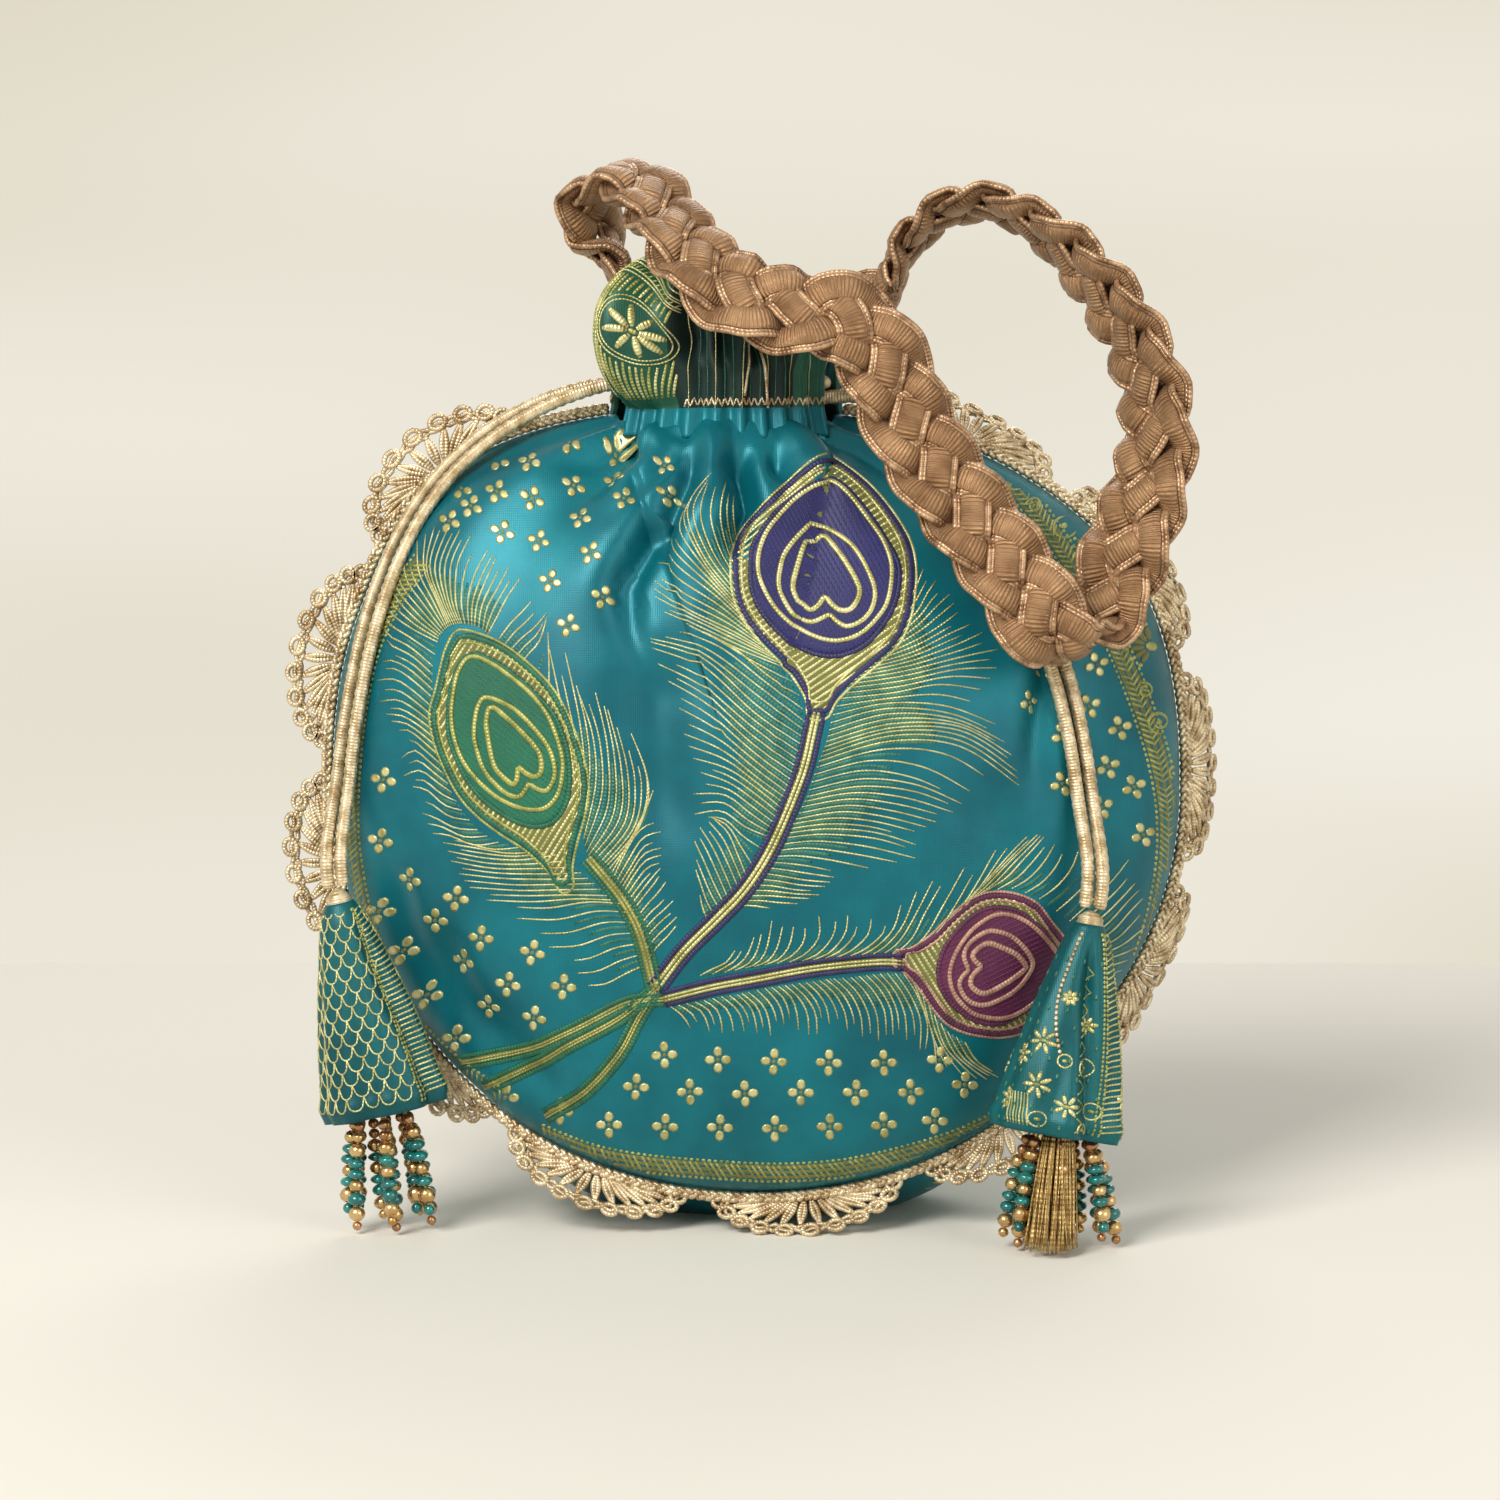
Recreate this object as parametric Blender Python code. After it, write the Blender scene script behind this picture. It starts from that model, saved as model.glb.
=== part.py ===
"""Gathered drawstring pouch with a braided handle, a lace edge and two beaded tassels.

Metres, +Z up. The pouch stands on its flat base, whose centre is the origin, and its front faces -Y.
"""
import math

import bpy
import bmesh
from mathutils import Vector

# Driving dimensions of the cloth body
BODY_HALF_WIDTH = 0.1050
BODY_OFFSET = -0.0025
BODY_UPPER_HEIGHT = 0.0957
BODY_LOWER_HEIGHT = 0.0945
BELLY_HEIGHT = 0.104
BELLY_SAG = 0.004
FRONT_DEPTH = 0.050
BACK_DEPTH = 0.048
SHOULDER_SQUARENESS = 2.5
SEAM_FORWARD = 0.026
SEAM_FORWARD_BELOW = 0.060
BASE_OVERSHOOT = 0.34
OVERSHOOT_BELOW = 0.042
BASE_SETTLE = 0.0009
PANEL_THICKNESS = 0.0012
LINING_GAP = 0.0014
LINING_THICKNESS = 0.0008
SEAM_GAP = 0.0003
SEAM_FLAT = 0.012
FIT_GAP = 0.0003

# Driving dimensions of the gathered neck
NECK_OFFSET = -0.010
NECK_LEAN_REACH = 0.050
NECK_RX = 0.0270
NECK_RY = 0.0170
CASING_HEIGHT = 0.0090
CASING_CLOTH = 0.0015
DRAWCORD = 0.0032
LINING_TOP_RISE = 0.0120
PLEATS = 12
PLEAT_DEPTH = 0.0024
PLEAT_REACH = 0.045
LONG_FOLD_DEPTH = 0.0018
LONG_FOLD_REACH = 0.110
LONG_FOLDS = 5
FOLDS_END_HEIGHT = 0.040
SLIT_FRONT_TURN = 29.0
SLIT_BACK_TURN = 6.0
CROWN_RISE = 0.021
CROWN_FLARE = 0.0085
CROWN_WAVE = 0.0042
CROWN_WAVES = 13
CROWN_EDGE_WAVE = 0.0014
PUFF_RISE = 0.0080
PUFF_FLARE = 0.0050
PUFF_TUCK = 0.0030
LOBE_RISE = 0.0030
LEFT_STRAP_DIP = 0.0130
RIGHT_STRAP_DIP = 0.0165

# Driving dimensions of the lace
LACE_SCALLOPS = 11
LACE_DEPTH = 0.0125
LACE_VALLEY = 0.0016
LACE_THICKNESS = 0.0020
LACE_RIB = 0.0009
LACE_LEAN_BELOW = 0.050
LACE_FRONT_TILT = 54.0
LACE_BACK_TILT = 65.0
LACE_START_RIGHT = 0.006
LACE_START_LEFT = 0.020
LACE_FAN_SHARE = 0.84

# Driving dimensions of the braided handle
STRAP_WIDTH = 0.0220
STRAP_THICKNESS = 0.0080
STRAP_END_WIDTH = 0.0120
STRAP_END_THICKNESS = 0.0050
STRAP_END_LENGTH = 0.024
STRAP_WIDENING = 0.026
BRAID_PITCH = 0.0138
BRAID_RELIEF = 0.0022
HANDLE_DEPTH_IN_NECK = 0.010

# Driving dimensions of the tassels
CONE_TOP_RADIUS = 0.0046
CONE_CLOTH = 0.0010
CONE_FOLD = 0.0007
CONE_HALF_WIDTH = 0.0155
CONE_HALF_DEPTH = 0.0105
STEM_RADIUS = 0.0033
KNOT_RADIUS = 0.0060
KNOT_HEIGHT = 0.0100
KNOT_ABOVE_MOUTH = 0.0100
BEAD_RADIUS = 0.0020
SMALL_BEAD_RADIUS = 0.0013
BEAD_THREAD = 0.0005
STRANDS = 6
FLOOR_CLEARANCE = 0.0010
LEFT_PIVOT = (-0.1040, -0.0270, 0.0810)
LEFT_MOUTH = (-0.0925, -0.0300, 0.0300)
RIGHT_PIVOT = (0.0775, -0.0415, 0.0780)
RIGHT_MOUTH = (0.0690, -0.0480, 0.0280)

# Mesh densities
SEAM_SPOKES = 34
NECK_SPOKES = 24
PANEL_RINGS = 8
LINING_SEAM_SPOKES = 17
LINING_NECK_SPOKES = 12
LINING_RINGS = 8

NECK = Vector((NECK_OFFSET, 0.0, BELLY_HEIGHT + BODY_UPPER_HEIGHT))
CASING_BOTTOM = NECK.z + FIT_GAP
NECK_RX_WALL = NECK_RX + 2.0 * FIT_GAP
NECK_RY_WALL = NECK_RY + 2.0 * FIT_GAP


def smoothstep(value):
    value = min(max(value, 0.0), 1.0)
    return value * value * (3.0 - 2.0 * value)


def bump(value, centre, width):
    """A smooth hill of height 1 around an angle in degrees."""
    away = abs((value - centre + 180.0) % 360.0 - 180.0)
    return 1.0 - smoothstep(away / width)


def clear_scene():
    for item in list(bpy.data.objects):
        bpy.data.objects.remove(item, do_unlink=True)


def material(name, colour, roughness, metallic=0.0):
    made = bpy.data.materials.new(name)
    made.use_nodes = True
    shader = made.node_tree.nodes["Principled BSDF"]
    shader.inputs["Base Color"].default_value = (*colour, 1.0)
    shader.inputs["Roughness"].default_value = roughness
    shader.inputs["Metallic"].default_value = metallic
    made.diffuse_color = (*colour, 1.0)
    return made


def add_solid(name, points, faces, look):
    """One closed body from points and faces, turned to face outward and shaded smooth."""
    mesh = bpy.data.meshes.new(name)
    mesh.from_pydata([tuple(point) for point in points], [], faces)
    shape = bmesh.new()
    shape.from_mesh(mesh)
    bmesh.ops.recalc_face_normals(shape, faces=shape.faces)
    shape.to_mesh(mesh)
    shape.free()
    mesh.shade_smooth()
    mesh.set_sharp_from_angle(angle=math.radians(50.0))
    mesh.materials.append(look)
    made = bpy.data.objects.new(name, mesh)
    bpy.context.scene.collection.objects.link(made)
    return made


def smooth_route(points, step):
    """Points spaced evenly along a smooth curve through the given ones, with the curve's share of each."""
    knots = [Vector(point) for point in points]
    dense = []
    marks = []
    for index in range(len(knots) - 1):
        before = knots[max(index - 1, 0)]
        here = knots[index]
        there = knots[index + 1]
        after = knots[min(index + 2, len(knots) - 1)]
        for part in range(16):
            t = part / 16.0
            dense.append(0.5 * ((2.0 * here) + (there - before) * t
                                + (2.0 * before - 5.0 * here + 4.0 * there - after) * t * t
                                + (3.0 * here - before - 3.0 * there + after) * t * t * t))
            marks.append(index + t)
    dense.append(knots[-1])
    marks.append(len(knots) - 1.0)
    lengths = [0.0]
    for index in range(1, len(dense)):
        lengths.append(lengths[-1] + (dense[index] - dense[index - 1]).length)
    count = max(2, round(lengths[-1] / step))
    route = []
    shares = []
    cursor = 0
    for number in range(count + 1):
        target = lengths[-1] * number / count
        while cursor < len(lengths) - 2 and lengths[cursor + 1] < target:
            cursor += 1
        span = lengths[cursor + 1] - lengths[cursor]
        t = (target - lengths[cursor]) / span if span > 0.0 else 0.0
        route.append(dense[cursor].lerp(dense[cursor + 1], t))
        shares.append(marks[cursor] + (marks[cursor + 1] - marks[cursor]) * t)
    return route, shares, lengths[-1]


# The cloth body

def seam_forward(height):
    return -SEAM_FORWARD * smoothstep((1.0 - height / SEAM_FORWARD_BELOW) / 0.88)


def outline_point(turn, inset):
    """A point of the seam outline; turn is 0 at the top, pi at the bottom, and negative on the left."""
    side = 1.0 if turn >= 0.0 else -1.0
    sine = abs(math.sin(turn))
    cosine = math.cos(turn)
    if cosine >= 0.0:
        power = 2.0 / SHOULDER_SQUARENESS
        x = (BODY_HALF_WIDTH - inset) * sine ** power
        z = BELLY_HEIGHT + (BODY_UPPER_HEIGHT - inset) * cosine ** power
    else:
        x = (BODY_HALF_WIDTH - inset) * sine
        z = BELLY_HEIGHT + (BODY_LOWER_HEIGHT - inset) * cosine
    lean = BODY_OFFSET + (NECK_OFFSET - BODY_OFFSET) * smoothstep((z - NECK.z) / NECK_LEAN_REACH + 1.0)
    return Vector((side * x + lean, seam_forward(z), z))


def seam_points(count, inset, neck_rx):
    """Evenly spaced points along the seam, from the right of the neck round the bottom to its left."""
    start = math.asin((neck_rx / (BODY_HALF_WIDTH - inset)) ** (SHOULDER_SQUARENESS / 2.0))
    dense = []
    for number in range(401):
        turn = start + (2.0 * math.pi - 2.0 * start) * number / 400
        dense.append(outline_point(turn if turn <= math.pi else turn - 2.0 * math.pi, inset))
    lengths = [0.0]
    for index in range(1, len(dense)):
        lengths.append(lengths[-1] + (dense[index] - dense[index - 1]).length)
    points = []
    cursor = 0
    for number in range(count + 1):
        target = lengths[-1] * number / count
        while cursor < len(lengths) - 2 and lengths[cursor + 1] < target:
            cursor += 1
        t = (target - lengths[cursor]) / (lengths[cursor + 1] - lengths[cursor])
        points.append(dense[cursor].lerp(dense[cursor + 1], t))
    return points, lengths[-1]


def boundary(side, seam_count, neck_count, inset, neck_inset):
    """The edge of one panel: the seam from neck to neck, then half of the neck ring back again."""
    rx = NECK_RX - neck_inset
    ry = NECK_RY - neck_inset
    points, _ = seam_points(seam_count, inset, rx)
    height = points[0].z
    for number in range(1, neck_count):
        turn = math.pi * (1.0 - number / neck_count)
        points.append(Vector((NECK.x + rx * math.cos(turn), side * ry * math.sin(turn), height)))
    return points


def pleat_depth(point, cosine_share):
    """How far the gathers sink the cloth at a point; a share of 0 gives the deepest they can be."""
    across = (point.x - NECK.x) / NECK_RX
    along = point.y / NECK_RY
    turn = math.atan2(along, across)
    away = max((point - NECK).length - NECK_RY, 0.0)
    fade = smoothstep(abs(point.y - seam_forward(point.z)) / SEAM_FLAT) * smoothstep(point.z / FOLDS_END_HEIGHT)
    short = 1.0 - cosine_share * math.cos(PLEATS * turn)
    long = 1.0 - cosine_share * math.cos(LONG_FOLDS * turn + 0.7)
    if cosine_share == 0.0:
        short = 2.0
        long = 2.0
    neck_fade = smoothstep(away / (0.74 * NECK_RX))
    short *= 0.3 + 0.7 * smoothstep(away / (0.30 * NECK_RX))
    return fade * (PLEAT_DEPTH * short * math.exp(-away / PLEAT_REACH)
                   + LONG_FOLD_DEPTH * long * neck_fade * math.exp(-away / LONG_FOLD_REACH))


def panel_grid(side, seam_count, neck_count, rings, inset, neck_inset, cosine_share, last_share):
    """Rings of points from a panel's middle to its edge; side is -1 for the front and 1 for the back."""
    depth = FRONT_DEPTH if side < 0 else BACK_DEPTH
    middle = Vector((BODY_OFFSET, side * (depth - inset), BELLY_HEIGHT - BELLY_SAG))
    edge = boundary(side, seam_count, neck_count, inset, neck_inset)
    grid = []
    for ring in range(1, rings + 1):
        angle = 0.5 * math.pi * (ring / rings if ring < rings else last_share)
        row = []
        for corner in edge:
            reach = math.sin(angle)
            if side > 0:
                low = smoothstep((1.0 - corner.z / OVERSHOOT_BELOW) / 0.71)
                reach += BASE_OVERSHOOT * low * math.sin(2.0 * angle)
            point = Vector((middle.x + (corner.x - middle.x) * reach,
                            middle.y + (corner.y - middle.y) * (1.0 - math.cos(angle)),
                            middle.z + (corner.z - middle.z) * reach))
            if side > 0 and point.z < inset + BASE_SETTLE:
                point.z = inset
            row.append(point)
        grid.append(row)
    return middle, sink_pleats(middle, grid, side, cosine_share)


def sink_pleats(middle, grid, side, cosine_share):
    """Push each point of a panel in along its own normal by the depth of the gathers there."""
    count = len(grid[0])
    moved = []
    for ring, row in enumerate(grid):
        inner = grid[ring - 1] if ring > 0 else [middle] * count
        outer = grid[ring + 1] if ring + 1 < len(grid) else row
        new_row = []
        for spoke, point in enumerate(row):
            around = row[(spoke + 1) % count] - row[spoke - 1]
            outward = outer[spoke] - inner[spoke]
            normal = around.cross(outward).normalized()
            if normal.dot(point - Vector((0.0, 0.0, BELLY_HEIGHT))) < 0.0:
                normal = -normal
            new_row.append(point - normal * pleat_depth(point, cosine_share))
        moved.append(new_row)
    return moved


def disc_faces(centre, first, rings, count):
    """Faces of a disc whose rings of points start at index first."""
    faces = []
    for spoke in range(count):
        after = (spoke + 1) % count
        faces.append((centre, first + spoke, first + after))
        for ring in range(rings - 1):
            low = first + ring * count
            faces.append((low + spoke, low + count + spoke, low + count + after, low + after))
    return faces


def make_panel(name, side, look):
    count = SEAM_SPOKES + NECK_SPOKES
    share = 1.0 - SEAM_GAP / (math.pi * 0.5 * (FRONT_DEPTH + BACK_DEPTH))
    points = []
    faces = []
    rims = []
    for inset in (0.0, PANEL_THICKNESS):
        middle, grid = panel_grid(side, SEAM_SPOKES, NECK_SPOKES, PANEL_RINGS, inset, inset, 1.0, share)
        centre = len(points)
        points.append(middle)
        first = len(points)
        for row in grid:
            points.extend(row)
        faces += disc_faces(centre, first, PANEL_RINGS, count)
        rims.append(first + (PANEL_RINGS - 1) * count)
    for spoke in range(count):
        after = (spoke + 1) % count
        faces.append((rims[0] + spoke, rims[1] + spoke, rims[1] + after, rims[0] + after))
    return add_solid(name, points, faces, look)


def make_lining(look):
    """One sack that hangs inside both panels and rises through the neck as a tube."""
    points = []
    faces = []
    tops = []
    count = LINING_SEAM_SPOKES + LINING_NECK_SPOKES
    wall_inset = CASING_CLOTH + DRAWCORD + 2.0 * FIT_GAP - (NECK_RX_WALL - NECK_RX)
    for layer in (0.0, LINING_THICKNESS):
        inset = PANEL_THICKNESS + LINING_GAP + layer
        neck_inset = wall_inset + layer
        rims = []
        for side in (-1, 1):
            middle, grid = panel_grid(side, LINING_SEAM_SPOKES, LINING_NECK_SPOKES, LINING_RINGS,
                                      inset, neck_inset, 0.0, 1.0)
            centre = len(points)
            points.append(middle)
            first = len(points)
            shared = {}
            for ring, row in enumerate(grid):
                for spoke, point in enumerate(row):
                    points.append(point)
                    shared[(ring, spoke)] = first + ring * count + spoke
            if side > 0:
                for spoke in range(LINING_SEAM_SPOKES + 1):
                    shared[(LINING_RINGS - 1, spoke)] = rims[0][spoke]
            for spoke in range(count):
                after = (spoke + 1) % count
                faces.append((centre, shared[(0, spoke)], shared[(0, after)]))
                for ring in range(LINING_RINGS - 1):
                    faces.append((shared[(ring, spoke)], shared[(ring + 1, spoke)],
                                  shared[(ring + 1, after)], shared[(ring, after)]))
            rims.append([shared[(LINING_RINGS - 1, spoke)] for spoke in range(count)])
        front, back = rims
        seam = LINING_SEAM_SPOKES
        loop = [back[0]] + back[:seam:-1] + [back[seam]] + front[seam + 1:]
        for number, height in enumerate((CASING_BOTTOM, CASING_BOTTOM + LINING_TOP_RISE)):
            raised = []
            for place in range(len(loop)):
                turn = 2.0 * math.pi * place / len(loop)
                raised.append(len(points))
                points.append(Vector((NECK.x + (NECK_RX - neck_inset) * math.cos(turn),
                                      (NECK_RY - neck_inset) * math.sin(turn), height)))
            for place in range(len(loop)):
                after = (place + 1) % len(loop)
                faces.append((loop[place], loop[after], raised[after], raised[place]))
            loop = raised
        tops.append(loop)
    for place in range(len(tops[0])):
        after = (place + 1) % len(tops[0])
        faces.append((tops[0][place], tops[1][place], tops[1][after], tops[0][after]))
    used = sorted({index for face in faces for index in face})
    renumbered = {old: new for new, old in enumerate(used)}
    faces = [tuple(renumbered[index] for index in face) for face in faces]
    return add_solid("lining", [points[index] for index in used], faces, look)


def sheet_faces(columns, rows):
    """Faces of a thick sheet: a grid of outer points, the same grid of inner points, and the rim."""
    stride = rows + 1
    other = (columns + 1) * stride
    faces = []
    for column in range(columns):
        for row in range(rows):
            a = column * stride + row
            faces.append((a, a + stride, a + stride + 1, a + 1))
            faces.append((other + a, other + a + 1, other + a + stride + 1, other + a + stride))
        low = column * stride
        top = low + rows
        faces.append((low, other + low, other + low + stride, low + stride))
        faces.append((top, top + stride, other + top + stride, other + top))
    for row in range(rows):
        for edge in (row, columns * stride + row):
            faces.append((edge, edge + 1, other + edge + 1, other + edge))
    return faces


# The gathered top with its cord channel

def crown_rise(turn):
    """Height of the gathered top above the channel at an angle in degrees round the neck."""
    puff = PUFF_RISE * bump(turn, 228.0, 48.0)
    lobe = LOBE_RISE * bump(turn, 72.0, 34.0)
    strap_gap = (LEFT_STRAP_DIP * min(1.0, 1.6 * bump(turn, 163.0, 42.0))
                 + RIGHT_STRAP_DIP * min(1.0, 1.7 * bump(turn, 22.0, 50.0)))
    return CROWN_RISE + puff + lobe - strap_gap


def crown_point(turn, share, inset):
    """A point of the gathered top; share is 0 at the channel's foot and 1 at the top edge."""
    channel = CASING_HEIGHT / (CASING_HEIGHT + crown_rise(turn))
    angle = math.radians(turn)
    height = CASING_BOTTOM + share * (CASING_HEIGHT + crown_rise(turn))
    height += CROWN_EDGE_WAVE * share ** 4 * math.cos(CROWN_WAVES * angle + 0.6)
    open_share = max((share - channel) / (1.0 - channel), 0.0)
    flare = (CROWN_FLARE + PUFF_FLARE * bump(turn, 228.0, 50.0)) * math.sin(open_share * 0.5 * math.pi)
    flare -= PUFF_TUCK * bump(turn, 228.0, 50.0) * smoothstep((open_share - 0.6) / 0.4)
    wave = CROWN_WAVE * open_share * math.cos(CROWN_WAVES * angle)
    radius_x = NECK_RX_WALL + flare + wave - inset
    radius_y = NECK_RY_WALL + flare + wave - inset
    return Vector((NECK.x + radius_x * math.cos(angle), radius_y * math.sin(angle), height))


def make_crown(name, start, end, look, columns=24, rows=6):
    points = []
    for inset in (0.0, CASING_CLOTH):
        for column in range(columns + 1):
            turn = start + (end - start) * column / columns
            for row in range(rows + 1):
                points.append(crown_point(turn, row / rows, inset))
    return add_solid(name, points, sheet_faces(columns, rows), look)


# The lace

def lace_tilt(spot):
    """Angle that the lace leans at: forward under the front, backward along the right side."""
    forward = math.radians(LACE_FRONT_TILT) * smoothstep((1.0 - spot.z / LACE_LEAN_BELOW) / 0.8)
    backward = math.radians(LACE_BACK_TILT) * smoothstep((spot.x / BODY_HALF_WIDTH - 0.19) / 0.29)
    return forward - backward * smoothstep((spot.z / LACE_LEAN_BELOW - 0.6) / 0.6)


def fan_reach(place):
    """How far the lace stands out at a place counted in scallops."""
    within = (place % 1.0 - 0.5) / LACE_FAN_SHARE
    swell = max(math.cos(math.pi * within), 0.0) ** 0.55
    return LACE_VALLEY + (LACE_DEPTH - LACE_VALLEY) * swell, swell


def lace_section(spot, way, number, columns, rows):
    """Two rows of points, front and back, from the seam to the lace's edge."""
    out = Vector((-way.z, 0.0, way.x))
    out = -out if out.dot(spot - Vector((0.0, 0.0, BELLY_HEIGHT))) < 0.0 else out
    out.normalize()
    reach, swell = fan_reach(number / columns)
    tilt = lace_tilt(spot)
    centre = spot.copy()
    front = []
    back = []
    for row in range(rows + 1):
        share = row / rows
        lean = tilt * smoothstep(1.4 * share)
        lie = out * math.cos(lean) + Vector((0.0, -1.0, 0.0)) * math.sin(lean)
        if row > 0:
            centre = centre + lie * (reach / rows)
        face = lie.cross(way).normalized()
        rib = LACE_RIB * (0.5 - number % 2) * swell * math.sin(math.pi * min(share + 0.1, 1.0))
        half = 0.5 * LACE_THICKNESS * (1.0 - 0.35 * share)
        front.append(centre + face * (half + rib))
        back.append(centre - face * (half - rib))
    return front, back


def make_lace(look, columns=8, rows=3):
    """A band of shell scallops that stands out from the seam."""
    dense, length = seam_points(LACE_SCALLOPS * columns * 4, -0.5 * SEAM_GAP - FIT_GAP, NECK_RX)
    usable = length - LACE_START_RIGHT - LACE_START_LEFT
    total = LACE_SCALLOPS * columns
    fronts = []
    backs = []
    for number in range(total + 1):
        along = (LACE_START_RIGHT + usable * number / total) / length * (len(dense) - 1)
        low = min(int(along), len(dense) - 2)
        spot = dense[low].lerp(dense[low + 1], along - low)
        spot.y -= 0.6 * LACE_THICKNESS * smoothstep((1.0 - spot.z / OVERSHOOT_BELOW) / 0.52)
        way = (dense[min(low + 2, len(dense) - 1)] - dense[max(low - 1, 0)]).normalized()
        front, back = lace_section(spot, way, number, columns, rows)
        fronts += front
        backs += back
    return add_solid("lace_trim", fronts + backs, sheet_faces(total, rows), look)


# The braided handle

STRAP_SEAT = NECK_RX_WALL - CASING_CLOTH - DRAWCORD - 2.0 * FIT_GAP - LINING_THICKNESS
STRAP_END_X = STRAP_SEAT * math.sqrt(1.0 - (0.5 * STRAP_END_WIDTH / (STRAP_SEAT - NECK_RX + NECK_RY)) ** 2)
STRAP_END_X -= 0.5 * STRAP_END_THICKNESS + FIT_GAP

# Each stop is a point on the handle's middle line and the way its outer face looks there
HANDLE_STOPS = [
    ((NECK.x - STRAP_END_X, 0.000, NECK.z - HANDLE_DEPTH_IN_NECK), (-1.0, 0.0, 0.0)),
    ((NECK.x - STRAP_END_X, 0.000, NECK.z + 0.014), (-1.0, 0.0, 0.0)),
    ((NECK.x - 0.0230, 0.006, 0.2290), (-0.85, 0.25, 0.35)),
    ((-0.0420, 0.011, 0.2420), (-0.85, 0.35, 0.35)),
    ((-0.0420, 0.004, 0.2530), (-0.45, 0.05, 0.90)),
    ((-0.0330, -0.007, 0.2555), (0.15, -0.35, 0.92)),
    ((-0.0255, -0.018, 0.2480), (0.40, -0.65, 0.62)),
    ((-0.0190, -0.030, 0.2390), (0.40, -0.78, 0.45)),
    ((-0.0085, -0.039, 0.2290), (0.20, -0.86, 0.45)),
    ((0.0050, -0.041, 0.2245), (0.05, -0.86, 0.50)),
    ((0.0190, -0.041, 0.2225), (0.10, -0.92, 0.35)),
    ((0.0280, -0.041, 0.2120), (0.15, -0.97, 0.15)),
    ((0.0340, -0.041, 0.1975), (0.15, -0.97, 0.15)),
    ((0.0420, -0.043, 0.1845), (0.10, -0.96, 0.25)),
    ((0.0510, -0.046, 0.1725), (0.15, -0.95, 0.25)),
    ((0.0600, -0.0495, 0.1600), (0.20, -0.95, 0.10)),
    ((0.0665, -0.0510, 0.1502), (0.25, -0.85, -0.45)),
    ((0.0725, -0.0470, 0.1462), (0.45, -0.25, -0.86)),
    ((0.0780, -0.0415, 0.1510), (0.40, 0.80, -0.45)),
    ((0.0838, -0.0380, 0.1630), (0.45, 0.88, 0.00)),
    ((0.0895, -0.0365, 0.1780), (0.58, 0.80, 0.00)),
    ((0.0930, -0.034, 0.1930), (0.66, 0.72, 0.10)),
    ((0.0915, -0.029, 0.2080), (0.70, 0.66, 0.20)),
    ((0.0855, -0.022, 0.2220), (0.70, 0.58, 0.38)),
    ((0.0760, -0.014, 0.2350), (0.60, 0.50, 0.60)),
    ((0.0650, -0.004, 0.2450), (0.40, 0.40, 0.82)),
    ((0.0530, 0.005, 0.2500), (0.05, 0.28, 0.95)),
    ((0.0410, 0.013, 0.2460), (-0.50, 0.25, 0.82)),
    ((0.0330, 0.018, 0.2360), (-0.88, 0.15, 0.42)),
    ((0.0285, 0.017, 0.2250), (-0.98, -0.10, 0.15)),
    ((0.0200, 0.010, 0.2225), (-0.45, -0.10, -0.88)),
    ((NECK.x + STRAP_END_X + 0.0020, 0.003, 0.2190), (-0.80, 0.00, -0.60)),
    ((NECK.x + STRAP_END_X, 0.000, NECK.z + 0.009), (-1.0, 0.0, 0.0)),
    ((NECK.x + STRAP_END_X, 0.000, NECK.z - HANDLE_DEPTH_IN_NECK), (-1.0, 0.0, 0.0)),
]


# Half of the handle's section: a share of its width, a share of its depth and the braid's row there
BRAID_SECTION = [
    (-1.00, 0.00, 1), (-0.80, 0.78, 1), (-0.42, 0.90, 0), (0.00, 1.00, 2), (0.42, 0.90, 0), (0.80, 0.78, 1),
]


def braid_height(along, row, turned_over):
    """Sink of the braid's surface: row 0 is a groove, 1 an outer row of pads and 2 the middle row."""
    if row == 0:
        return BRAID_RELIEF
    phase = 0.5 if row == 1 else 0.0
    phase += 0.5 if turned_over else 0.0
    pad = abs(math.cos(math.pi * (along / BRAID_PITCH + phase)))
    return BRAID_RELIEF * (1.0 - pad ** 0.7)


def make_handle(look, step=0.0031):
    route, shares, length = smooth_route([stop[0] for stop in HANDLE_STOPS], step)
    sides = 2 * len(BRAID_SECTION)
    points = []
    for index, spot in enumerate(route):
        before = route[max(index - 1, 0)]
        after = route[min(index + 1, len(route) - 1)]
        way = (after - before).normalized()
        low = min(int(shares[index]), len(HANDLE_STOPS) - 2)
        part = smoothstep(shares[index] - low)
        face = Vector(HANDLE_STOPS[low][1]).lerp(Vector(HANDLE_STOPS[low + 1][1]), part)
        face = (face - way * face.dot(way)).normalized()
        across = way.cross(face).normalized()
        along = length * index / (len(route) - 1)
        wide = smoothstep((min(along, length - along) - STRAP_END_LENGTH) / STRAP_WIDENING)
        half_width = 0.5 * (STRAP_END_WIDTH + (STRAP_WIDTH - STRAP_END_WIDTH) * wide)
        half_depth = 0.5 * (STRAP_END_THICKNESS + (STRAP_THICKNESS - STRAP_END_THICKNESS) * wide)
        for turned_over in (False, True):
            flip = -1.0 if turned_over else 1.0
            for x, y, row in BRAID_SECTION:
                sink = braid_height(along, row, turned_over) * wide
                points.append(spot + across * (flip * x * (half_width - 0.6 * sink))
                              + face * (flip * y * (half_depth - sink)))
    faces = []
    for index in range(len(route) - 1):
        for side in range(sides):
            after = (side + 1) % sides
            low = index * sides
            faces.append((low + side, low + after, low + sides + after, low + sides + side))
    faces.append(tuple(range(sides)))
    faces.append(tuple(range((len(route) - 1) * sides, len(route) * sides)))
    return add_solid("handle", points, faces, look)


# The drawcords

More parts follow.
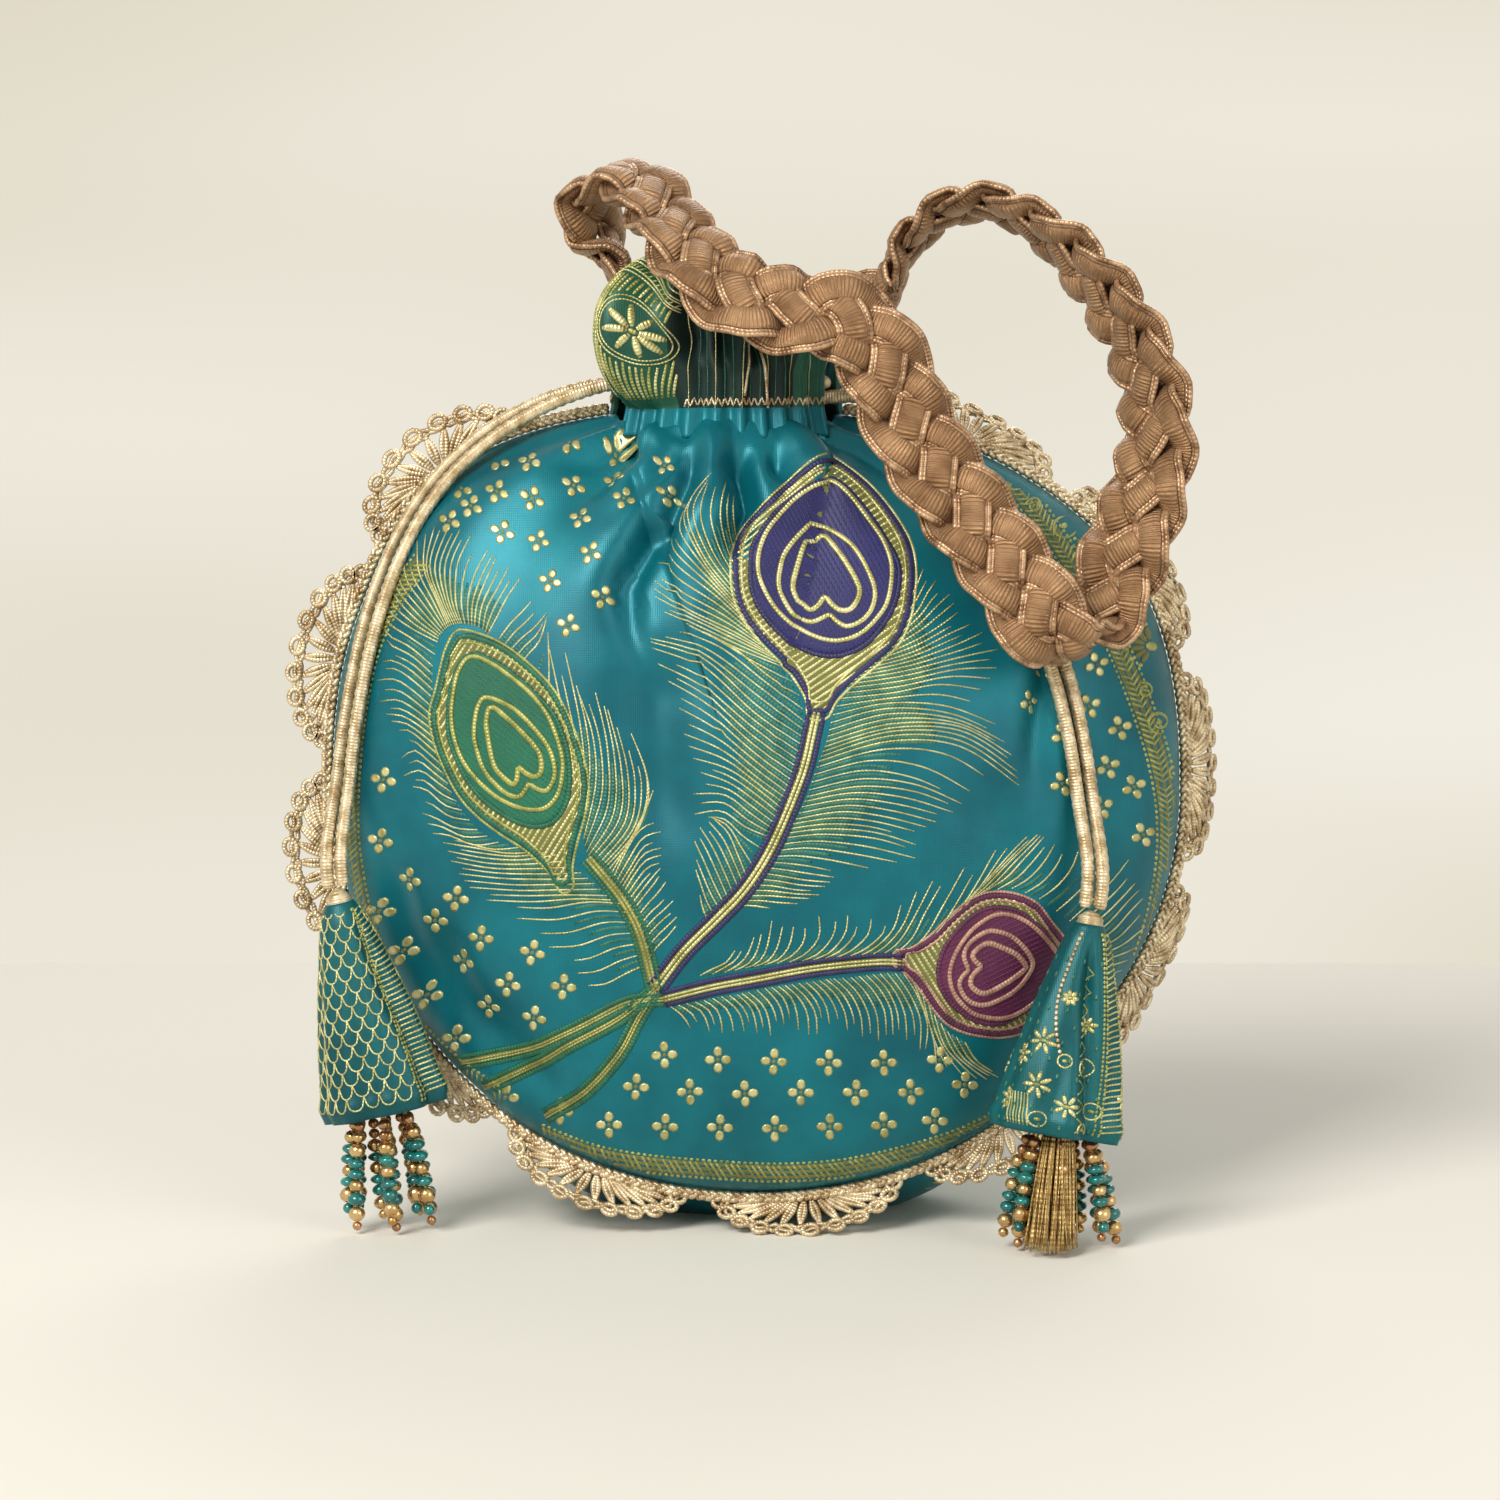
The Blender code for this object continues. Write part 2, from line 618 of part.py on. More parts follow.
CHANNEL_RX = NECK_RX_WALL - CASING_CLOTH - FIT_GAP - 0.5 * DRAWCORD
CHANNEL_RY = NECK_RY_WALL - CASING_CLOTH - FIT_GAP - 0.5 * DRAWCORD
LOWER_CORD_Z = CASING_BOTTOM + FIT_GAP + 0.5 * DRAWCORD + 0.0004
UPPER_CORD_Z = LOWER_CORD_Z + DRAWCORD + 2.0 * FIT_GAP


def channel_point(turn, height):
    angle = math.radians(turn)
    return Vector((NECK.x + CHANNEL_RX * math.cos(angle), CHANNEL_RY * math.sin(angle), height))


def make_cord(name, route, look):
    """A round cord along a route, as a curve with a round section and filled ends."""
    curve = bpy.data.curves.new(name, "CURVE")
    curve.dimensions = "3D"
    curve.bevel_depth = 0.5 * DRAWCORD
    curve.bevel_resolution = 2
    curve.use_fill_caps = True
    line = curve.splines.new("POLY")
    line.points.add(len(route) - 1)
    for spot, point in zip(line.points, route):
        spot.co = (*point, 1.0)
    line.use_smooth = True
    curve.materials.append(look)
    made = bpy.data.objects.new(name, curve)
    bpy.context.scene.collection.objects.link(made)
    return made


def make_loop(name, start, end, height, look, steps=26):
    route = [channel_point(start + (end - start) * number / steps, height) for number in range(steps + 1)]
    return make_cord(name, route, look)


def tassel_frame(pivot, mouth):
    """The pivot of a tassel and its directions: down its cone, across it, and through its depth."""
    down = (Vector(mouth) - Vector(pivot)).normalized()
    across = Vector((1.0, 0.0, 0.0))
    across = (across - down * across.dot(down)).normalized()
    return Vector(pivot), down, across, across.cross(down)


def tail_end(pivot, mouth, side):
    """Where a tail stops above the round head of its tassel's stem; side is 1 or -1 along X."""
    origin, down, across, _ = tassel_frame(pivot, mouth)
    return origin - down * (STEM_RADIUS + 2.0 * FIT_GAP) + across * (side * (0.5 * DRAWCORD + 0.6 * FIT_GAP))


LEFT_FRONT_EXIT = 213.0
LEFT_BACK_EXIT = 170.0
LEFT_FRONT_ROUTE = [
    channel_point(LEFT_FRONT_EXIT - 2.0, UPPER_CORD_Z), channel_point(LEFT_FRONT_EXIT - 9.0, UPPER_CORD_Z),
    (-0.0360, -0.0051, 0.2062), (-0.0450, -0.0065, 0.2040), (-0.0560, -0.0075, 0.1995),
    (-0.0680, -0.0090, 0.1920), (-0.0790, -0.0110, 0.1815), (-0.0880, -0.0144, 0.1670),
    (-0.0950, -0.0184, 0.1480), (-0.0995, -0.0206, 0.1270), (-0.1020, -0.0208, 0.1080),
    (-0.1034, -0.0263, 0.0945), tail_end(LEFT_PIVOT, LEFT_MOUTH, 1.0),
]
LEFT_BACK_ROUTE = [
    channel_point(LEFT_BACK_EXIT + 2.0, UPPER_CORD_Z), channel_point(LEFT_BACK_EXIT + 8.0, UPPER_CORD_Z),
    (-0.0368, -0.0015, 0.2062), (-0.0460, -0.0028, 0.2048), (-0.0575, -0.0038, 0.2008),
    (-0.0700, -0.0050, 0.1935), (-0.0815, -0.0068, 0.1825), (-0.0908, -0.0096, 0.1680),
    (-0.0980, -0.0134, 0.1490), (-0.1026, -0.0160, 0.1275), (-0.1054, -0.0165, 0.1080),
    (-0.1070, -0.0262, 0.0940), tail_end(LEFT_PIVOT, LEFT_MOUTH, -1.0),
]
RIGHT_FRONT_ROUTE = [
    channel_point(540.0 - LEFT_FRONT_EXIT + 2.0, LOWER_CORD_Z),
    channel_point(540.0 - LEFT_FRONT_EXIT + 9.0, LOWER_CORD_Z),
    (0.0160, -0.0051, 0.2026), (0.0240, -0.0072, 0.2025), (0.0330, -0.0095, 0.1978),
    (0.0440, -0.0190, 0.1865), (0.0540, -0.0268, 0.1700), (0.0620, -0.0322, 0.1540),
    (0.0685, -0.0350, 0.1380), (0.0725, -0.0360, 0.1220), (0.0750, -0.0368, 0.1060),
    (0.0770, -0.0402, 0.0920), tail_end(RIGHT_PIVOT, RIGHT_MOUTH, -1.0),
]
RIGHT_BACK_ROUTE = [
    channel_point(180.0 - LEFT_BACK_EXIT - 2.0, LOWER_CORD_Z),
    channel_point(180.0 - LEFT_BACK_EXIT - 8.0, LOWER_CORD_Z),
    (0.0168, -0.0015, 0.2028), (0.0265, -0.0036, 0.2030), (0.0365, -0.0055, 0.1982),
    (0.0478, -0.0160, 0.1868), (0.0580, -0.0252, 0.1705), (0.0660, -0.0308, 0.1540),
    (0.0722, -0.0332, 0.1380), (0.0761, -0.0340, 0.1220), (0.0786, -0.0348, 0.1060),
    (0.0805, -0.0402, 0.0915), tail_end(RIGHT_PIVOT, RIGHT_MOUTH, 1.0),
]


def make_tail(name, stops, look):
    route, _, _ = smooth_route(stops, 0.75 * DRAWCORD)
    kept = route[:5] + route[5:-2:3] + [route[-1]]
    return make_cord(name, kept, look)


# The tassels

def make_cone(name, pivot, mouth, look, sides=18, rows=5):
    """A hollow cloth cone, open at both ends."""
    _, _, across, depth = tassel_frame(pivot, mouth)
    points = []
    for inset in (0.0, CONE_CLOTH):
        for row in range(rows + 1):
            share = row / rows
            centre = Vector(pivot).lerp(Vector(mouth), share)
            wide = CONE_TOP_RADIUS + (CONE_HALF_WIDTH - CONE_TOP_RADIUS) * share
            deep = CONE_TOP_RADIUS + (CONE_HALF_DEPTH - CONE_TOP_RADIUS) * share
            for side in range(sides):
                turn = 2.0 * math.pi * side / sides
                fold = CONE_FOLD * share * math.cos(6.0 * turn + 1.0)
                points.append(centre + across * ((wide - inset + fold) * math.cos(turn))
                              + depth * ((deep - inset + fold) * math.sin(turn)))
    faces = []
    other = (rows + 1) * sides
    for side in range(sides):
        after = (side + 1) % sides
        for row in range(rows):
            a = row * sides
            faces.append((a + side, a + after, a + sides + after, a + sides + side))
            faces.append((other + a + side, other + a + sides + side, other + a + sides + after,
                          other + a + after))
        low = rows * sides
        faces.append((side, after, other + after, other + side))
        faces.append((low + side, low + after, other + low + after, other + low + side))
    return add_solid(name, points, faces, look)


def turned(name, start, end, profile, sides, look):
    """A turned body from start to end; the profile lists a distance from start and a radius."""
    start = Vector(start)
    way = (Vector(end) - start).normalized()
    first = way.orthogonal().normalized()
    second = way.cross(first)
    points = []
    for along, radius in profile:
        for side in range(sides):
            turn = 2.0 * math.pi * side / sides
            points.append(start + way * along + first * (radius * math.cos(turn))
                          + second * (radius * math.sin(turn)))
    faces = [tuple(range(sides)), tuple(range((len(profile) - 1) * sides, len(profile) * sides))]
    for row in range(len(profile) - 1):
        low = row * sides
        for side in range(sides):
            after = (side + 1) % sides
            faces.append((low + side, low + after, low + sides + after, low + sides + side))
    return add_solid(name, points, faces, look)


def knot_span(pivot, mouth):
    """Distances from the pivot, along the cone, to the top and the foot of the knot inside it."""
    foot = (Vector(mouth) - Vector(pivot)).length - KNOT_ABOVE_MOUTH
    return foot - KNOT_HEIGHT, foot


def make_core(name, pivot, mouth, look):
    """The cord ends inside the cone, with a round head above and the knot that the beads hang from."""
    top, foot = knot_span(pivot, mouth)
    origin, down, _, _ = tassel_frame(pivot, mouth)
    profile = []
    for turn in (78.0, 50.0, 24.0):
        angle = math.radians(turn)
        profile.append((STEM_RADIUS * (1.0 - math.sin(angle)), STEM_RADIUS * math.cos(angle)))
    profile += [(STEM_RADIUS, STEM_RADIUS), (STEM_RADIUS + top, STEM_RADIUS)]
    for share, radius in ((0.18, 0.80), (0.5, 1.0), (0.82, 0.85), (1.0, 0.70)):
        profile.append((STEM_RADIUS + top + KNOT_HEIGHT * share, KNOT_RADIUS * radius))
    return turned(name, origin - down * STEM_RADIUS, mouth, profile, 10, look)


def strand_profile(length, clear, beads):
    """Thread with beads; clear is the bare stretch at the top, and each bead has a radius and a length."""
    profile = [(0.0, BEAD_THREAD), (clear, BEAD_THREAD)]
    along = clear
    stretch = (length - clear) / sum(bead[1] for bead in beads)
    for radius, span in beads:
        span = span * stretch
        profile.append((along + 0.22 * span, radius))
        profile.append((along + 0.78 * span, radius))
        along += span
        profile.append((along, BEAD_THREAD * 1.3))
    return profile


def bead_row(number):
    """The beads of one strand from the top down, as pairs of a radius and a length."""
    small = (SMALL_BEAD_RADIUS, 0.0024)
    gold = (BEAD_RADIUS, 0.0037)
    disc = (BEAD_RADIUS * 1.1, 0.0026)
    tip = (SMALL_BEAD_RADIUS, 0.0020)
    if number % 2:
        return [small, gold, disc, disc, gold, gold, tip]
    return [small, small, gold, disc, gold, disc, tip]


def strand_ends(pivot, mouth, number, spread):
    """Top and bottom of one hanging strand; the strands flare apart below the knot."""
    _, foot = knot_span(pivot, mouth)
    origin, down, across, depth = tassel_frame(pivot, mouth)
    turn = 2.0 * math.pi * (number + 0.5) / STRANDS
    ring = across * math.cos(turn) * 1.15 + depth * math.sin(turn) * 0.8
    top = origin + down * (foot + 3.0 * FIT_GAP) + ring * (0.5 * KNOT_RADIUS)
    bottom = Vector(mouth) + Vector((0.0015, 0.0, 0.0)) + ring * spread
    bottom.z = FLOOR_CLEARANCE + 0.6 * BEAD_RADIUS * (number % 3)
    return top, bottom


def make_strands(prefix, pivot, mouth, spread, look):
    made = []
    for number in range(STRANDS):
        top, bottom = strand_ends(pivot, mouth, number, spread)
        length = (bottom - top).length
        profile = strand_profile(length, KNOT_ABOVE_MOUTH + BEAD_THREAD, bead_row(number))
        made.append(turned(f"{prefix}_bead_strand_{number + 1}", top, bottom, profile, 5, look))
    return made


def make_fringe(look):
    """The bunch of metal thread between the bead strands of the right tassel."""
    _, foot = knot_span(RIGHT_PIVOT, RIGHT_MOUTH)
    origin, down, _, _ = tassel_frame(RIGHT_PIVOT, RIGHT_MOUTH)
    top = origin + down * (foot + 3.0 * FIT_GAP)
    bottom = Vector(RIGHT_MOUTH) + Vector((-0.0005, -0.0010, 0.0))
    bottom.z = FLOOR_CLEARANCE + 0.3 * BEAD_RADIUS
    length = (bottom - top).length
    profile = [(0.0, 0.0015), (0.35 * length, 0.0020), (0.75 * length, 0.0034), (length, 0.0046)]
    return turned("right_thread_fringe", top, bottom, profile, 8, look)


def main():
    clear_scene()
    teal = material("teal_brocade", (0.010, 0.190, 0.215), 0.42)
    green = material("green_brocade", (0.055, 0.170, 0.090), 0.50)
    cotton = material("lining_cotton", (0.62, 0.55, 0.40), 0.85)
    lace = material("champagne_lace", (0.62, 0.47, 0.26), 0.55, 0.25)
    satin = material("bronze_satin", (0.50, 0.28, 0.14), 0.40, 0.15)
    cord = material("gold_cord", (0.66, 0.50, 0.27), 0.48, 0.25)
    beads = material("beads", (0.55, 0.36, 0.14), 0.25, 0.70)
    zari = material("gold_thread", (0.60, 0.42, 0.16), 0.35, 0.60)

    make_panel("front_panel", -1, teal)
    make_panel("back_panel", 1, teal)
    make_lining(cotton)
    make_crown("front_ruffle", 180.0 + SLIT_FRONT_TURN, 360.0 - SLIT_FRONT_TURN, green)
    make_crown("back_ruffle", SLIT_BACK_TURN, 180.0 - SLIT_BACK_TURN, green)
    make_lace(lace)
    make_handle(satin)
    make_loop("left_drawcord_loop", LEFT_FRONT_EXIT, LEFT_BACK_EXIT + 360.0, UPPER_CORD_Z, cord)
    make_loop("right_drawcord_loop", 540.0 - LEFT_FRONT_EXIT, 180.0 - LEFT_BACK_EXIT, LOWER_CORD_Z, cord)
    make_tail("left_cord_front", LEFT_FRONT_ROUTE, cord)
    make_tail("left_cord_back", LEFT_BACK_ROUTE, cord)
    make_tail("right_cord_front", RIGHT_FRONT_ROUTE, cord)
    make_tail("right_cord_back", RIGHT_BACK_ROUTE, cord)
    for side, pivot, mouth, spread in (("left", LEFT_PIVOT, LEFT_MOUTH, 0.0082),
                                       ("right", RIGHT_PIVOT, RIGHT_MOUTH, 0.0098)):
        make_cone(f"{side}_tassel_cone", pivot, mouth, teal)
        make_core(f"{side}_tassel_core", pivot, mouth, cord)
        make_strands(side, pivot, mouth, spread, beads)
    make_fringe(zari)


main()
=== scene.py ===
"""Looks of the gathered brocade pouch: cloth, woven feathers, braid, lace, cords and beaded tassels."""
import math

import bpy
import numpy as np
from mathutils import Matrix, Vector


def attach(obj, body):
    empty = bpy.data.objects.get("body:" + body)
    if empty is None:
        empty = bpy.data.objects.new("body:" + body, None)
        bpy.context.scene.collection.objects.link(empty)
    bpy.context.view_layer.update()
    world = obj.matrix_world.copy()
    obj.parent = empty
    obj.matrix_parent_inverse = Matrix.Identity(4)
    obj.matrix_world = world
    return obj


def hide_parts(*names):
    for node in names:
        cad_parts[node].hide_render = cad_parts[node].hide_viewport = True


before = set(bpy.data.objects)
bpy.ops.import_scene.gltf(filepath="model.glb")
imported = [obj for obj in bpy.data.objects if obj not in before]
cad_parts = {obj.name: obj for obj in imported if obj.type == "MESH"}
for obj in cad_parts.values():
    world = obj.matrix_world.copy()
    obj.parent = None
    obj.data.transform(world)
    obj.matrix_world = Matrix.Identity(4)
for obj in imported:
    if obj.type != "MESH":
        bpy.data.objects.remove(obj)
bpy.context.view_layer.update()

# Sizes of the cloth body, the same as in the part's source
BODY_HALF_WIDTH = 0.1050
BODY_OFFSET = -0.0025
BODY_UPPER_HEIGHT = 0.0957
BODY_LOWER_HEIGHT = 0.0945
BELLY_HEIGHT = 0.104
BELLY_SAG = 0.004
FRONT_DEPTH = 0.050
BACK_DEPTH = 0.048
SHOULDER_SQUARENESS = 2.5
SEAM_FORWARD = 0.026
SEAM_FORWARD_BELOW = 0.060
BASE_OVERSHOOT = 0.34
OVERSHOOT_BELOW = 0.042
PANEL_THICKNESS = 0.0012
LINING_GAP = 0.0014
SEAM_GAP = 0.0003
FIT_GAP = 0.0003
FOLDS_END_HEIGHT = 0.040
NECK_OFFSET = -0.010
NECK_LEAN_REACH = 0.050
NECK_RX = 0.0270
NECK_RY = 0.0170
NECK_Z = BELLY_HEIGHT + BODY_UPPER_HEIGHT
NECK_MIDDLE = np.array((NECK_OFFSET, 0.0, NECK_Z))
CASING_HEIGHT = 0.0090
CASING_CLOTH = 0.0015
DRAWCORD = 0.0032
CASING_BOTTOM = NECK_Z + FIT_GAP
NECK_RX_WALL = NECK_RX + 2.0 * FIT_GAP
NECK_RY_WALL = NECK_RY + 2.0 * FIT_GAP
MIDDLE_X = BODY_OFFSET
MIDDLE_Z = BELLY_HEIGHT - BELLY_SAG

# The camera, whose picture is 1500 by 1500
CAMERA_TARGET = np.array((-0.0041, -0.028, 0.1185))
CAMERA_DISTANCE = 1.1
CAMERA_TILT = math.radians(7.0)
CAMERA_EYE = CAMERA_TARGET + CAMERA_DISTANCE * np.array((0.0, -math.cos(CAMERA_TILT), math.sin(CAMERA_TILT)))
VIEW_WIDTH = 0.363
PICTURE = 1500.0
PIXEL = VIEW_WIDTH / PICTURE

# Threads that lie on cloth sink into it by this much
SUNK = 0.00018


def smoothstep(value):
    value = np.clip(value, 0.0, 1.0)
    return value * value * (3.0 - 2.0 * value)


def bump(value, centre, width):
    """A smooth hill of height 1 around an angle in degrees."""
    away = np.abs((value - centre + 180.0) % 360.0 - 180.0)
    return 1.0 - smoothstep(away / width)


def unit(vectors):
    return vectors / np.maximum(np.linalg.norm(vectors, axis=-1, keepdims=True), 1e-12)


def distances(line):
    """How far along a line each of its points is."""
    return np.concatenate([[0.0], np.cumsum(np.linalg.norm(np.diff(line, axis=0), axis=1))])


def at_marks(marks, along, line):
    """Points of a line at marks along it."""
    return np.stack([np.interp(marks, along, line[:, k]) for k in range(line.shape[1])], axis=1)


def stretches(kept):
    """The start and end of each run of kept points."""
    edges = np.flatnonzero(np.diff(np.concatenate([[0], kept.astype(int), [0]])))
    return list(zip(edges[::2], edges[1::2]))


def round_turn(count, start=0.0):
    """Evenly spaced angles round a full turn."""
    return (np.arange(count) + start) * 2.0 * math.pi / count


def spline(points, step):
    """Evenly spaced points on a smooth curve through given ones, their places among those, and its length."""
    knots = np.array(points, float)
    spans = len(knots) - 1
    marks = np.arange(spans * 16 + 1) / 16.0
    low = np.minimum(marks.astype(int), spans - 1)
    t = (marks - low)[:, None]
    before = knots[np.maximum(low - 1, 0)]
    here = knots[low]
    there = knots[low + 1]
    after = knots[np.minimum(low + 2, spans)]
    square = 2.0 * before - 5.0 * here + 4.0 * there - after
    cube = 3.0 * here - before - 3.0 * there + after
    dense = 0.5 * (2.0 * here + (there - before) * t + square * t ** 2 + cube * t ** 3)
    along = distances(dense)
    targets = np.linspace(0.0, along[-1], max(2, round(along[-1] / step)) + 1)
    return at_marks(targets, along, dense), np.interp(targets, along, marks), along[-1]


# Meshes

class Shape:
    """Gathers the points and faces of one mesh, with a place on the thread for each corner of a face."""

    def __init__(self):
        self.points = []
        self.groups = []
        self.count = 0

    def add(self, points, faces, places=None, kind=0):
        """Add points and faces between them, with the faces' corner places and material number."""
        faces = np.asarray(faces, int)
        if places is None:
            places = np.zeros(faces.shape + (2,))
        self.groups.append((faces + self.count, places, kind))
        points = np.asarray(points, float).reshape(-1, 3)
        self.points.append(points)
        self.count += len(points)

    def join(self, faces, kind=0):
        """Faces between points that are already there."""
        faces = np.asarray(faces, int)
        self.groups.append((faces, np.zeros(faces.shape + (2,)), kind))

    def cap(self, first, count, kind=0, flip=False):
        """One face over a ring of points that starts at the first."""
        ring = np.arange(first, first + count)[None, :]
        self.join(ring[:, ::-1] if flip else ring, kind)

    def band(self, ring, step, kind=0, flip=False):
        """Faces from a closed ring of points to the ring that lies a step further in the list of points."""
        ring = np.asarray(ring)
        after = np.roll(ring, -1)
        faces = np.stack([ring, after, after + step, ring + step], axis=1)
        self.join(faces[:, ::-1] if flip else faces, kind)

    def tube(self, line, normals, profile, scale=1.0, kind=0, closed=False):
        """A closed tube along a line; profile is a ring of (across, up) in metres."""
        line = np.asarray(line, float)
        rings = len(line)
        if closed:
            way = np.roll(line, -1, axis=0) - np.roll(line, 1, axis=0)
        else:
            way = np.gradient(line, axis=0)
        way = unit(way)
        across = unit(np.cross(way, normals))
        up = np.cross(across, way)
        profile = np.asarray(profile, float)
        scale = np.broadcast_to(np.asarray(scale, float), (rings,))[:, None, None]
        points = line[:, None, :] + scale * (across[:, None, :] * profile[None, :, 0, None]
                                             + up[:, None, :] * profile[None, :, 1, None])
        sides = len(profile)
        along = distances(line)
        if closed:
            along = np.append(along, along[-1] + np.linalg.norm(line[0] - line[-1]))
        rows = rings if closed else rings - 1
        ring, side = np.meshgrid(np.arange(rows), np.arange(sides), indexing="ij")
        after_ring = (ring + 1) % rings
        after = (side + 1) % sides
        faces = np.stack([ring * sides + side, ring * sides + after,
                          after_ring * sides + after, after_ring * sides + side], axis=-1).reshape(-1, 4)
        u0, u1 = along[ring], along[ring + 1]
        v0, v1 = side / sides, (side + 1) / sides
        places = np.stack([np.stack([u0, v0], -1), np.stack([u0, v1], -1),
                           np.stack([u1, v1], -1), np.stack([u1, v0], -1)], axis=2).reshape(-1, 4, 2)
        self.add(points, faces, places, kind)
        if not closed:
            self.cap(self.count - rings * sides, sides, kind, True)
            self.cap(self.count - sides, sides, kind)

    def grid(self, points, kind=0, wrap=False, flip=False, places=None):
        """One layer of a grid of points with rows and columns; wrap joins the last column to the first."""
        points = np.asarray(points, float)
        rows, columns = points.shape[:2]
        wide = columns if wrap else columns - 1
        row, column = np.meshgrid(np.arange(rows - 1), np.arange(wide), indexing="ij")
        after = (column + 1) % columns
        faces = np.stack([row * columns + column, row * columns + after,
                          (row + 1) * columns + after, (row + 1) * columns + column], axis=-1).reshape(-1, 4)
        if flip:
            faces = faces[:, ::-1]
        if places is not None:
            places = np.asarray(places).reshape(-1, 2)[faces]
        self.add(points, faces, places, kind)

    def ball(self, centre, radius, axis, flat, kind):
        """A bead: a ball pressed along its axis to flat times its height."""
        sides, rows = 10, 6
        axis = unit(np.array(axis, float))
        other = unit(np.cross(axis, (0.31, 0.87, 0.37)))
        third = np.cross(axis, other)
        angles = np.linspace(-0.5 * math.pi, 0.5 * math.pi, rows + 1)[1:-1]
        turns = round_turn(sides)
        ring = other[None] * np.cos(turns)[:, None] + third[None] * np.sin(turns)[:, None]
        points = [centre - axis * radius * flat]
        for angle in angles:
            points.extend(centre + ring * radius * math.cos(angle) + axis * radius * flat * math.sin(angle))
        points.append(centre + axis * radius * flat)
        quads = []
        for row in range(len(angles) - 1):
            for side in range(sides):
                after = (side + 1) % sides
                low = 1 + row * sides
                quads.append((low + side, low + after, low + sides + after, low + sides + side))
        self.add(points, quads, None, kind)
        first, last = self.count - len(points), self.count - 1
        ends = [(first, first + 1 + (side + 1) % sides, first + 1 + side) for side in range(sides)]
        ends += [(last, last - sides + side, last - sides + (side + 1) % sides) for side in range(sides)]
        self.join(ends, kind)

    def made(self, name, looks, body, slot, replaces=()):
        """The object, which rides on a body and stands for the named solids."""
        points = np.concatenate(self.points)
        mesh = bpy.data.meshes.new(name)
        corners = np.concatenate([faces.ravel() for faces, _, _ in self.groups])
        sizes = np.concatenate([np.full(len(faces), faces.shape[1]) for faces, _, _ in self.groups])
        kinds = np.concatenate([np.full(len(faces), kind) for faces, _, kind in self.groups])
        places = np.concatenate([places.reshape(-1, 2) for _, places, _ in self.groups])
        mesh.vertices.add(len(points))
        mesh.vertices.foreach_set("co", points.ravel())
        mesh.loops.add(len(corners))
        mesh.loops.foreach_set("vertex_index", corners)
        mesh.polygons.add(len(sizes))
        mesh.polygons.foreach_set("loop_start", np.concatenate([[0], np.cumsum(sizes)[:-1]]))
        mesh.polygons.foreach_set("material_index", kinds)
        mesh.update(calc_edges=True)
        layer = mesh.uv_layers.new(name="thread_place")
        layer.data.foreach_set("uv", places.ravel())
        mesh.shade_smooth()
        for look in looks:
            mesh.materials.append(look)
        item = bpy.data.objects.new(name, mesh)
        bpy.context.scene.collection.objects.link(item)
        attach(item, body)
        if replaces:
            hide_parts(*replaces)
        return item


def ring_profile(radius, sides):
    turns = round_turn(sides)
    return np.stack([radius * np.cos(turns), radius * np.sin(turns)], axis=1)


def thread_profile(width, rise):
    """A thread that lies on cloth: two feet just inside the cloth and a flat top."""
    return [(0.5 * width, -SUNK), (0.28 * width, rise), (-0.28 * width, rise), (-0.5 * width, -SUNK)]


def tapered(taper, count):
    """The widths of a thread along its length, from its ends' share up to the whole."""
    return taper + (1.0 - taper) * np.sin(math.pi * np.linspace(0.03, 0.97, count)) ** 0.5


def carried_normals(line, start=(0.0, -1.0, 0.0)):
    """A normal at each point of a line that turns as little as it can."""
    way = unit(np.gradient(line, axis=0))
    normal = np.array(start, float)
    normals = []
    for direction in way:
        normal = normal - direction * normal.dot(direction)
        normal = normal / max(np.linalg.norm(normal), 1e-9)
        normals.append(normal)
    return np.array(normals)


# The cloth body

def seam_forward(height):
    return -SEAM_FORWARD * smoothstep((1.0 - height / SEAM_FORWARD_BELOW) / 0.88)


def outline_points(turns, inset=0.0):
    """Points of the seam outline; a turn is 0 at the top, pi at the bottom, and over pi on the left."""
    turns = np.where(turns <= math.pi, turns, turns - 2.0 * math.pi)
    side = np.where(turns >= 0.0, 1.0, -1.0)
    sine = np.abs(np.sin(turns))
    cosine = np.cos(turns)
    power = 2.0 / SHOULDER_SQUARENESS
    high = cosine >= 0.0
    x = (BODY_HALF_WIDTH - inset) * np.where(high, sine ** power, sine)
    raised = np.maximum(cosine, 0.0) ** power
    upper, lower = (BODY_UPPER_HEIGHT - inset) * raised, (BODY_LOWER_HEIGHT - inset) * cosine
    z = BELLY_HEIGHT + np.where(high, upper, lower)
    lean = BODY_OFFSET + (NECK_OFFSET - BODY_OFFSET) * smoothstep((z - NECK_Z) / NECK_LEAN_REACH + 1.0)
    return np.stack([side * x + lean, seam_forward(z), z], axis=1)


def seam_line(count, inset=0.0, neck_rx=NECK_RX):
    """Evenly spaced points along the seam, from the right of the neck round the bottom to its left."""
    start = math.asin((neck_rx / (BODY_HALF_WIDTH - inset)) ** (SHOULDER_SQUARENESS / 2.0))
    dense = outline_points(np.linspace(start, 2.0 * math.pi - start, 4001), inset)
    along = distances(dense)
    return at_marks(np.linspace(0.0, along[-1], count + 1), along, dense), along[-1]


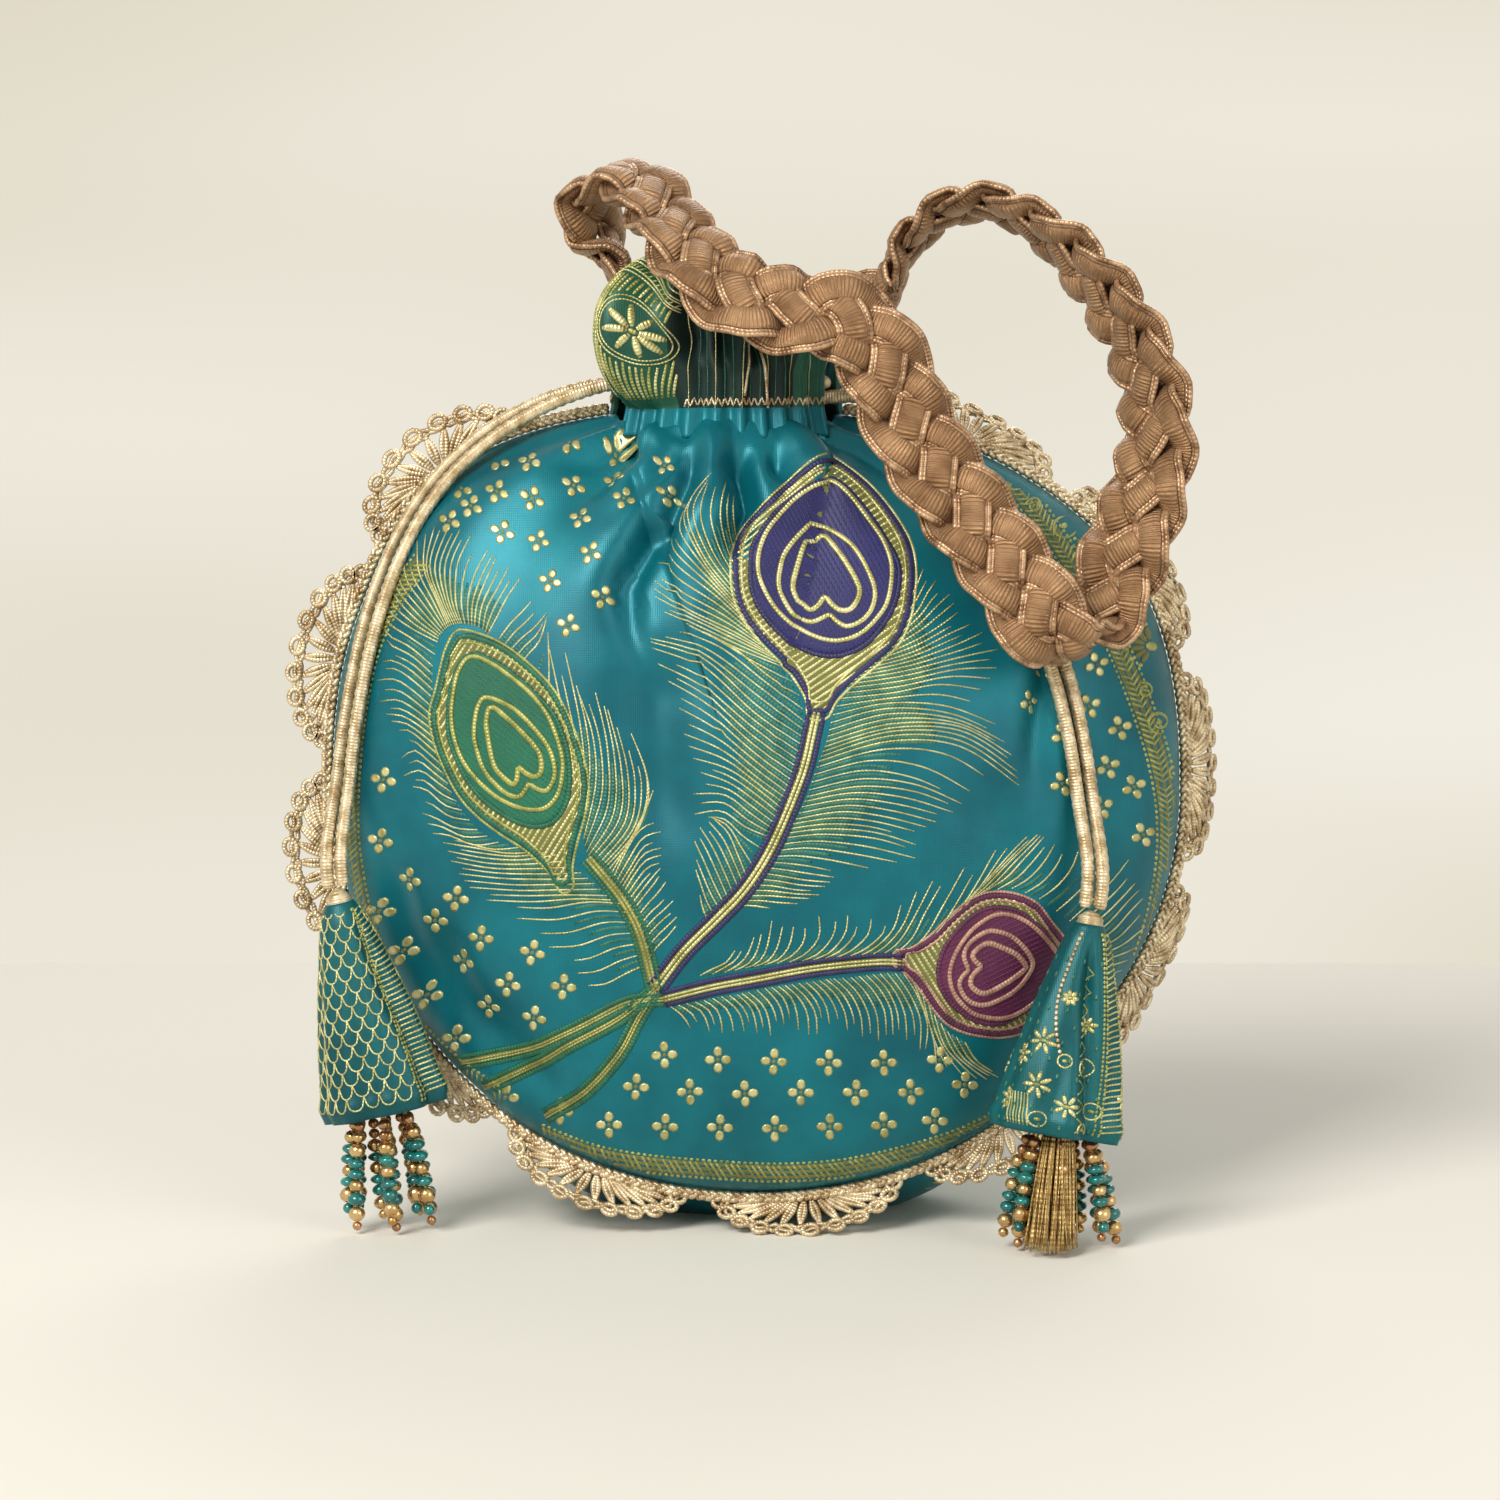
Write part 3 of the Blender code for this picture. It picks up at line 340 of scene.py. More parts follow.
class Panel:
    """The front (side -1) or back (side 1) of the pouch as a surface over its front view."""

    def __init__(self, side, inset=0.0, folds=()):
        self.side = side
        self.inset = inset
        self.depth = (FRONT_DEPTH if side < 0 else BACK_DEPTH) - inset
        self.folds = folds
        seam, _ = seam_line(1600, inset, NECK_RX - inset)
        turns = np.linspace(math.pi, 0.0, 301)[1:-1]
        neck = np.stack([NECK_OFFSET + (NECK_RX - inset) * np.cos(turns),
                         side * (NECK_RY - inset) * np.sin(turns), np.full(len(turns), seam[0][2])], axis=1)
        edge = np.concatenate([seam, neck])
        angle = np.arctan2(edge[:, 2] - MIDDLE_Z, edge[:, 0] - MIDDLE_X)
        order = np.argsort(angle)
        self.angles = angle[order]
        self.edge = edge[order]
        self.far = np.hypot(self.edge[:, 0] - MIDDLE_X, self.edge[:, 2] - MIDDLE_Z)

    def edge_at(self, angle):
        return (np.interp(angle, self.angles, self.far, period=2.0 * math.pi),
                np.interp(angle, self.angles, self.edge[:, 1], period=2.0 * math.pi))

    def base(self, angle, alpha):
        """The smooth surface; alpha is 0 at the middle and a quarter turn at the seam."""
        far, edge_y = self.edge_at(angle)
        reach = np.sin(alpha)
        if self.side > 0:
            edge_z = MIDDLE_Z + far * np.sin(angle)
            low = smoothstep((1.0 - edge_z / OVERSHOOT_BELOW) / 0.71)
            reach = reach + BASE_OVERSHOOT * low * np.sin(2.0 * alpha)
        middle_y = self.side * self.depth
        x = MIDDLE_X + far * np.cos(angle) * reach
        y = middle_y + (edge_y - middle_y) * (1.0 - np.cos(alpha))
        z = MIDDLE_Z + far * np.sin(angle) * reach
        if self.side > 0:
            z = np.maximum(z, self.inset)
        return np.stack([x, y, z], axis=-1)

    def normal(self, angle, alpha):
        step = 1e-3
        alpha = np.clip(alpha, 0.02, 0.5 * math.pi - 1e-3)
        around = self.base(angle + step, alpha) - self.base(angle - step, alpha)
        outward = self.base(angle, alpha + step) - self.base(angle, alpha - step)
        normals = unit(np.cross(around, outward))
        flip = np.sum(normals * (self.base(angle, alpha) - np.array((0.0, 0.0, BELLY_HEIGHT))), axis=-1) < 0.0
        return np.where(flip[..., None], -normals, normals)

    def polar(self, x, z):
        angle = np.arctan2(z - MIDDLE_Z, x - MIDDLE_X)
        far, _ = self.edge_at(angle)
        share = np.hypot(x - MIDDLE_X, z - MIDDLE_Z) / far
        return angle, np.arcsin(np.clip(share, 0.0, 1.0)), share

    def sink(self, x, z, share):
        """How far the folds sink the cloth at places of the front view."""
        depth = np.zeros(np.shape(x))
        for line, deep, width, ends in self.folds:
            line = np.asarray(line, float) / 1000.0
            best = np.full(np.shape(x), 1.0)
            along = np.zeros(np.shape(x))
            total = 0.0
            lengths = np.linalg.norm(np.diff(line, axis=0), axis=1)
            for start, end, length in zip(line[:-1], line[1:], lengths):
                way = (end - start) / length
                t = np.clip((x - start[0]) * way[0] + (z - start[1]) * way[1], 0.0, length)
                away = np.hypot(x - start[0] - t * way[0], z - start[1] - t * way[1])
                nearer = away < best
                best = np.where(nearer, away, best)
                along = np.where(nearer, total + t, along)
                total += length
            fade = smoothstep((total - along) / (ends[1] * total))
            if ends[0] > 0.0:
                fade = fade * smoothstep(along / (ends[0] * total))
            depth = depth + deep / 1000.0 * fade * np.exp(-(best / (width / 1000.0)) ** 2)
        return depth * smoothstep((1.0 - share) / 0.10)

    @staticmethod
    def gathers(point):
        """How far the small pleats that the drawn cord makes round the neck sink the cloth."""
        away = np.maximum(np.linalg.norm(point - NECK_MIDDLE, axis=-1) - NECK_RY, 0.0)
        turn = np.arctan2(point[..., 1] / NECK_RY, (point[..., 0] - NECK_OFFSET) / NECK_RX)
        fade = smoothstep(np.abs(point[..., 1] - seam_forward(point[..., 2])) / 0.012)
        wobble = turn + 0.06 * np.sin(3.0 * turn + 0.8) + 0.03 * np.sin(away * 160.0)
        short = np.abs(np.sin(11.0 * wobble + 0.4)) ** 0.7 * np.exp(-away / 0.016)
        middle = (0.5 - 0.5 * np.cos(12.0 * wobble)) * np.exp(-away / 0.034) * smoothstep(away / 0.008)
        far = (0.5 - 0.5 * np.cos(7.0 * wobble + 0.7)) * smoothstep(away / 0.025) * np.exp(-away / 0.060)
        near = 0.0022 * (1.0 - short) * np.exp(-away / 0.016) * smoothstep(away / 0.004)
        return fade * (near + 0.0042 * middle + 0.0026 * far)

    def place(self, x, z):
        """Points and normals of the folded cloth at places of its front view."""
        return self.place_polar(*self.polar(x, z))

    def place_polar(self, angle, alpha, share):
        far, _ = self.edge_at(angle)
        x = MIDDLE_X + far * share * np.cos(angle)
        z = MIDDLE_Z + far * share * np.sin(angle)
        point = self.base(angle, alpha)
        normal = self.normal(angle, alpha)
        sunk = self.sink(x, z, share) + self.gathers(point)
        if self.side > 0:
            sunk = sunk * smoothstep(z / FOLDS_END_HEIGHT)
        return point - normal * sunk[..., None], normal


def view_ray(px, py):
    """The ways that the camera looks at places of its picture."""
    ahead = np.array((0.0, math.cos(CAMERA_TILT), -math.sin(CAMERA_TILT)))
    up = np.array((0.0, math.sin(CAMERA_TILT), math.cos(CAMERA_TILT)))
    right = (np.asarray(px, float) - 0.5 * PICTURE) / PICTURE * VIEW_WIDTH
    high = (0.5 * PICTURE - np.asarray(py, float)) / PICTURE * VIEW_WIDTH
    aside = np.multiply.outer(right, np.array((1.0, 0.0, 0.0)))
    return ahead * CAMERA_DISTANCE + aside + np.multiply.outer(high, up)


def seen_on(panel, spots):
    """Places on the front panel, in metres across and up, of spots in the camera's picture."""
    spots = np.asarray(spots, float)
    way = view_ray(spots[..., 0], spots[..., 1])
    t = np.ones(spots.shape[:-1])
    for _ in range(7):
        point = CAMERA_EYE + way * t[..., None]
        angle, alpha, _ = panel.polar(point[..., 0], point[..., 2])
        on = panel.base(angle, alpha)
        t = t + 0.9 * ((on[..., 1] - CAMERA_EYE[1]) / way[..., 1] - t)
    point = CAMERA_EYE + way * t[..., None]
    return point[..., 0], point[..., 2]


# Materials

def look_of(name, colour, roughness, metallic=0.0, sheen=0.0, sheen_tint=(1.0, 1.0, 1.0), specular=0.5,
            coat=0.0):
    made = bpy.data.materials.new(name)
    made.use_nodes = True
    shader = made.node_tree.nodes["Principled BSDF"]
    for key, value in (("Base Color", (*colour, 1.0)), ("Roughness", roughness), ("Metallic", metallic),
                       ("Sheen Weight", sheen), ("Sheen Tint", (*sheen_tint, 1.0)),
                       ("Specular IOR Level", specular), ("Coat Weight", coat)):
        shader.inputs[key].default_value = value
    made.diffuse_color = (*colour, 1.0)
    return made


def node(look, kind, **values):
    """A node of a material or of the world, with values for its sockets and its settings."""
    made = look.node_tree.nodes.new(kind)
    for key, value in values.items():
        if key in made.inputs:
            made.inputs[key].default_value = value
        else:
            setattr(made, key, value)
    return made


def joined(look, source, output, target, place):
    look.node_tree.links.new(source.outputs[output], target.inputs[place])


def texture(look, kind, which="Object", **values):
    """A texture over the object's own coordinates, or over the places on its threads."""
    if which == "UV":
        place = node(look, "ShaderNodeUVMap", uv_map="thread_place")
    else:
        place = node(look, "ShaderNodeTexCoord")
    made = node(look, kind, **values)
    joined(look, place, which, made, "Vector")
    return made


def two_tones(look, source, dark, light, spread):
    """A ramp from a dark tone to a light one over a spread of a texture's values."""
    ramp = node(look, "ShaderNodeValToRGB")
    for element, position, colour in zip(ramp.color_ramp.elements, spread, (dark, light)):
        element.position = position
        element.color = (*colour, 1.0)
    joined(look, source, "Fac", ramp, "Fac")
    return ramp


def mottle(look, dark, light, size, spread=(0.35, 0.65)):
    """Colour that drifts between two tones over patches of a size in metres."""
    noise = texture(look, "ShaderNodeTexNoise", Scale=1.0 / size, Detail=3.0, Roughness=0.55)
    ramp = two_tones(look, noise, dark, light, spread)
    joined(look, ramp, "Color", look.node_tree.nodes["Principled BSDF"], "Base Color")


def relief(look, heights, distance, strength):
    """Bump from height nodes, given as (node, share)."""
    total = None
    for source, share in heights:
        scaled = node(look, "ShaderNodeMath", operation="MULTIPLY")
        scaled.inputs[1].default_value = share
        joined(look, source, "Fac", scaled, 0)
        if total is not None:
            added = node(look, "ShaderNodeMath", operation="ADD")
            joined(look, total, 0, added, 0)
            joined(look, scaled, 0, added, 1)
            scaled = added
        total = scaled
    made = node(look, "ShaderNodeBump", Strength=strength, Distance=distance)
    joined(look, total, 0, made, "Height")
    joined(look, made, "Normal", look.node_tree.nodes["Principled BSDF"], "Normal")


def ridges(look, which, size, direction, warp=0.0):
    """Parallel ridges of a size in metres across a direction of the coordinates."""
    return texture(look, "ShaderNodeTexWave", which, Scale=1.0 / size / 3.1831, Distortion=warp, Detail=1.0,
                   bands_direction=direction)


def cloth_look(name, dark, light, roughness, weave=0.0007, sheen=0.25, tint=(0.4, 0.9, 1.0), metallic=0.0):
    """Satin brocade: two tones that drift, a fine weave and slubs."""
    look = look_of(name, light, roughness, metallic, sheen, tint, 0.35)
    look.node_tree.nodes["Principled BSDF"].inputs["Sheen Roughness"].default_value = 0.35
    mottle(look, dark, light, 0.030)
    slubs = texture(look, "ShaderNodeTexNoise", Scale=1.0 / 0.006, Detail=2.0)
    relief(look, [(ridges(look, "Object", weave, "X", 0.4), 0.5),
                  (ridges(look, "Object", weave * 0.8, "Z", 0.4), 0.5), (slubs, 1.6)], 0.00016, 0.22)
    return look


def thread_look(name, dark, light, roughness=0.36, metallic=0.55, twist=0.0009):
    """Metal or silk thread with twisted strands across its length."""
    look = look_of(name, light, roughness, metallic)
    mottle(look, dark, light, 0.0035, (0.35, 0.62))
    relief(look, [(ridges(look, "UV", twist, "X"), 1.0)], 0.00018, 0.6)
    return look


TEAL = cloth_look("teal_satin", (0.000, 0.105, 0.140), (0.002, 0.172, 0.215),
                  0.38, 0.0005, 0.06, (0.3, 0.9, 1.0), 0.32)
CONE_TEAL = cloth_look("deep_teal_brocade", (0.000, 0.066, 0.078), (0.003, 0.125, 0.135),
                       0.40, 0.0005, 0.06, (0.3, 0.9, 1.0), 0.25)
TEAL_INSIDE = cloth_look("teal_wrong_side", (0.01, 0.08, 0.09), (0.02, 0.12, 0.13), 0.6)
CROWN = cloth_look("green_gold_brocade", (0.002, 0.050, 0.038), (0.020, 0.115, 0.060),
                   0.42, 0.0006, 0.1, (0.6, 1.0, 0.5), 0.25)
# Near-black green for a middle stretch of the top's front half: painted shade of its deep gathers
CROWN_PAINTED_SHADE = cloth_look("green_brocade_painted_shade", (0.000, 0.005, 0.004), (0.001, 0.020, 0.015), 0.6, 0.0006, 0.0)
COTTON = cloth_look("cream_cotton", (0.50, 0.44, 0.32), (0.62, 0.55, 0.42),
                    0.85, 0.0006, 0.1, (1.0, 1.0, 1.0))
OLIVE = cloth_look("olive_brocade", (0.10, 0.115, 0.028), (0.20, 0.20, 0.060),
                   0.42, 0.0006, 0.2, (1.0, 0.9, 0.4))
LEAF = cloth_look("leaf_green_weave", (0.004, 0.110, 0.060), (0.010, 0.160, 0.085),
                  0.45, 0.0006, 0.2, (0.4, 1.0, 0.5))
NAVY = cloth_look("violet_blue_weave", (0.012, 0.011, 0.080), (0.026, 0.025, 0.140),
                  0.5, 0.0006, 0.03, (0.5, 0.5, 1.0))
PLUM = cloth_look("plum_weave", (0.085, 0.010, 0.050), (0.150, 0.020, 0.085),
                  0.45, 0.0006, 0.2, (1.0, 0.4, 0.7))
GOLD = thread_look("pale_gold_thread", (0.36, 0.34, 0.12), (0.66, 0.62, 0.30))
HAZE = thread_look("green_gold_thread", (0.010, 0.110, 0.085), (0.050, 0.180, 0.110), 0.45, 0.35)
DARK_BLUE = thread_look("navy_thread", (0.008, 0.008, 0.055), (0.020, 0.018, 0.095), 0.5, 0.0)
DARK_GREEN = thread_look("green_thread", (0.004, 0.080, 0.040), (0.010, 0.130, 0.060), 0.5, 0.0)
DARK_RED = thread_look("plum_thread", (0.060, 0.008, 0.035), (0.110, 0.015, 0.060), 0.5, 0.0)
LIME = thread_look("lime_gold_thread", (0.20, 0.23, 0.055), (0.42, 0.42, 0.13), 0.40, 0.40)
ROSE = thread_look("rose_gold_thread", (0.34, 0.16, 0.13), (0.56, 0.33, 0.24), 0.40, 0.35)
LACE = thread_look("champagne_crochet", (0.38, 0.26, 0.13), (0.80, 0.66, 0.44), 0.34, 0.55, 0.0008)
CORD = thread_look("gold_braid_cord", (0.42, 0.30, 0.15), (0.80, 0.66, 0.44), 0.36, 0.50, 0.0008)
PIPING = thread_look("bronze_piping", (0.20, 0.100, 0.042), (0.54, 0.34, 0.195), 0.34, 0.45, 0.0011)
# Near-black for the pads' sides where they dip into the grooves between strands: painted shade
GROOVE_PAINTED_SHADE = thread_look("bronze_groove_painted_shade", (0.045, 0.020, 0.008), (0.110, 0.055, 0.024), 0.6, 0.0)
ZARI = thread_look("zari_fringe", (0.36, 0.22, 0.07), (0.72, 0.50, 0.20), 0.34, 0.7, 0.0012)
SATIN = look_of("bronze_satin", (0.46, 0.26, 0.13), 0.33, 0.50, 0.1, (1.0, 0.85, 0.7))
# The mottle's lighter tone stands partly for painted highlight along the strands, partly for the satin's own
# uneven tone
mottle(SATIN, (0.19, 0.090, 0.032), (0.43, 0.245, 0.120), 0.009, (0.30, 0.66))
relief(SATIN, [(ridges(SATIN, "UV", 0.00080, "X", 0.8), 1.3),
               (ridges(SATIN, "UV", 0.0031, "X", 3.0), 0.35)], 0.00026, 0.70)
BEAD_GOLD = look_of("gold_bead", (0.62, 0.40, 0.16), 0.22, 0.85)
mottle(BEAD_GOLD, (0.48, 0.28, 0.10), (0.72, 0.50, 0.24), 0.006)
BEAD_COPPER = look_of("copper_bead", (0.50, 0.25, 0.12), 0.28, 0.8)
mottle(BEAD_COPPER, (0.30, 0.14, 0.06), (0.58, 0.32, 0.16), 0.004)
BEAD_TEAL = look_of("teal_bead", (0.0, 0.16, 0.15), 0.12, 0.25, coat=0.6)
mottle(BEAD_TEAL, (0.0, 0.10, 0.10), (0.01, 0.23, 0.21), 0.005)


# The panels of the body, with their folds in millimetres of the front view

FRONT_FOLDS = [
    (((-6, 199), (-7, 190), (-5, 180), (-8, 172), (-14, 165)), 8.5, 3.4, (0.0, 0.35)),
    (((2, 199), (4, 190), (9, 183)), 4.5, 2.6, (0.0, 0.6)),
    (((8, 194), (16, 184), (24, 172)), -2.2, 5.0, (0.3, 0.5)),
    (((-17, 198), (-20, 186), (-27, 172), (-34, 160), (-33, 150), (-29, 138)), 5.2, 3.2, (0.0, 0.35)),
    (((-26, 190), (-34, 174), (-42, 160), (-42, 146)), -2.4, 6.0, (0.3, 0.5)),
    (((-13, 186), (-19, 172), (-22, 158)), -1.6, 4.0, (0.3, 0.5)),
    (((-33, 197), (-46, 190), (-58, 187)), 3.2, 2.6, (0.0, 0.6)),
    (((-30, 195), (-41, 184), (-52, 176)), 2.6, 2.6, (0.0, 0.6)),
    (((-24, 194), (-33, 180), (-40, 170)), 1.8, 2.2, (0.0, 0.7)),
    (((-26, 152), (-27, 130), (-26, 110), (-20, 88)), 4.2, 9.0, (0.3, 0.4)),
    (((-10, 160), (-8, 140), (-4, 120)), 1.8, 6.0, (0.3, 0.5)),
    (((66, 168), (68, 140), (65, 118), (66, 100)), 3.0, 3.6, (0.3, 0.4)),
    (((-82, 82), (-76, 62), (-66, 44), (-58, 34)), 2.8, 5.0, (0.3, 0.4)),
    (((-94, 96), (-88, 72), (-76, 48)), 2.6, 4.6, (0.3, 0.3)),
    (((-68, 60), (-58, 42), (-46, 30)), 2.0, 5.0, (0.3, 0.4)),
    (((20, 196), (34, 186), (46, 180)), 2.6, 2.6, (0.0, 0.6)),
    (((52, 120), (58, 90), (54, 64)), 2.2, 8.0, (0.3, 0.4)),
    (((-40, 84), (-34, 60), (-20, 40)), 1.6, 7.0, (0.4, 0.4)),
]
BACK_FOLDS = [
    (((-7, 199), (-6, 186), (-9, 172)), 5.0, 4.0, (0.0, 0.5)),
    (((8, 198), (13, 182), (22, 164), (24, 150)), 3.4, 4.5, (0.0, 0.4)),
    (((-28, 198), (-40, 186), (-50, 170)), 2.8, 4.0, (0.0, 0.5)),
    (((24, 196), (44, 186), (58, 176)), 2.2, 3.5, (0.0, 0.6)),
    (((28, 150), (33, 120), (30, 92)), 2.8, 11.0, (0.3, 0.4)),
    (((-50, 150), (-58, 120), (-60, 92)), 2.2, 7.0, (0.3, 0.4)),
    (((82, 86), (74, 62), (60, 44)), 2.0, 6.0, (0.3, 0.3)),
    (((-84, 80), (-74, 58), (-60, 42)), 2.0, 6.0, (0.3, 0.3)),
]
FRONT = Panel(-1, 0.0, FRONT_FOLDS)
BACK = Panel(1, 0.0, BACK_FOLDS)


PANEL_RINGS = 72
SEAM_SPOKES = 170
NECK_SPOKES = 130


def make_panel(panel, name):
    """A closed sheet of cloth: the folded outer layer, the layer inside it and the edge."""
    right = math.atan2(NECK_Z - MIDDLE_Z, NECK_OFFSET + NECK_RX - MIDDLE_X) - 0.10
    left = math.atan2(NECK_Z - MIDDLE_Z, NECK_OFFSET - NECK_RX - MIDDLE_X) + 0.10
    angles = np.concatenate([np.linspace(right, left, NECK_SPOKES, endpoint=False),
                             np.linspace(left, right + 2.0 * math.pi, SEAM_SPOKES, endpoint=False)])
    last = 1.0 - SEAM_GAP / (math.pi * 0.5 * (FRONT_DEPTH + BACK_DEPTH))
    shares = np.linspace(0.004, last, PANEL_RINGS)
    alpha, angle = np.meshgrid(shares * 0.5 * math.pi, angles, indexing="ij")
    outer, normals = panel.place_polar(angle, alpha, np.sin(alpha))
    places = np.stack([outer[..., 0], outer[..., 2]], axis=-1)
    thick = PANEL_THICKNESS * 0.8
    edge_fade = smoothstep((alpha - 0.42 * math.pi) / (0.08 * math.pi))[..., None]
    toward = np.array((MIDDLE_X, 0.0, MIDDLE_Z)) - outer
    toward[..., 1] = 0.0
    inner = outer - normals * thick
    inner = inner * (1.0 - edge_fade) + (outer + unit(toward) * thick) * edge_fade
    front = panel.side < 0
    count = len(angles)
    layer = PANEL_RINGS * count
    shape = Shape()
    shape.grid(outer, 0, True, front, places)
    shape.grid(inner, 1, True, not front)
    shape.band(range(layer - count, layer), layer, 0, front)
    shape.cap(0, count, 0, not front)
    shape.cap(layer, count, 1, front)
    shape.made(name + "_cloth", [TEAL, TEAL_INSIDE], "bag", "teal_brocade", [name])


make_panel(FRONT, "front_panel")
make_panel(BACK, "back_panel")


# The lining: one sack inside both panels that rises through the neck

def make_lining():
    """Two layers that follow the folds of the panels and draw in to rise through the neck."""
    shape = Shape()
    inset = PANEL_THICKNESS + LINING_GAP
    rings, spokes = 26, 110
    for side in (-1, 1):
        panel = Panel(side, inset)
        alpha, angle = np.meshgrid(np.linspace(0.02, 0.5 * math.pi, rings),
                                   np.linspace(0.0, 2.0 * math.pi, spokes, endpoint=False), indexing="ij")
        points = panel.base(angle, alpha)
        normals = panel.normal(angle, alpha)
        away = np.maximum(np.linalg.norm(points - NECK_MIDDLE, axis=-1) - NECK_RY, 0.0)
        drawn = 0.0048 * np.exp(-away / 0.045) + 0.0036 * smoothstep(away / 0.02) * np.exp(-away / 0.110)
        flat = smoothstep((0.5 * math.pi - alpha) / 0.25)
        cloth = FRONT if side < 0 else BACK
        folded = cloth.sink(points[..., 0], points[..., 2], np.sin(alpha)) + cloth.gathers(points)
        folded = np.maximum(folded, 0.0) * smoothstep(points[..., 2] / FOLDS_END_HEIGHT)
        points = points - normals * (drawn * flat + folded)[..., None]
        neck = smoothstep((points[..., 2] - 0.186) / 0.010)[..., None]
        middle = np.array((NECK_OFFSET, 0.0, 0.0))
        pulled = middle + (points - middle) * np.array((0.80, 0.72, 1.0))
        points = points * (1.0 - neck) + pulled * neck
        shape.grid(points, 0, True, side < 0)
        shape.grid(points - normals * 0.0006, 0, True, side > 0)
    shape.made("lining_cloth", [COTTON], "bag", "lining_cotton", ["lining"])


make_lining()

# The gathered top

PUFF_TURN = 225.0
LOBE_TURN = 74.0
CHANNEL_SHARE = 0.30

# Each deep crease of the top: its turn, depth and width
CROWN_CREASES = [
    (253.0, 0.0090, 5.0), (269.0, 0.0060, 4.0), (284.0, 0.0075, 4.5), (301.0, 0.0050, 4.0),
    (100.0, 0.0050, 5.0), (52.0, 0.0050, 5.0), (126.0, 0.0040, 5.0),
]
CROWN_SKIRT = 0.12
# The turns between which the top is painted near-black as shade
PAINTED_SHADE_TURNS = (246.0, 306.0)


def crown_rise(turn):
    """How high the gathered top stands above its channel at a turn in degrees."""
    puff = 0.0085 * bump(turn, PUFF_TURN, 40.0)
    lobe = 0.0045 * bump(turn, LOBE_TURN, 30.0)
    left = 0.0175 * np.minimum(1.0, 1.8 * bump(turn, 170.0, 46.0))
    right = 0.0165 * np.minimum(1.0, 1.7 * bump(turn, 22.0, 50.0))
    return 0.0205 + puff + lobe - left - right


def crown_points(turn, share, inset):
    """The gathered top: drawn tight at the channel, with round puffs and deep gathers above it."""
    rise = crown_rise(turn)
    angle = np.radians(turn)
    free = np.clip((share - CHANNEL_SHARE) / (1.0 - CHANNEL_SHARE), 0.0, 1.0)
    puff = bump(turn, PUFF_TURN, 32.0)
    ball = np.maximum(puff, 0.9 * bump(turn, LOBE_TURN, 26.0))
    whole = np.clip((share - 0.06) / 0.94, 0.0, 1.0)
    roll = np.radians(-60.0 + 162.0 * whole)
    wave = 0.0050 * smoothstep(free * 1.6) * np.cos(13.0 * angle)
    plain = (0.0050 * np.sin(free * 0.5 * math.pi) + wave) * np.clip(rise / 0.0205, 0.0, 1.0)
    swollen = 0.0200 * (np.cos(roll) - 0.5)
    drawn = 0.5 + 0.5 * np.cos(30.0 * angle + 0.9 * np.sin(5.0 * angle))
    tight = 0.0016 * drawn * (1.0 - 0.7 * free) * (1.0 - 0.8 * ball * smoothstep(share * 6.0))
    crease = np.zeros(np.shape(turn))
    for where, deepest, width in CROWN_CREASES:
        crease = crease - deepest * np.exp(-((turn - where) / width) ** 2)
    crease = crease * smoothstep(free * 2.5)
    left_end = bump(turn, 191.5, 34.0) * (1.0 - 0.75 * smoothstep((turn - 200.0) / 8.0))
    ends = 1.0 - 0.85 * np.maximum(left_end, bump(turn, 348.5, 34.0))
    skirt = np.clip(-share / CROWN_SKIRT, 0.0, 1.0)
    radius = (plain * (1.0 - ball) + swollen * ball + crease) * ends + tight + 0.0016 * skirt - inset
    channel = CASING_HEIGHT * np.clip(share / CHANNEL_SHARE, 0.0, 1.0)
    round_height = (CASING_HEIGHT + rise) * (np.sin(roll) + 0.866) / 1.866
    height = (channel + rise * free) * (1.0 - ball) + round_height * ball
    height = height + 0.0012 * free ** 4 * np.cos(13.0 * angle + 0.6) * (1.0 - ball)
    height = CASING_BOTTOM + height - 0.0065 * skirt
    aside = 0.0038 * puff * np.sin(math.pi * whole)
    return np.stack([NECK_OFFSET - aside + (NECK_RX_WALL + radius) * np.cos(angle),
                     (NECK_RY_WALL + radius) * np.sin(angle), height], axis=-1)


def crown_place(turn, share):
    """Points and normals of the gathered top."""
    turn, share = np.broadcast_arrays(np.asarray(turn, float), np.asarray(share, float))
    around = crown_points(turn + 0.4, share, 0.0) - crown_points(turn - 0.4, share, 0.0)
    upward = crown_points(turn, share + 0.008, 0.0) - crown_points(turn, share - 0.008, 0.0)
    return crown_points(turn, share, 0.0), unit(np.cross(around, upward))


def make_crown(name, start, end):
    """Half of the gathered top, with a stretch of its middle painted near-black as shade, and the skirt that
    goes down inside the panel.
    """
    shape = Shape()
    shares = np.concatenate([np.linspace(-CROWN_SKIRT, 0.0, 8)[:-1], np.linspace(0.0, 1.0, 44)])
    turn, share = np.meshgrid(np.linspace(start, end, 200), shares, indexing="ij")
    outer = crown_points(turn, share, 0.0)
    inner = crown_points(turn, share, CASING_CLOTH * 0.7)
    shape.grid(outer, 0, False, False, np.stack([turn, share], axis=-1))
    faces, places, _ = shape.groups.pop()
    around, up = places[:, :, 0].mean(axis=1), places[:, :, 1].mean(axis=1)
    low = up < 0.02
    # Faces in this stretch take the near-black look: painted shade
    dark = ~low & (around > PAINTED_SHADE_TURNS[0]) & (around < PAINTED_SHADE_TURNS[1])
    for chosen, kind in ((low, 3), (dark, 2), (~low & ~dark, 0)):
        if chosen.any():
            shape.groups.append((faces[chosen], places[chosen], kind))
    shape.grid(inner, 1, False, True)
    rows, columns = turn.shape
    layer = rows * columns
    numbers = np.arange(layer).reshape(rows, columns)
    ring = np.concatenate([numbers[:, 0], numbers[-1, 1:], numbers[-2::-1, -1], numbers[0, -2:0:-1]])
    shape.band(ring, layer)
    shape.made(name + "_cloth", [CROWN, TEAL_INSIDE, CROWN_PAINTED_SHADE, TEAL], "bag", "green_brocade", [name])


make_crown("front_ruffle", 209.0, 331.0)
make_crown("back_ruffle", 6.0, 174.0)


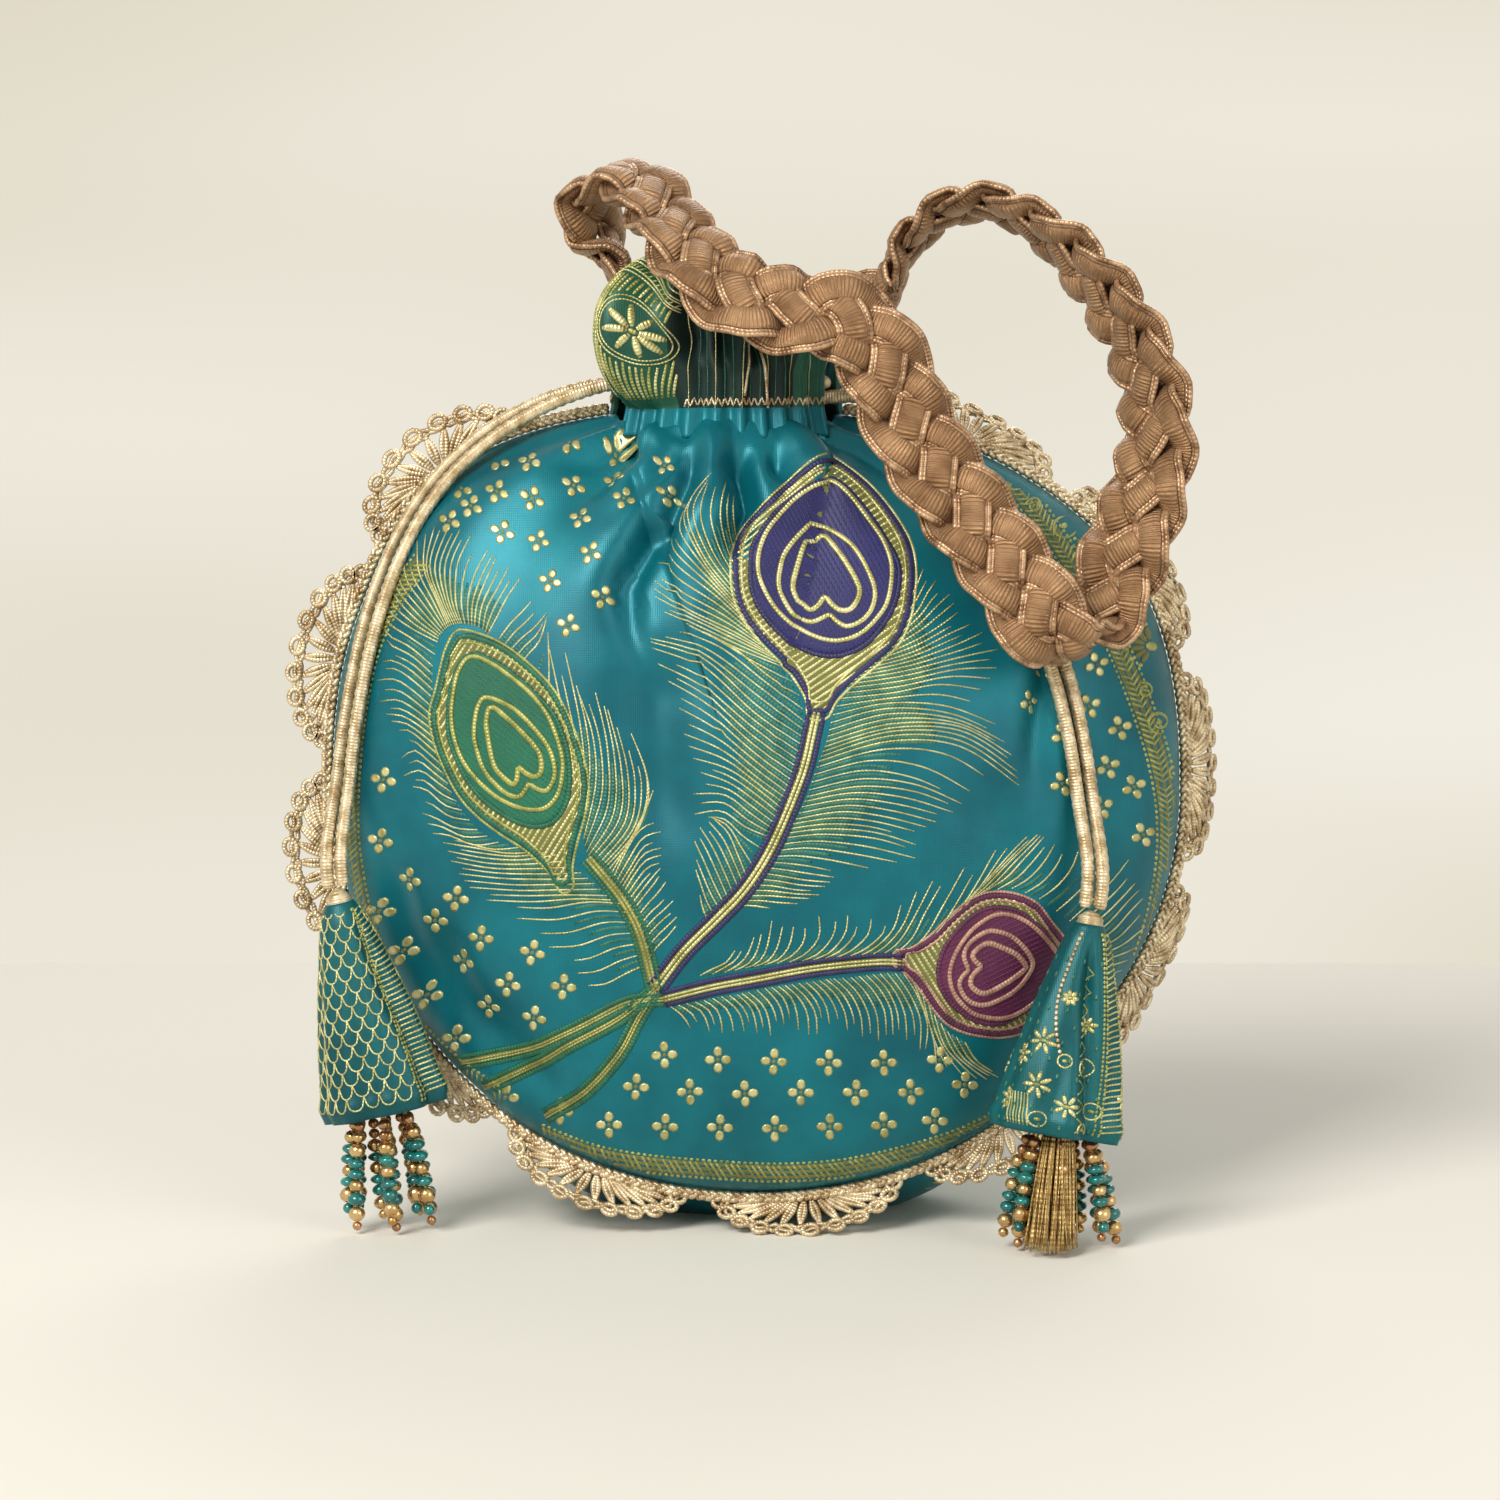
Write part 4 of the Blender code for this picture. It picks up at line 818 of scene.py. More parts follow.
def laid_thread(shape, place, line, width, rise, kind, taper=0.6):
    """A thread along a line of places on a surface; place gives points and normals."""
    line = np.asarray(line, float)
    along = distances(place(*line.T)[0])
    count = max(2, round(along[-1] / 0.0009)) + 1
    line = at_marks(np.linspace(0.0, along[-1], count), along, line)
    points, normals = place(*line.T)
    shape.tube(points, normals, thread_profile(width, rise), tapered(taper, count), kind)


def laid_dot(shape, place, middle, reach, rise, kind):
    """A small raised oval on a surface, as a short broad thread; reach is its half length and its width."""
    along = np.linspace(-1.0, 1.0, 5)
    line = np.stack([middle[0] + reach[0] * along, middle[1] + reach[1] * along], axis=1)
    points, normals = place(*line.T)
    shape.tube(points, normals, thread_profile(reach[2], rise), (0.45, 0.9, 1.0, 0.9, 0.45), kind)


def curved(points, count=24):
    return spline(points, distances(np.array(points, float))[-1] / count)[0]


def ring_of(middle, reach_x, reach_y, count):
    """A closed line round a middle."""
    turns = np.linspace(0.0, 2.0 * math.pi, count)
    return np.stack([middle[0] + reach_x * np.cos(turns), middle[1] + reach_y * np.sin(turns)], axis=1)


# One degree round the top and one whole share up it, in metres
CROWN_DEGREE = 0.00061
CROWN_SHARE = 0.054


def make_crown_pattern():
    """Gold flowers, bands and fine lines on the gathered top."""
    shape = Shape()

    def thread(line, width, rise, kind, taper=0.6):
        laid_thread(shape, crown_place, line, width, rise, kind, taper)

    flower = (236.0, 0.47)
    reach = np.array((0.0062 / CROWN_DEGREE, 0.0062 / CROWN_SHARE))
    for petal in range(8):
        angle = 2.0 * math.pi * petal / 8.0 + 0.2
        way = reach * (math.cos(angle), math.sin(angle))
        laid_dot(shape, crown_place, flower + 0.58 * way, (*(0.40 * way), 0.0024), 0.00030, 0)
    laid_dot(shape, crown_place, flower, (1.4, 0.0, 0.0016), 0.00034, 1)
    for size in (1.12, 1.28):
        thread(ring_of(flower, *(size * reach), 40), 0.00050, 0.00024, 0, 1.0)
    for number in range(26):
        low = 207.0 + 2.1 * number
        t = np.linspace(0.0, 1.0, 40)
        line = np.stack([low + 11.0 * t, 0.13 + 0.57 * t], axis=1)
        away = np.linalg.norm((line - flower) / reach, axis=1)
        for first, last in stretches((away > 1.36) & (line[:, 0] > 220.0) & (line[:, 0] < 248.0)):
            if last - first > 4:
                thread(line[first:last], 0.00105, 0.00022, 1 if number % 3 else 0)
    for offset, width, kind in ((0.0, 0.0007, 0), (2.2, 0.0005, 1), (7.2, 0.0005, 1), (9.2, 0.0007, 0)):
        line = curved([(211.0 + offset * 0.5, 0.14), (210.0 + offset, 0.30), (212.5 + offset, 0.44),
                       (211.0 + offset, 0.58), (213.0 + offset, 0.70)])
        thread(line, width, 0.00024, kind)
    for share in (0.715, 0.735, 0.775, 0.795, 0.84, 0.88, 0.92, 0.96):
        thread([(turn, share) for turn in np.linspace(209.6, 250.0, 40)], 0.00055, 0.00024, 0)
    for number in range(20):
        turn = 210.5 + 2.0 * number
        thread([(turn, 0.740), (turn + 1.6, 0.770)], 0.00050, 0.00022, 1)
    for number in range(18):
        turn = 252.0 + 4.3 * number
        top = 0.97 - 0.10 * ((number * 5) % 3) / 2.0
        line = [(turn + 0.5 * math.sin(6.0 * share), share) for share in np.linspace(0.02, top, 26)]
        thread(line, 0.00030, 0.00016, 2 if number % 3 else 0)
    thread([(250.0 + 1.5 * n, 0.035 + 0.075 * (n % 2)) for n in range(52)], 0.00052, 0.00034, 3, 1.0)
    for start, end in (((283.0, 0.55), (279.0, 0.12)), ((288.0, 0.50), (291.0, 0.02))):
        thread(np.linspace(start, end, 12), 0.00080, 0.00045, 3, 1.0)
    for row in range(8):
        for column in range(26):
            turn = 10.0 + 6.2 * column + 3.1 * (row % 2)
            share = 0.36 + 0.075 * row
            kind = 0 if (row + column) % 2 else 1
            if turn < 170.0:
                laid_dot(shape, crown_place, (turn, share), (0.9, 0.0, 0.0010), 0.00026, kind)
    for share in (0.93, 0.965):
        thread([(turn, share) for turn in np.linspace(8.0, 172.0, 150)], 0.00055, 0.00024, 0)
    thread([(8.0 + 1.6 * n, 0.035 + 0.055 * (n % 2)) for n in range(102)], 0.00052, 0.00034, 3, 1.0)
    shape.made("ruffle_brocade", [GOLD, LIME, HAZE, LACE], "bag", "gold_thread")


make_crown_pattern()


# The braided handle

STRAP_SEAT = NECK_RX_WALL - CASING_CLOTH - DRAWCORD - 2.0 * FIT_GAP - 0.0008
STRAP_END_X = STRAP_SEAT * math.sqrt(1.0 - (0.006 / (STRAP_SEAT - NECK_RX + NECK_RY)) ** 2) - 0.0025 - FIT_GAP
HANDLE_STOPS = [
    ((NECK_OFFSET - STRAP_END_X, 0.000, NECK_Z - 0.010), (-1.0, 0.0, 0.0)),
    ((NECK_OFFSET - STRAP_END_X, 0.000, NECK_Z + 0.014), (-1.0, 0.0, 0.0)),
    ((NECK_OFFSET - 0.0230, 0.006, 0.2290), (-0.85, 0.25, 0.35)),
    ((-0.0420, 0.011, 0.2420), (-0.85, 0.35, 0.35)),
    ((-0.0420, 0.004, 0.2530), (-0.45, 0.05, 0.90)),
    ((-0.0330, -0.007, 0.2555), (0.15, -0.35, 0.92)),
    ((-0.0255, -0.018, 0.2480), (0.40, -0.65, 0.62)),
    ((-0.0190, -0.030, 0.2390), (0.40, -0.78, 0.45)),
    ((-0.0085, -0.039, 0.2290), (0.20, -0.86, 0.45)),
    ((0.0050, -0.041, 0.2245), (0.05, -0.86, 0.50)),
    ((0.0190, -0.041, 0.2225), (0.10, -0.92, 0.35)),
    ((0.0280, -0.041, 0.2120), (0.15, -0.97, 0.15)),
    ((0.0340, -0.041, 0.1975), (0.15, -0.97, 0.15)),
    ((0.0420, -0.043, 0.1845), (0.10, -0.96, 0.25)),
    ((0.0510, -0.046, 0.1725), (0.15, -0.95, 0.25)),
    ((0.0600, -0.0495, 0.1600), (0.20, -0.95, 0.10)),
    ((0.0665, -0.0510, 0.1502), (0.25, -0.85, -0.45)),
    ((0.0725, -0.0470, 0.1462), (0.45, -0.25, -0.86)),
    ((0.0780, -0.0415, 0.1510), (0.40, 0.80, -0.45)),
    ((0.0838, -0.0380, 0.1630), (0.45, 0.88, 0.00)),
    ((0.0895, -0.0365, 0.1780), (0.58, 0.80, 0.00)),
    ((0.0930, -0.034, 0.1930), (0.66, 0.72, 0.10)),
    ((0.0915, -0.029, 0.2080), (0.70, 0.66, 0.20)),
    ((0.0855, -0.022, 0.2220), (0.70, 0.58, 0.38)),
    ((0.0760, -0.014, 0.2350), (0.60, 0.50, 0.60)),
    ((0.0650, -0.004, 0.2450), (0.40, 0.40, 0.82)),
    ((0.0530, 0.005, 0.2500), (0.05, 0.28, 0.95)),
    ((0.0410, 0.013, 0.2460), (-0.50, 0.25, 0.82)),
    ((0.0330, 0.018, 0.2360), (-0.88, 0.15, 0.42)),
    ((0.0285, 0.017, 0.2250), (-0.98, -0.10, 0.15)),
    ((0.0200, 0.010, 0.2225), (-0.45, -0.10, -0.88)),
    ((NECK_OFFSET + STRAP_END_X + 0.0020, 0.003, 0.2190), (-0.80, 0.00, -0.60)),
    ((NECK_OFFSET + STRAP_END_X, 0.000, NECK_Z + 0.009), (-1.0, 0.0, 0.0)),
    ((NECK_OFFSET + STRAP_END_X, 0.000, NECK_Z - 0.010), (-1.0, 0.0, 0.0)),
]
BRAID_STRANDS = 4
BRAID_PERIOD = 0.0552
PAD_WIDTH = 0.0062
PAD_DEPTH = 0.0036
PAD_SIDES = 14
PIPE_PLACES = (-1.29, -1.0, 1.0, 1.29)


def make_handle():
    """Padded satin strands, each with piping along both edges, in a flat braid."""
    route, shares, length = spline([stop[0] for stop in HANDLE_STOPS], 0.0008)
    low = np.minimum(shares.astype(int), len(HANDLE_STOPS) - 2)
    part = smoothstep(shares - low)[:, None]
    faces = np.array([stop[1] for stop in HANDLE_STOPS])
    face = faces[low] * (1.0 - part) + faces[low + 1] * part
    way = unit(np.gradient(route, axis=0))
    face = unit(face - way * np.sum(face * way, axis=1, keepdims=True))
    across = np.cross(way, face)
    along = np.linspace(0.0, length, len(route))
    wide = smoothstep((np.minimum(along, length - along) - 0.024) / 0.026)
    size = 0.52 + 0.48 * wide
    # Soft light from all sides, and pale drapes, whose folds' light and shade are painted, where the camera,
    # a mirror or a clear thing looks.
    shape = Shape()
    for strand in range(BRAID_STRANDS):
        phase = 2.0 * math.pi * (along / BRAID_PERIOD + strand / BRAID_STRANDS)
        sideways = 0.0070 * size * np.sin(phase)
        over = 0.0019 * size * (1.35 * np.cos(3.0 * phase) - 0.25 * np.cos(9.0 * phase))
        line = route + across * sideways[:, None] + face * over[:, None]
        lengths = distances(line)
        targets = np.linspace(0.0, lengths[-1], int(lengths[-1] / 0.0015))
        line = at_marks(targets, lengths, line)
        # The noise's darker and lighter tones are painted shade and light of the drapes' soft folds
        normals = unit(at_marks(targets, lengths, face))
        scale = np.interp(targets, lengths, size)
        turns = round_turn(PAD_SIDES)
        pad = np.stack([0.5 * PAD_WIDTH * np.sign(np.cos(turns)) * np.abs(np.cos(turns)) ** 0.75,
                        0.5 * PAD_DEPTH * np.sign(np.sin(turns)) * np.abs(np.sin(turns)) ** 0.85], axis=1)
        shape.tube(line, normals, pad, scale, 0)
        ends, (faces, places, _) = shape.groups[-2:], shape.groups[-3]
        # The faces on the pads' sides, in the grooves, take the near-black look: painted shade
        groove = np.tile(np.abs(np.sin(round_turn(PAD_SIDES, 0.5))) < 0.30, len(faces) // PAD_SIDES)
        shape.groups[-3:] = [(faces[~groove], places[~groove], 0), (faces[groove], places[groove], 2), *ends]
        side = unit(np.cross(unit(np.gradient(line, axis=0)), normals))
        for edge in PIPE_PLACES:
            pipe = line + side * (edge * 0.5 * PAD_WIDTH * scale)[:, None]
            shape.tube(pipe, normals, ring_profile(0.00070, 6), scale, 1)
    shape.made("braided_handle", [SATIN, PIPING, GROOVE_PAINTED_SHADE], "bag", "bronze_satin", ["handle"])


make_handle()


# The lace

LACE_SCALLOPS = 11
LACE_DEPTH = 0.0125
LACE_THREAD = 0.00062
LACE_LEAN_BELOW = 0.050
LACE_FRONT_TILT = 54.0
LACE_BACK_TILT = 65.0
LACE_START_RIGHT = 0.006
LACE_START_LEFT = 0.020


class Lace:
    """The lace's sheet as a surface: a place along the seam and a distance out from it."""

    def __init__(self):
        dense, self.length = seam_line(1400, -0.5 * SEAM_GAP - FIT_GAP)
        dense[:, 1] -= 0.0012 * smoothstep((1.0 - dense[:, 2] / OVERSHOOT_BELOW) / 0.52)
        way = unit(np.gradient(dense, axis=0))
        out = np.stack([-way[:, 2], np.zeros(len(way)), way[:, 0]], axis=1)
        flip = np.sum(out * (dense - np.array((0.0, 0.0, BELLY_HEIGHT))), axis=1) < 0.0
        out[flip] *= -1.0
        out = unit(out)
        forward = math.radians(LACE_FRONT_TILT) * smoothstep((1.0 - dense[:, 2] / LACE_LEAN_BELOW) / 0.8)
        backward = math.radians(LACE_BACK_TILT) * smoothstep((dense[:, 0] / BODY_HALF_WIDTH - 0.19) / 0.29)
        tilt = forward - backward * smoothstep((dense[:, 2] / LACE_LEAN_BELOW - 0.6) / 0.6)
        self.steps = 16
        self.reach = 0.0160
        centre = dense.copy()
        self.rows = [centre]
        self.faces = []
        for row in range(self.steps + 1):
            share = row / self.steps * self.reach / LACE_DEPTH
            lean = tilt * smoothstep(1.4 * share)
            lie = out * np.cos(lean)[:, None] + np.array((0.0, -1.0, 0.0)) * np.sin(lean)[:, None]
            if row > 0:
                centre = centre + lie * (self.reach / self.steps)
                self.rows.append(centre)
            self.faces.append(unit(np.cross(lie, way)))
        self.rows = np.array(self.rows)
        self.faces = np.array(self.faces)
        front = self.faces[:, :, 1] > 0.0
        self.faces[front] *= -1.0

    def place(self, along, out, lift=0.0):
        along = np.clip(np.asarray(along, float) / self.length, 0.0, 1.0) * (self.rows.shape[1] - 1.001)
        out = np.clip(np.asarray(out, float) / self.reach, 0.0, 1.0) * (self.steps - 0.001)
        a, o = along.astype(int), out.astype(int)
        s, t = (along - a)[..., None], (out - o)[..., None]
        made = []
        for table in (self.rows, self.faces):
            made.append(table[o, a] * (1 - s) * (1 - t) + table[o, a + 1] * s * (1 - t)
                        + table[o + 1, a] * (1 - s) * t + table[o + 1, a + 1] * s * t)
        return made[0] + made[1] * np.asarray(lift)[..., None], made[1]


def make_lace():
    """Shell scallops: padded spokes, two looped rims of knobs, and a plaited head along the seam."""
    lace = Lace()
    shape = Shape()
    usable = lace.length - LACE_START_RIGHT - LACE_START_LEFT
    pitch = usable / LACE_SCALLOPS
    for fan in range(LACE_SCALLOPS):
        middle = LACE_START_RIGHT + pitch * (fan + 0.5)
        for spoke in range(14):
            turn = math.radians(-86.0 + 172.0 * spoke / 13.0)
            t = np.linspace(0.0, 1.0, 7)
            for edge in (-1.0, 1.0):
                bow = 0.00062 * edge * np.sin(math.pi * t)
                along = middle + math.sin(turn) * (0.0072 + 0.0122 * t) + bow * math.cos(turn)
                out = 0.0011 + math.cos(turn) * (0.0010 + 0.0078 * t) - bow * math.sin(turn)
                line, normals = lace.place(along, out, 0.0004 + 0.0005 * np.sin(math.pi * t))
                swell = 0.70 + 0.45 * np.sin(math.pi * t) ** 0.7
                shape.tube(line, normals, ring_profile(LACE_THREAD, 6), swell)
        for rim, radius_x, radius_o in ((0, 0.0196, 0.0090), (1, 0.0212, 0.0103)):
            turns = np.radians(np.linspace(-90.0, 90.0, 50))
            wave = 0.00035 * np.cos(turns * 36.0 + math.pi * rim)
            along = middle + np.sin(turns) * (radius_x + wave)
            out = 0.0011 + np.cos(turns) * (radius_o + wave)
            line, normals = lace.place(along, out, 0.0003 + 0.0004 * np.sin(turns * 36.0 + math.pi * rim))
            shape.tube(line, normals, ring_profile(LACE_THREAD, 6))
        for knob in range(11):
            turn = math.radians(-82.0 + 164.0 * knob / 10.0)
            loop = round_turn(12)
            along = middle + math.sin(turn) * 0.0212 + 0.0018 * np.cos(loop)
            out = 0.0011 + math.cos(turn) * 0.0106 + 0.0016 * np.sin(loop)
            line, normals = lace.place(along, np.maximum(out, 0.0004), 0.0008)
            shape.tube(line, normals, ring_profile(0.00066, 6), 1.0, 0, True)
    along = np.linspace(LACE_START_RIGHT - 0.004, lace.length - 0.002, 760)
    for strand in range(3):
        phase = 2.0 * math.pi * (along / 0.0060 + strand / 3.0)
        out = 0.0011 + 0.0009 * np.sin(phase)
        line, normals = lace.place(along, out, 0.0009 + 0.0006 * np.sin(2.0 * phase))
        shape.tube(line, normals, ring_profile(0.00072, 6))
    shape.made("crochet_lace", [LACE], "bag", "champagne_lace", ["lace_trim"])


make_lace()


# The drawcords

CHANNEL_RX = NECK_RX_WALL - CASING_CLOTH - FIT_GAP - 0.5 * DRAWCORD
CHANNEL_RY = NECK_RY_WALL - CASING_CLOTH - FIT_GAP - 0.5 * DRAWCORD
LOWER_CORD_Z = CASING_BOTTOM + FIT_GAP + 0.5 * DRAWCORD + 0.0004
UPPER_CORD_Z = LOWER_CORD_Z + DRAWCORD + 2.0 * FIT_GAP
STEM_RADIUS = 0.0033
LEFT_PIVOT = (-0.1040, -0.0270, 0.0810)
LEFT_MOUTH = (-0.0925, -0.0300, 0.0300)
RIGHT_PIVOT = (0.0775, -0.0415, 0.0780)
RIGHT_MOUTH = (0.0690, -0.0480, 0.0280)
LEFT_FRONT_EXIT = 213.0
LEFT_BACK_EXIT = 170.0


def channel_point(turn, height):
    angle = math.radians(turn)
    return (NECK_OFFSET + CHANNEL_RX * math.cos(angle), CHANNEL_RY * math.sin(angle), height)


def tassel_frame(pivot, mouth):
    """The pivot of a tassel and its directions: down its cone, across it, and through its depth."""
    pivot = np.array(pivot)
    down = unit(np.array(mouth) - pivot)
    across = np.array((1.0, 0.0, 0.0))
    across = unit(across - down * across.dot(down))
    return pivot, down, across, np.cross(across, down)


def tail_end(pivot, mouth, side):
    """Where a cord ends, just above the stem of its tassel."""
    origin, down, across, _ = tassel_frame(pivot, mouth)
    aside = side * (0.5 * DRAWCORD + 0.6 * FIT_GAP)
    return tuple(origin - down * (STEM_RADIUS + 2.0 * FIT_GAP) + across * aside)


LEFT_FRONT_ROUTE = [
    channel_point(LEFT_FRONT_EXIT - 2.0, UPPER_CORD_Z), channel_point(LEFT_FRONT_EXIT - 9.0, UPPER_CORD_Z),
    (-0.0360, -0.0051, 0.2062), (-0.0450, -0.0065, 0.2040), (-0.0560, -0.0075, 0.1995),
    (-0.0680, -0.0090, 0.1920), (-0.0790, -0.0110, 0.1815), (-0.0880, -0.0144, 0.1670),
    (-0.0950, -0.0184, 0.1480), (-0.0995, -0.0206, 0.1270), (-0.1020, -0.0208, 0.1080),
    (-0.1034, -0.0263, 0.0945), tail_end(LEFT_PIVOT, LEFT_MOUTH, 1.0),
]
LEFT_BACK_ROUTE = [
    channel_point(LEFT_BACK_EXIT + 2.0, UPPER_CORD_Z), channel_point(LEFT_BACK_EXIT + 8.0, UPPER_CORD_Z),
    (-0.0368, -0.0015, 0.2062), (-0.0460, -0.0028, 0.2048), (-0.0575, -0.0038, 0.2008),
    (-0.0700, -0.0050, 0.1935), (-0.0815, -0.0068, 0.1825), (-0.0908, -0.0096, 0.1680),
    (-0.0980, -0.0134, 0.1490), (-0.1026, -0.0160, 0.1275), (-0.1054, -0.0165, 0.1080),
    (-0.1070, -0.0262, 0.0940), tail_end(LEFT_PIVOT, LEFT_MOUTH, -1.0),
]
RIGHT_FRONT_ROUTE = [
    channel_point(540.0 - LEFT_FRONT_EXIT + 2.0, LOWER_CORD_Z),
    channel_point(540.0 - LEFT_FRONT_EXIT + 9.0, LOWER_CORD_Z),
    (0.0160, -0.0051, 0.2026), (0.0240, -0.0072, 0.2025), (0.0330, -0.0095, 0.1978),
    (0.0440, -0.0190, 0.1865), (0.0540, -0.0268, 0.1700), (0.0620, -0.0322, 0.1540),
    (0.0685, -0.0350, 0.1380), (0.0725, -0.0360, 0.1220), (0.0750, -0.0368, 0.1060),
    (0.0770, -0.0402, 0.0920), tail_end(RIGHT_PIVOT, RIGHT_MOUTH, -1.0),
]
RIGHT_BACK_ROUTE = [
    channel_point(180.0 - LEFT_BACK_EXIT - 2.0, LOWER_CORD_Z),
    channel_point(180.0 - LEFT_BACK_EXIT - 8.0, LOWER_CORD_Z),
    (0.0168, -0.0015, 0.2028), (0.0265, -0.0036, 0.2030), (0.0365, -0.0055, 0.1982),
    (0.0478, -0.0160, 0.1868), (0.0580, -0.0252, 0.1705), (0.0660, -0.0308, 0.1540),
    (0.0722, -0.0332, 0.1380), (0.0761, -0.0340, 0.1220), (0.0786, -0.0348, 0.1060),
    (0.0805, -0.0402, 0.0915), tail_end(RIGHT_PIVOT, RIGHT_MOUTH, 1.0),
]


CORD_PITCH = 0.0024
CORD_SIDES = 14


def plaited(shape, line, start=(0.0, -1.0, 0.0)):
    """A braided cord: V-shaped lobes in two columns that meet along its front and its back."""
    steps = spline(line, 0.00045)[0]
    normals = carried_normals(steps, start)
    way = unit(np.gradient(steps, axis=0))
    across = np.cross(way, normals)
    along = distances(steps)
    turns = round_turn(CORD_SIDES)
    slant = np.abs((turns + 0.5 * math.pi) % math.pi - 0.5 * math.pi) / (0.5 * math.pi)
    lobe = np.abs(np.sin(math.pi * (along[:, None] / CORD_PITCH - 1.5 * slant[None, :])))
    groove = 0.10 * np.exp(-(slant / 0.16) ** 2) + 0.08 * np.exp(-((1.0 - slant) / 0.16) ** 2)
    reach = 0.5 * DRAWCORD * (0.80 + 0.27 * lobe ** 0.7 - groove[None, :])
    ends = np.minimum(np.arange(len(steps)), np.arange(len(steps))[::-1])
    reach = reach * np.where(ends < 2, 0.75, 1.0)[:, None]
    points = steps[:, None, :] + reach[..., None] * (normals[:, None, :] * np.cos(turns)[None, :, None]
                                                     + across[:, None, :] * np.sin(turns)[None, :, None])
    places = np.stack(np.broadcast_arrays(along[:, None], turns[None, :]), axis=-1)
    shape.grid(points, 0, True, True, places)
    shape.cap(0, CORD_SIDES)
    shape.cap(shape.count - CORD_SIDES, CORD_SIDES, 0, True)
    return steps


def make_tail(name, route):
    """A free end of a drawcord, from the channel to its tassel."""
    shape = Shape()
    steps = plaited(shape, route)
    made = shape.made(name + "_braid", [CORD], "bag", "gold_cord", [name])


make_tail("left_cord_front", LEFT_FRONT_ROUTE)
make_tail("left_cord_back", LEFT_BACK_ROUTE)
make_tail("right_cord_front", RIGHT_FRONT_ROUTE)
make_tail("right_cord_back", RIGHT_BACK_ROUTE)

for loop_name, start, end, height in (
        ("left_drawcord_loop", LEFT_FRONT_EXIT, LEFT_BACK_EXIT + 360.0, UPPER_CORD_Z),
        ("right_drawcord_loop", 540.0 - LEFT_FRONT_EXIT, 180.0 - LEFT_BACK_EXIT, LOWER_CORD_Z)):
    loop = Shape()
    plaited(loop, [channel_point(start + (end - start) * n / 40, height) for n in range(41)], (0.0, 0.0, 1.0))
    loop.made(loop_name + "_braid", [CORD], "bag", "gold_cord", [loop_name])


# The tassels

CONE_TOP_RADIUS = 0.0046
CONE_HALF_WIDTH = 0.0155
CONE_HALF_DEPTH = 0.0105
CONE_FOLD = 0.0007
KNOT_HEIGHT = 0.0100
KNOT_ABOVE_MOUTH = 0.0100
KNOT_RADIUS = 0.0060
BEAD_RADIUS = 0.0020
FLOOR_CLEARANCE = 0.0010
CORE_SIDES = 20
STRANDS_ROUND = 6


def cone_points(pivot, mouth, turn, share, lift, creases):
    """Points of a cloth cone at turns and shares down its length, with its soft folds."""
    pivot, down, across, depth = tassel_frame(pivot, mouth)
    length = np.linalg.norm(np.array(mouth) - pivot)
    swell = share + 0.10 * np.sin(math.pi * share)
    wide = CONE_TOP_RADIUS + (CONE_HALF_WIDTH - CONE_TOP_RADIUS) * swell
    deep = CONE_TOP_RADIUS + (CONE_HALF_DEPTH - CONE_TOP_RADIUS) * swell
    fold = CONE_FOLD * share * np.cos(6.0 * turn + 1.0) + 0.0004 * share * np.cos(11.0 * turn + 4.0 * share)
    for where, deepest, width in creases:
        away = (turn - where - 0.5 * (share - 0.5) + math.pi) % (2.0 * math.pi) - math.pi
        fold = fold - deepest * np.exp(-(away / width) ** 2) * smoothstep(share * 3.0)
    hem = 0.0005 * np.exp(-((share - 0.93) / 0.03) ** 2) - 0.0006 * smoothstep((share - 0.955) / 0.045)
    tip = -0.0010 * np.exp(-(share / 0.05) ** 2)
    reach_w = wide + fold + hem + tip + lift
    reach_d = deep + fold + hem + tip + lift
    centre = pivot + down * (length * share)[..., None]
    return centre + across * (reach_w * np.cos(turn))[..., None] + depth * (reach_d * np.sin(turn))[..., None]


LEFT_CREASES = ((-0.75, 0.0016, 0.20),)
RIGHT_CREASES = ((1.9 + math.pi, 0.0026, 0.22), (-1.15, 0.0014, 0.18))


def make_cone(side, pivot, mouth, creases):
    """The cloth of a cone: an outer and an inner layer with a rim at each end."""
    shape = Shape()
    share, turn = np.meshgrid(np.linspace(0.0, 1.0, 56), round_turn(100), indexing="ij")
    outer = cone_points(pivot, mouth, turn, share, 0.0, creases)
    inner = cone_points(pivot, mouth, turn, share, -0.0009, creases)
    shape.grid(outer, 0, True, True, np.stack([share * 0.052, turn], axis=-1))
    shape.grid(inner, 1, True, False)
    rows, columns = turn.shape
    layer = rows * columns
    shape.band(range(columns), layer)
    shape.band(range(layer - columns, layer), layer, 0, True)
    shape.made(side + "_tassel_cloth", [CONE_TEAL, TEAL_INSIDE], side + "_tassel", "teal_brocade",
               [side + "_tassel_cone"])


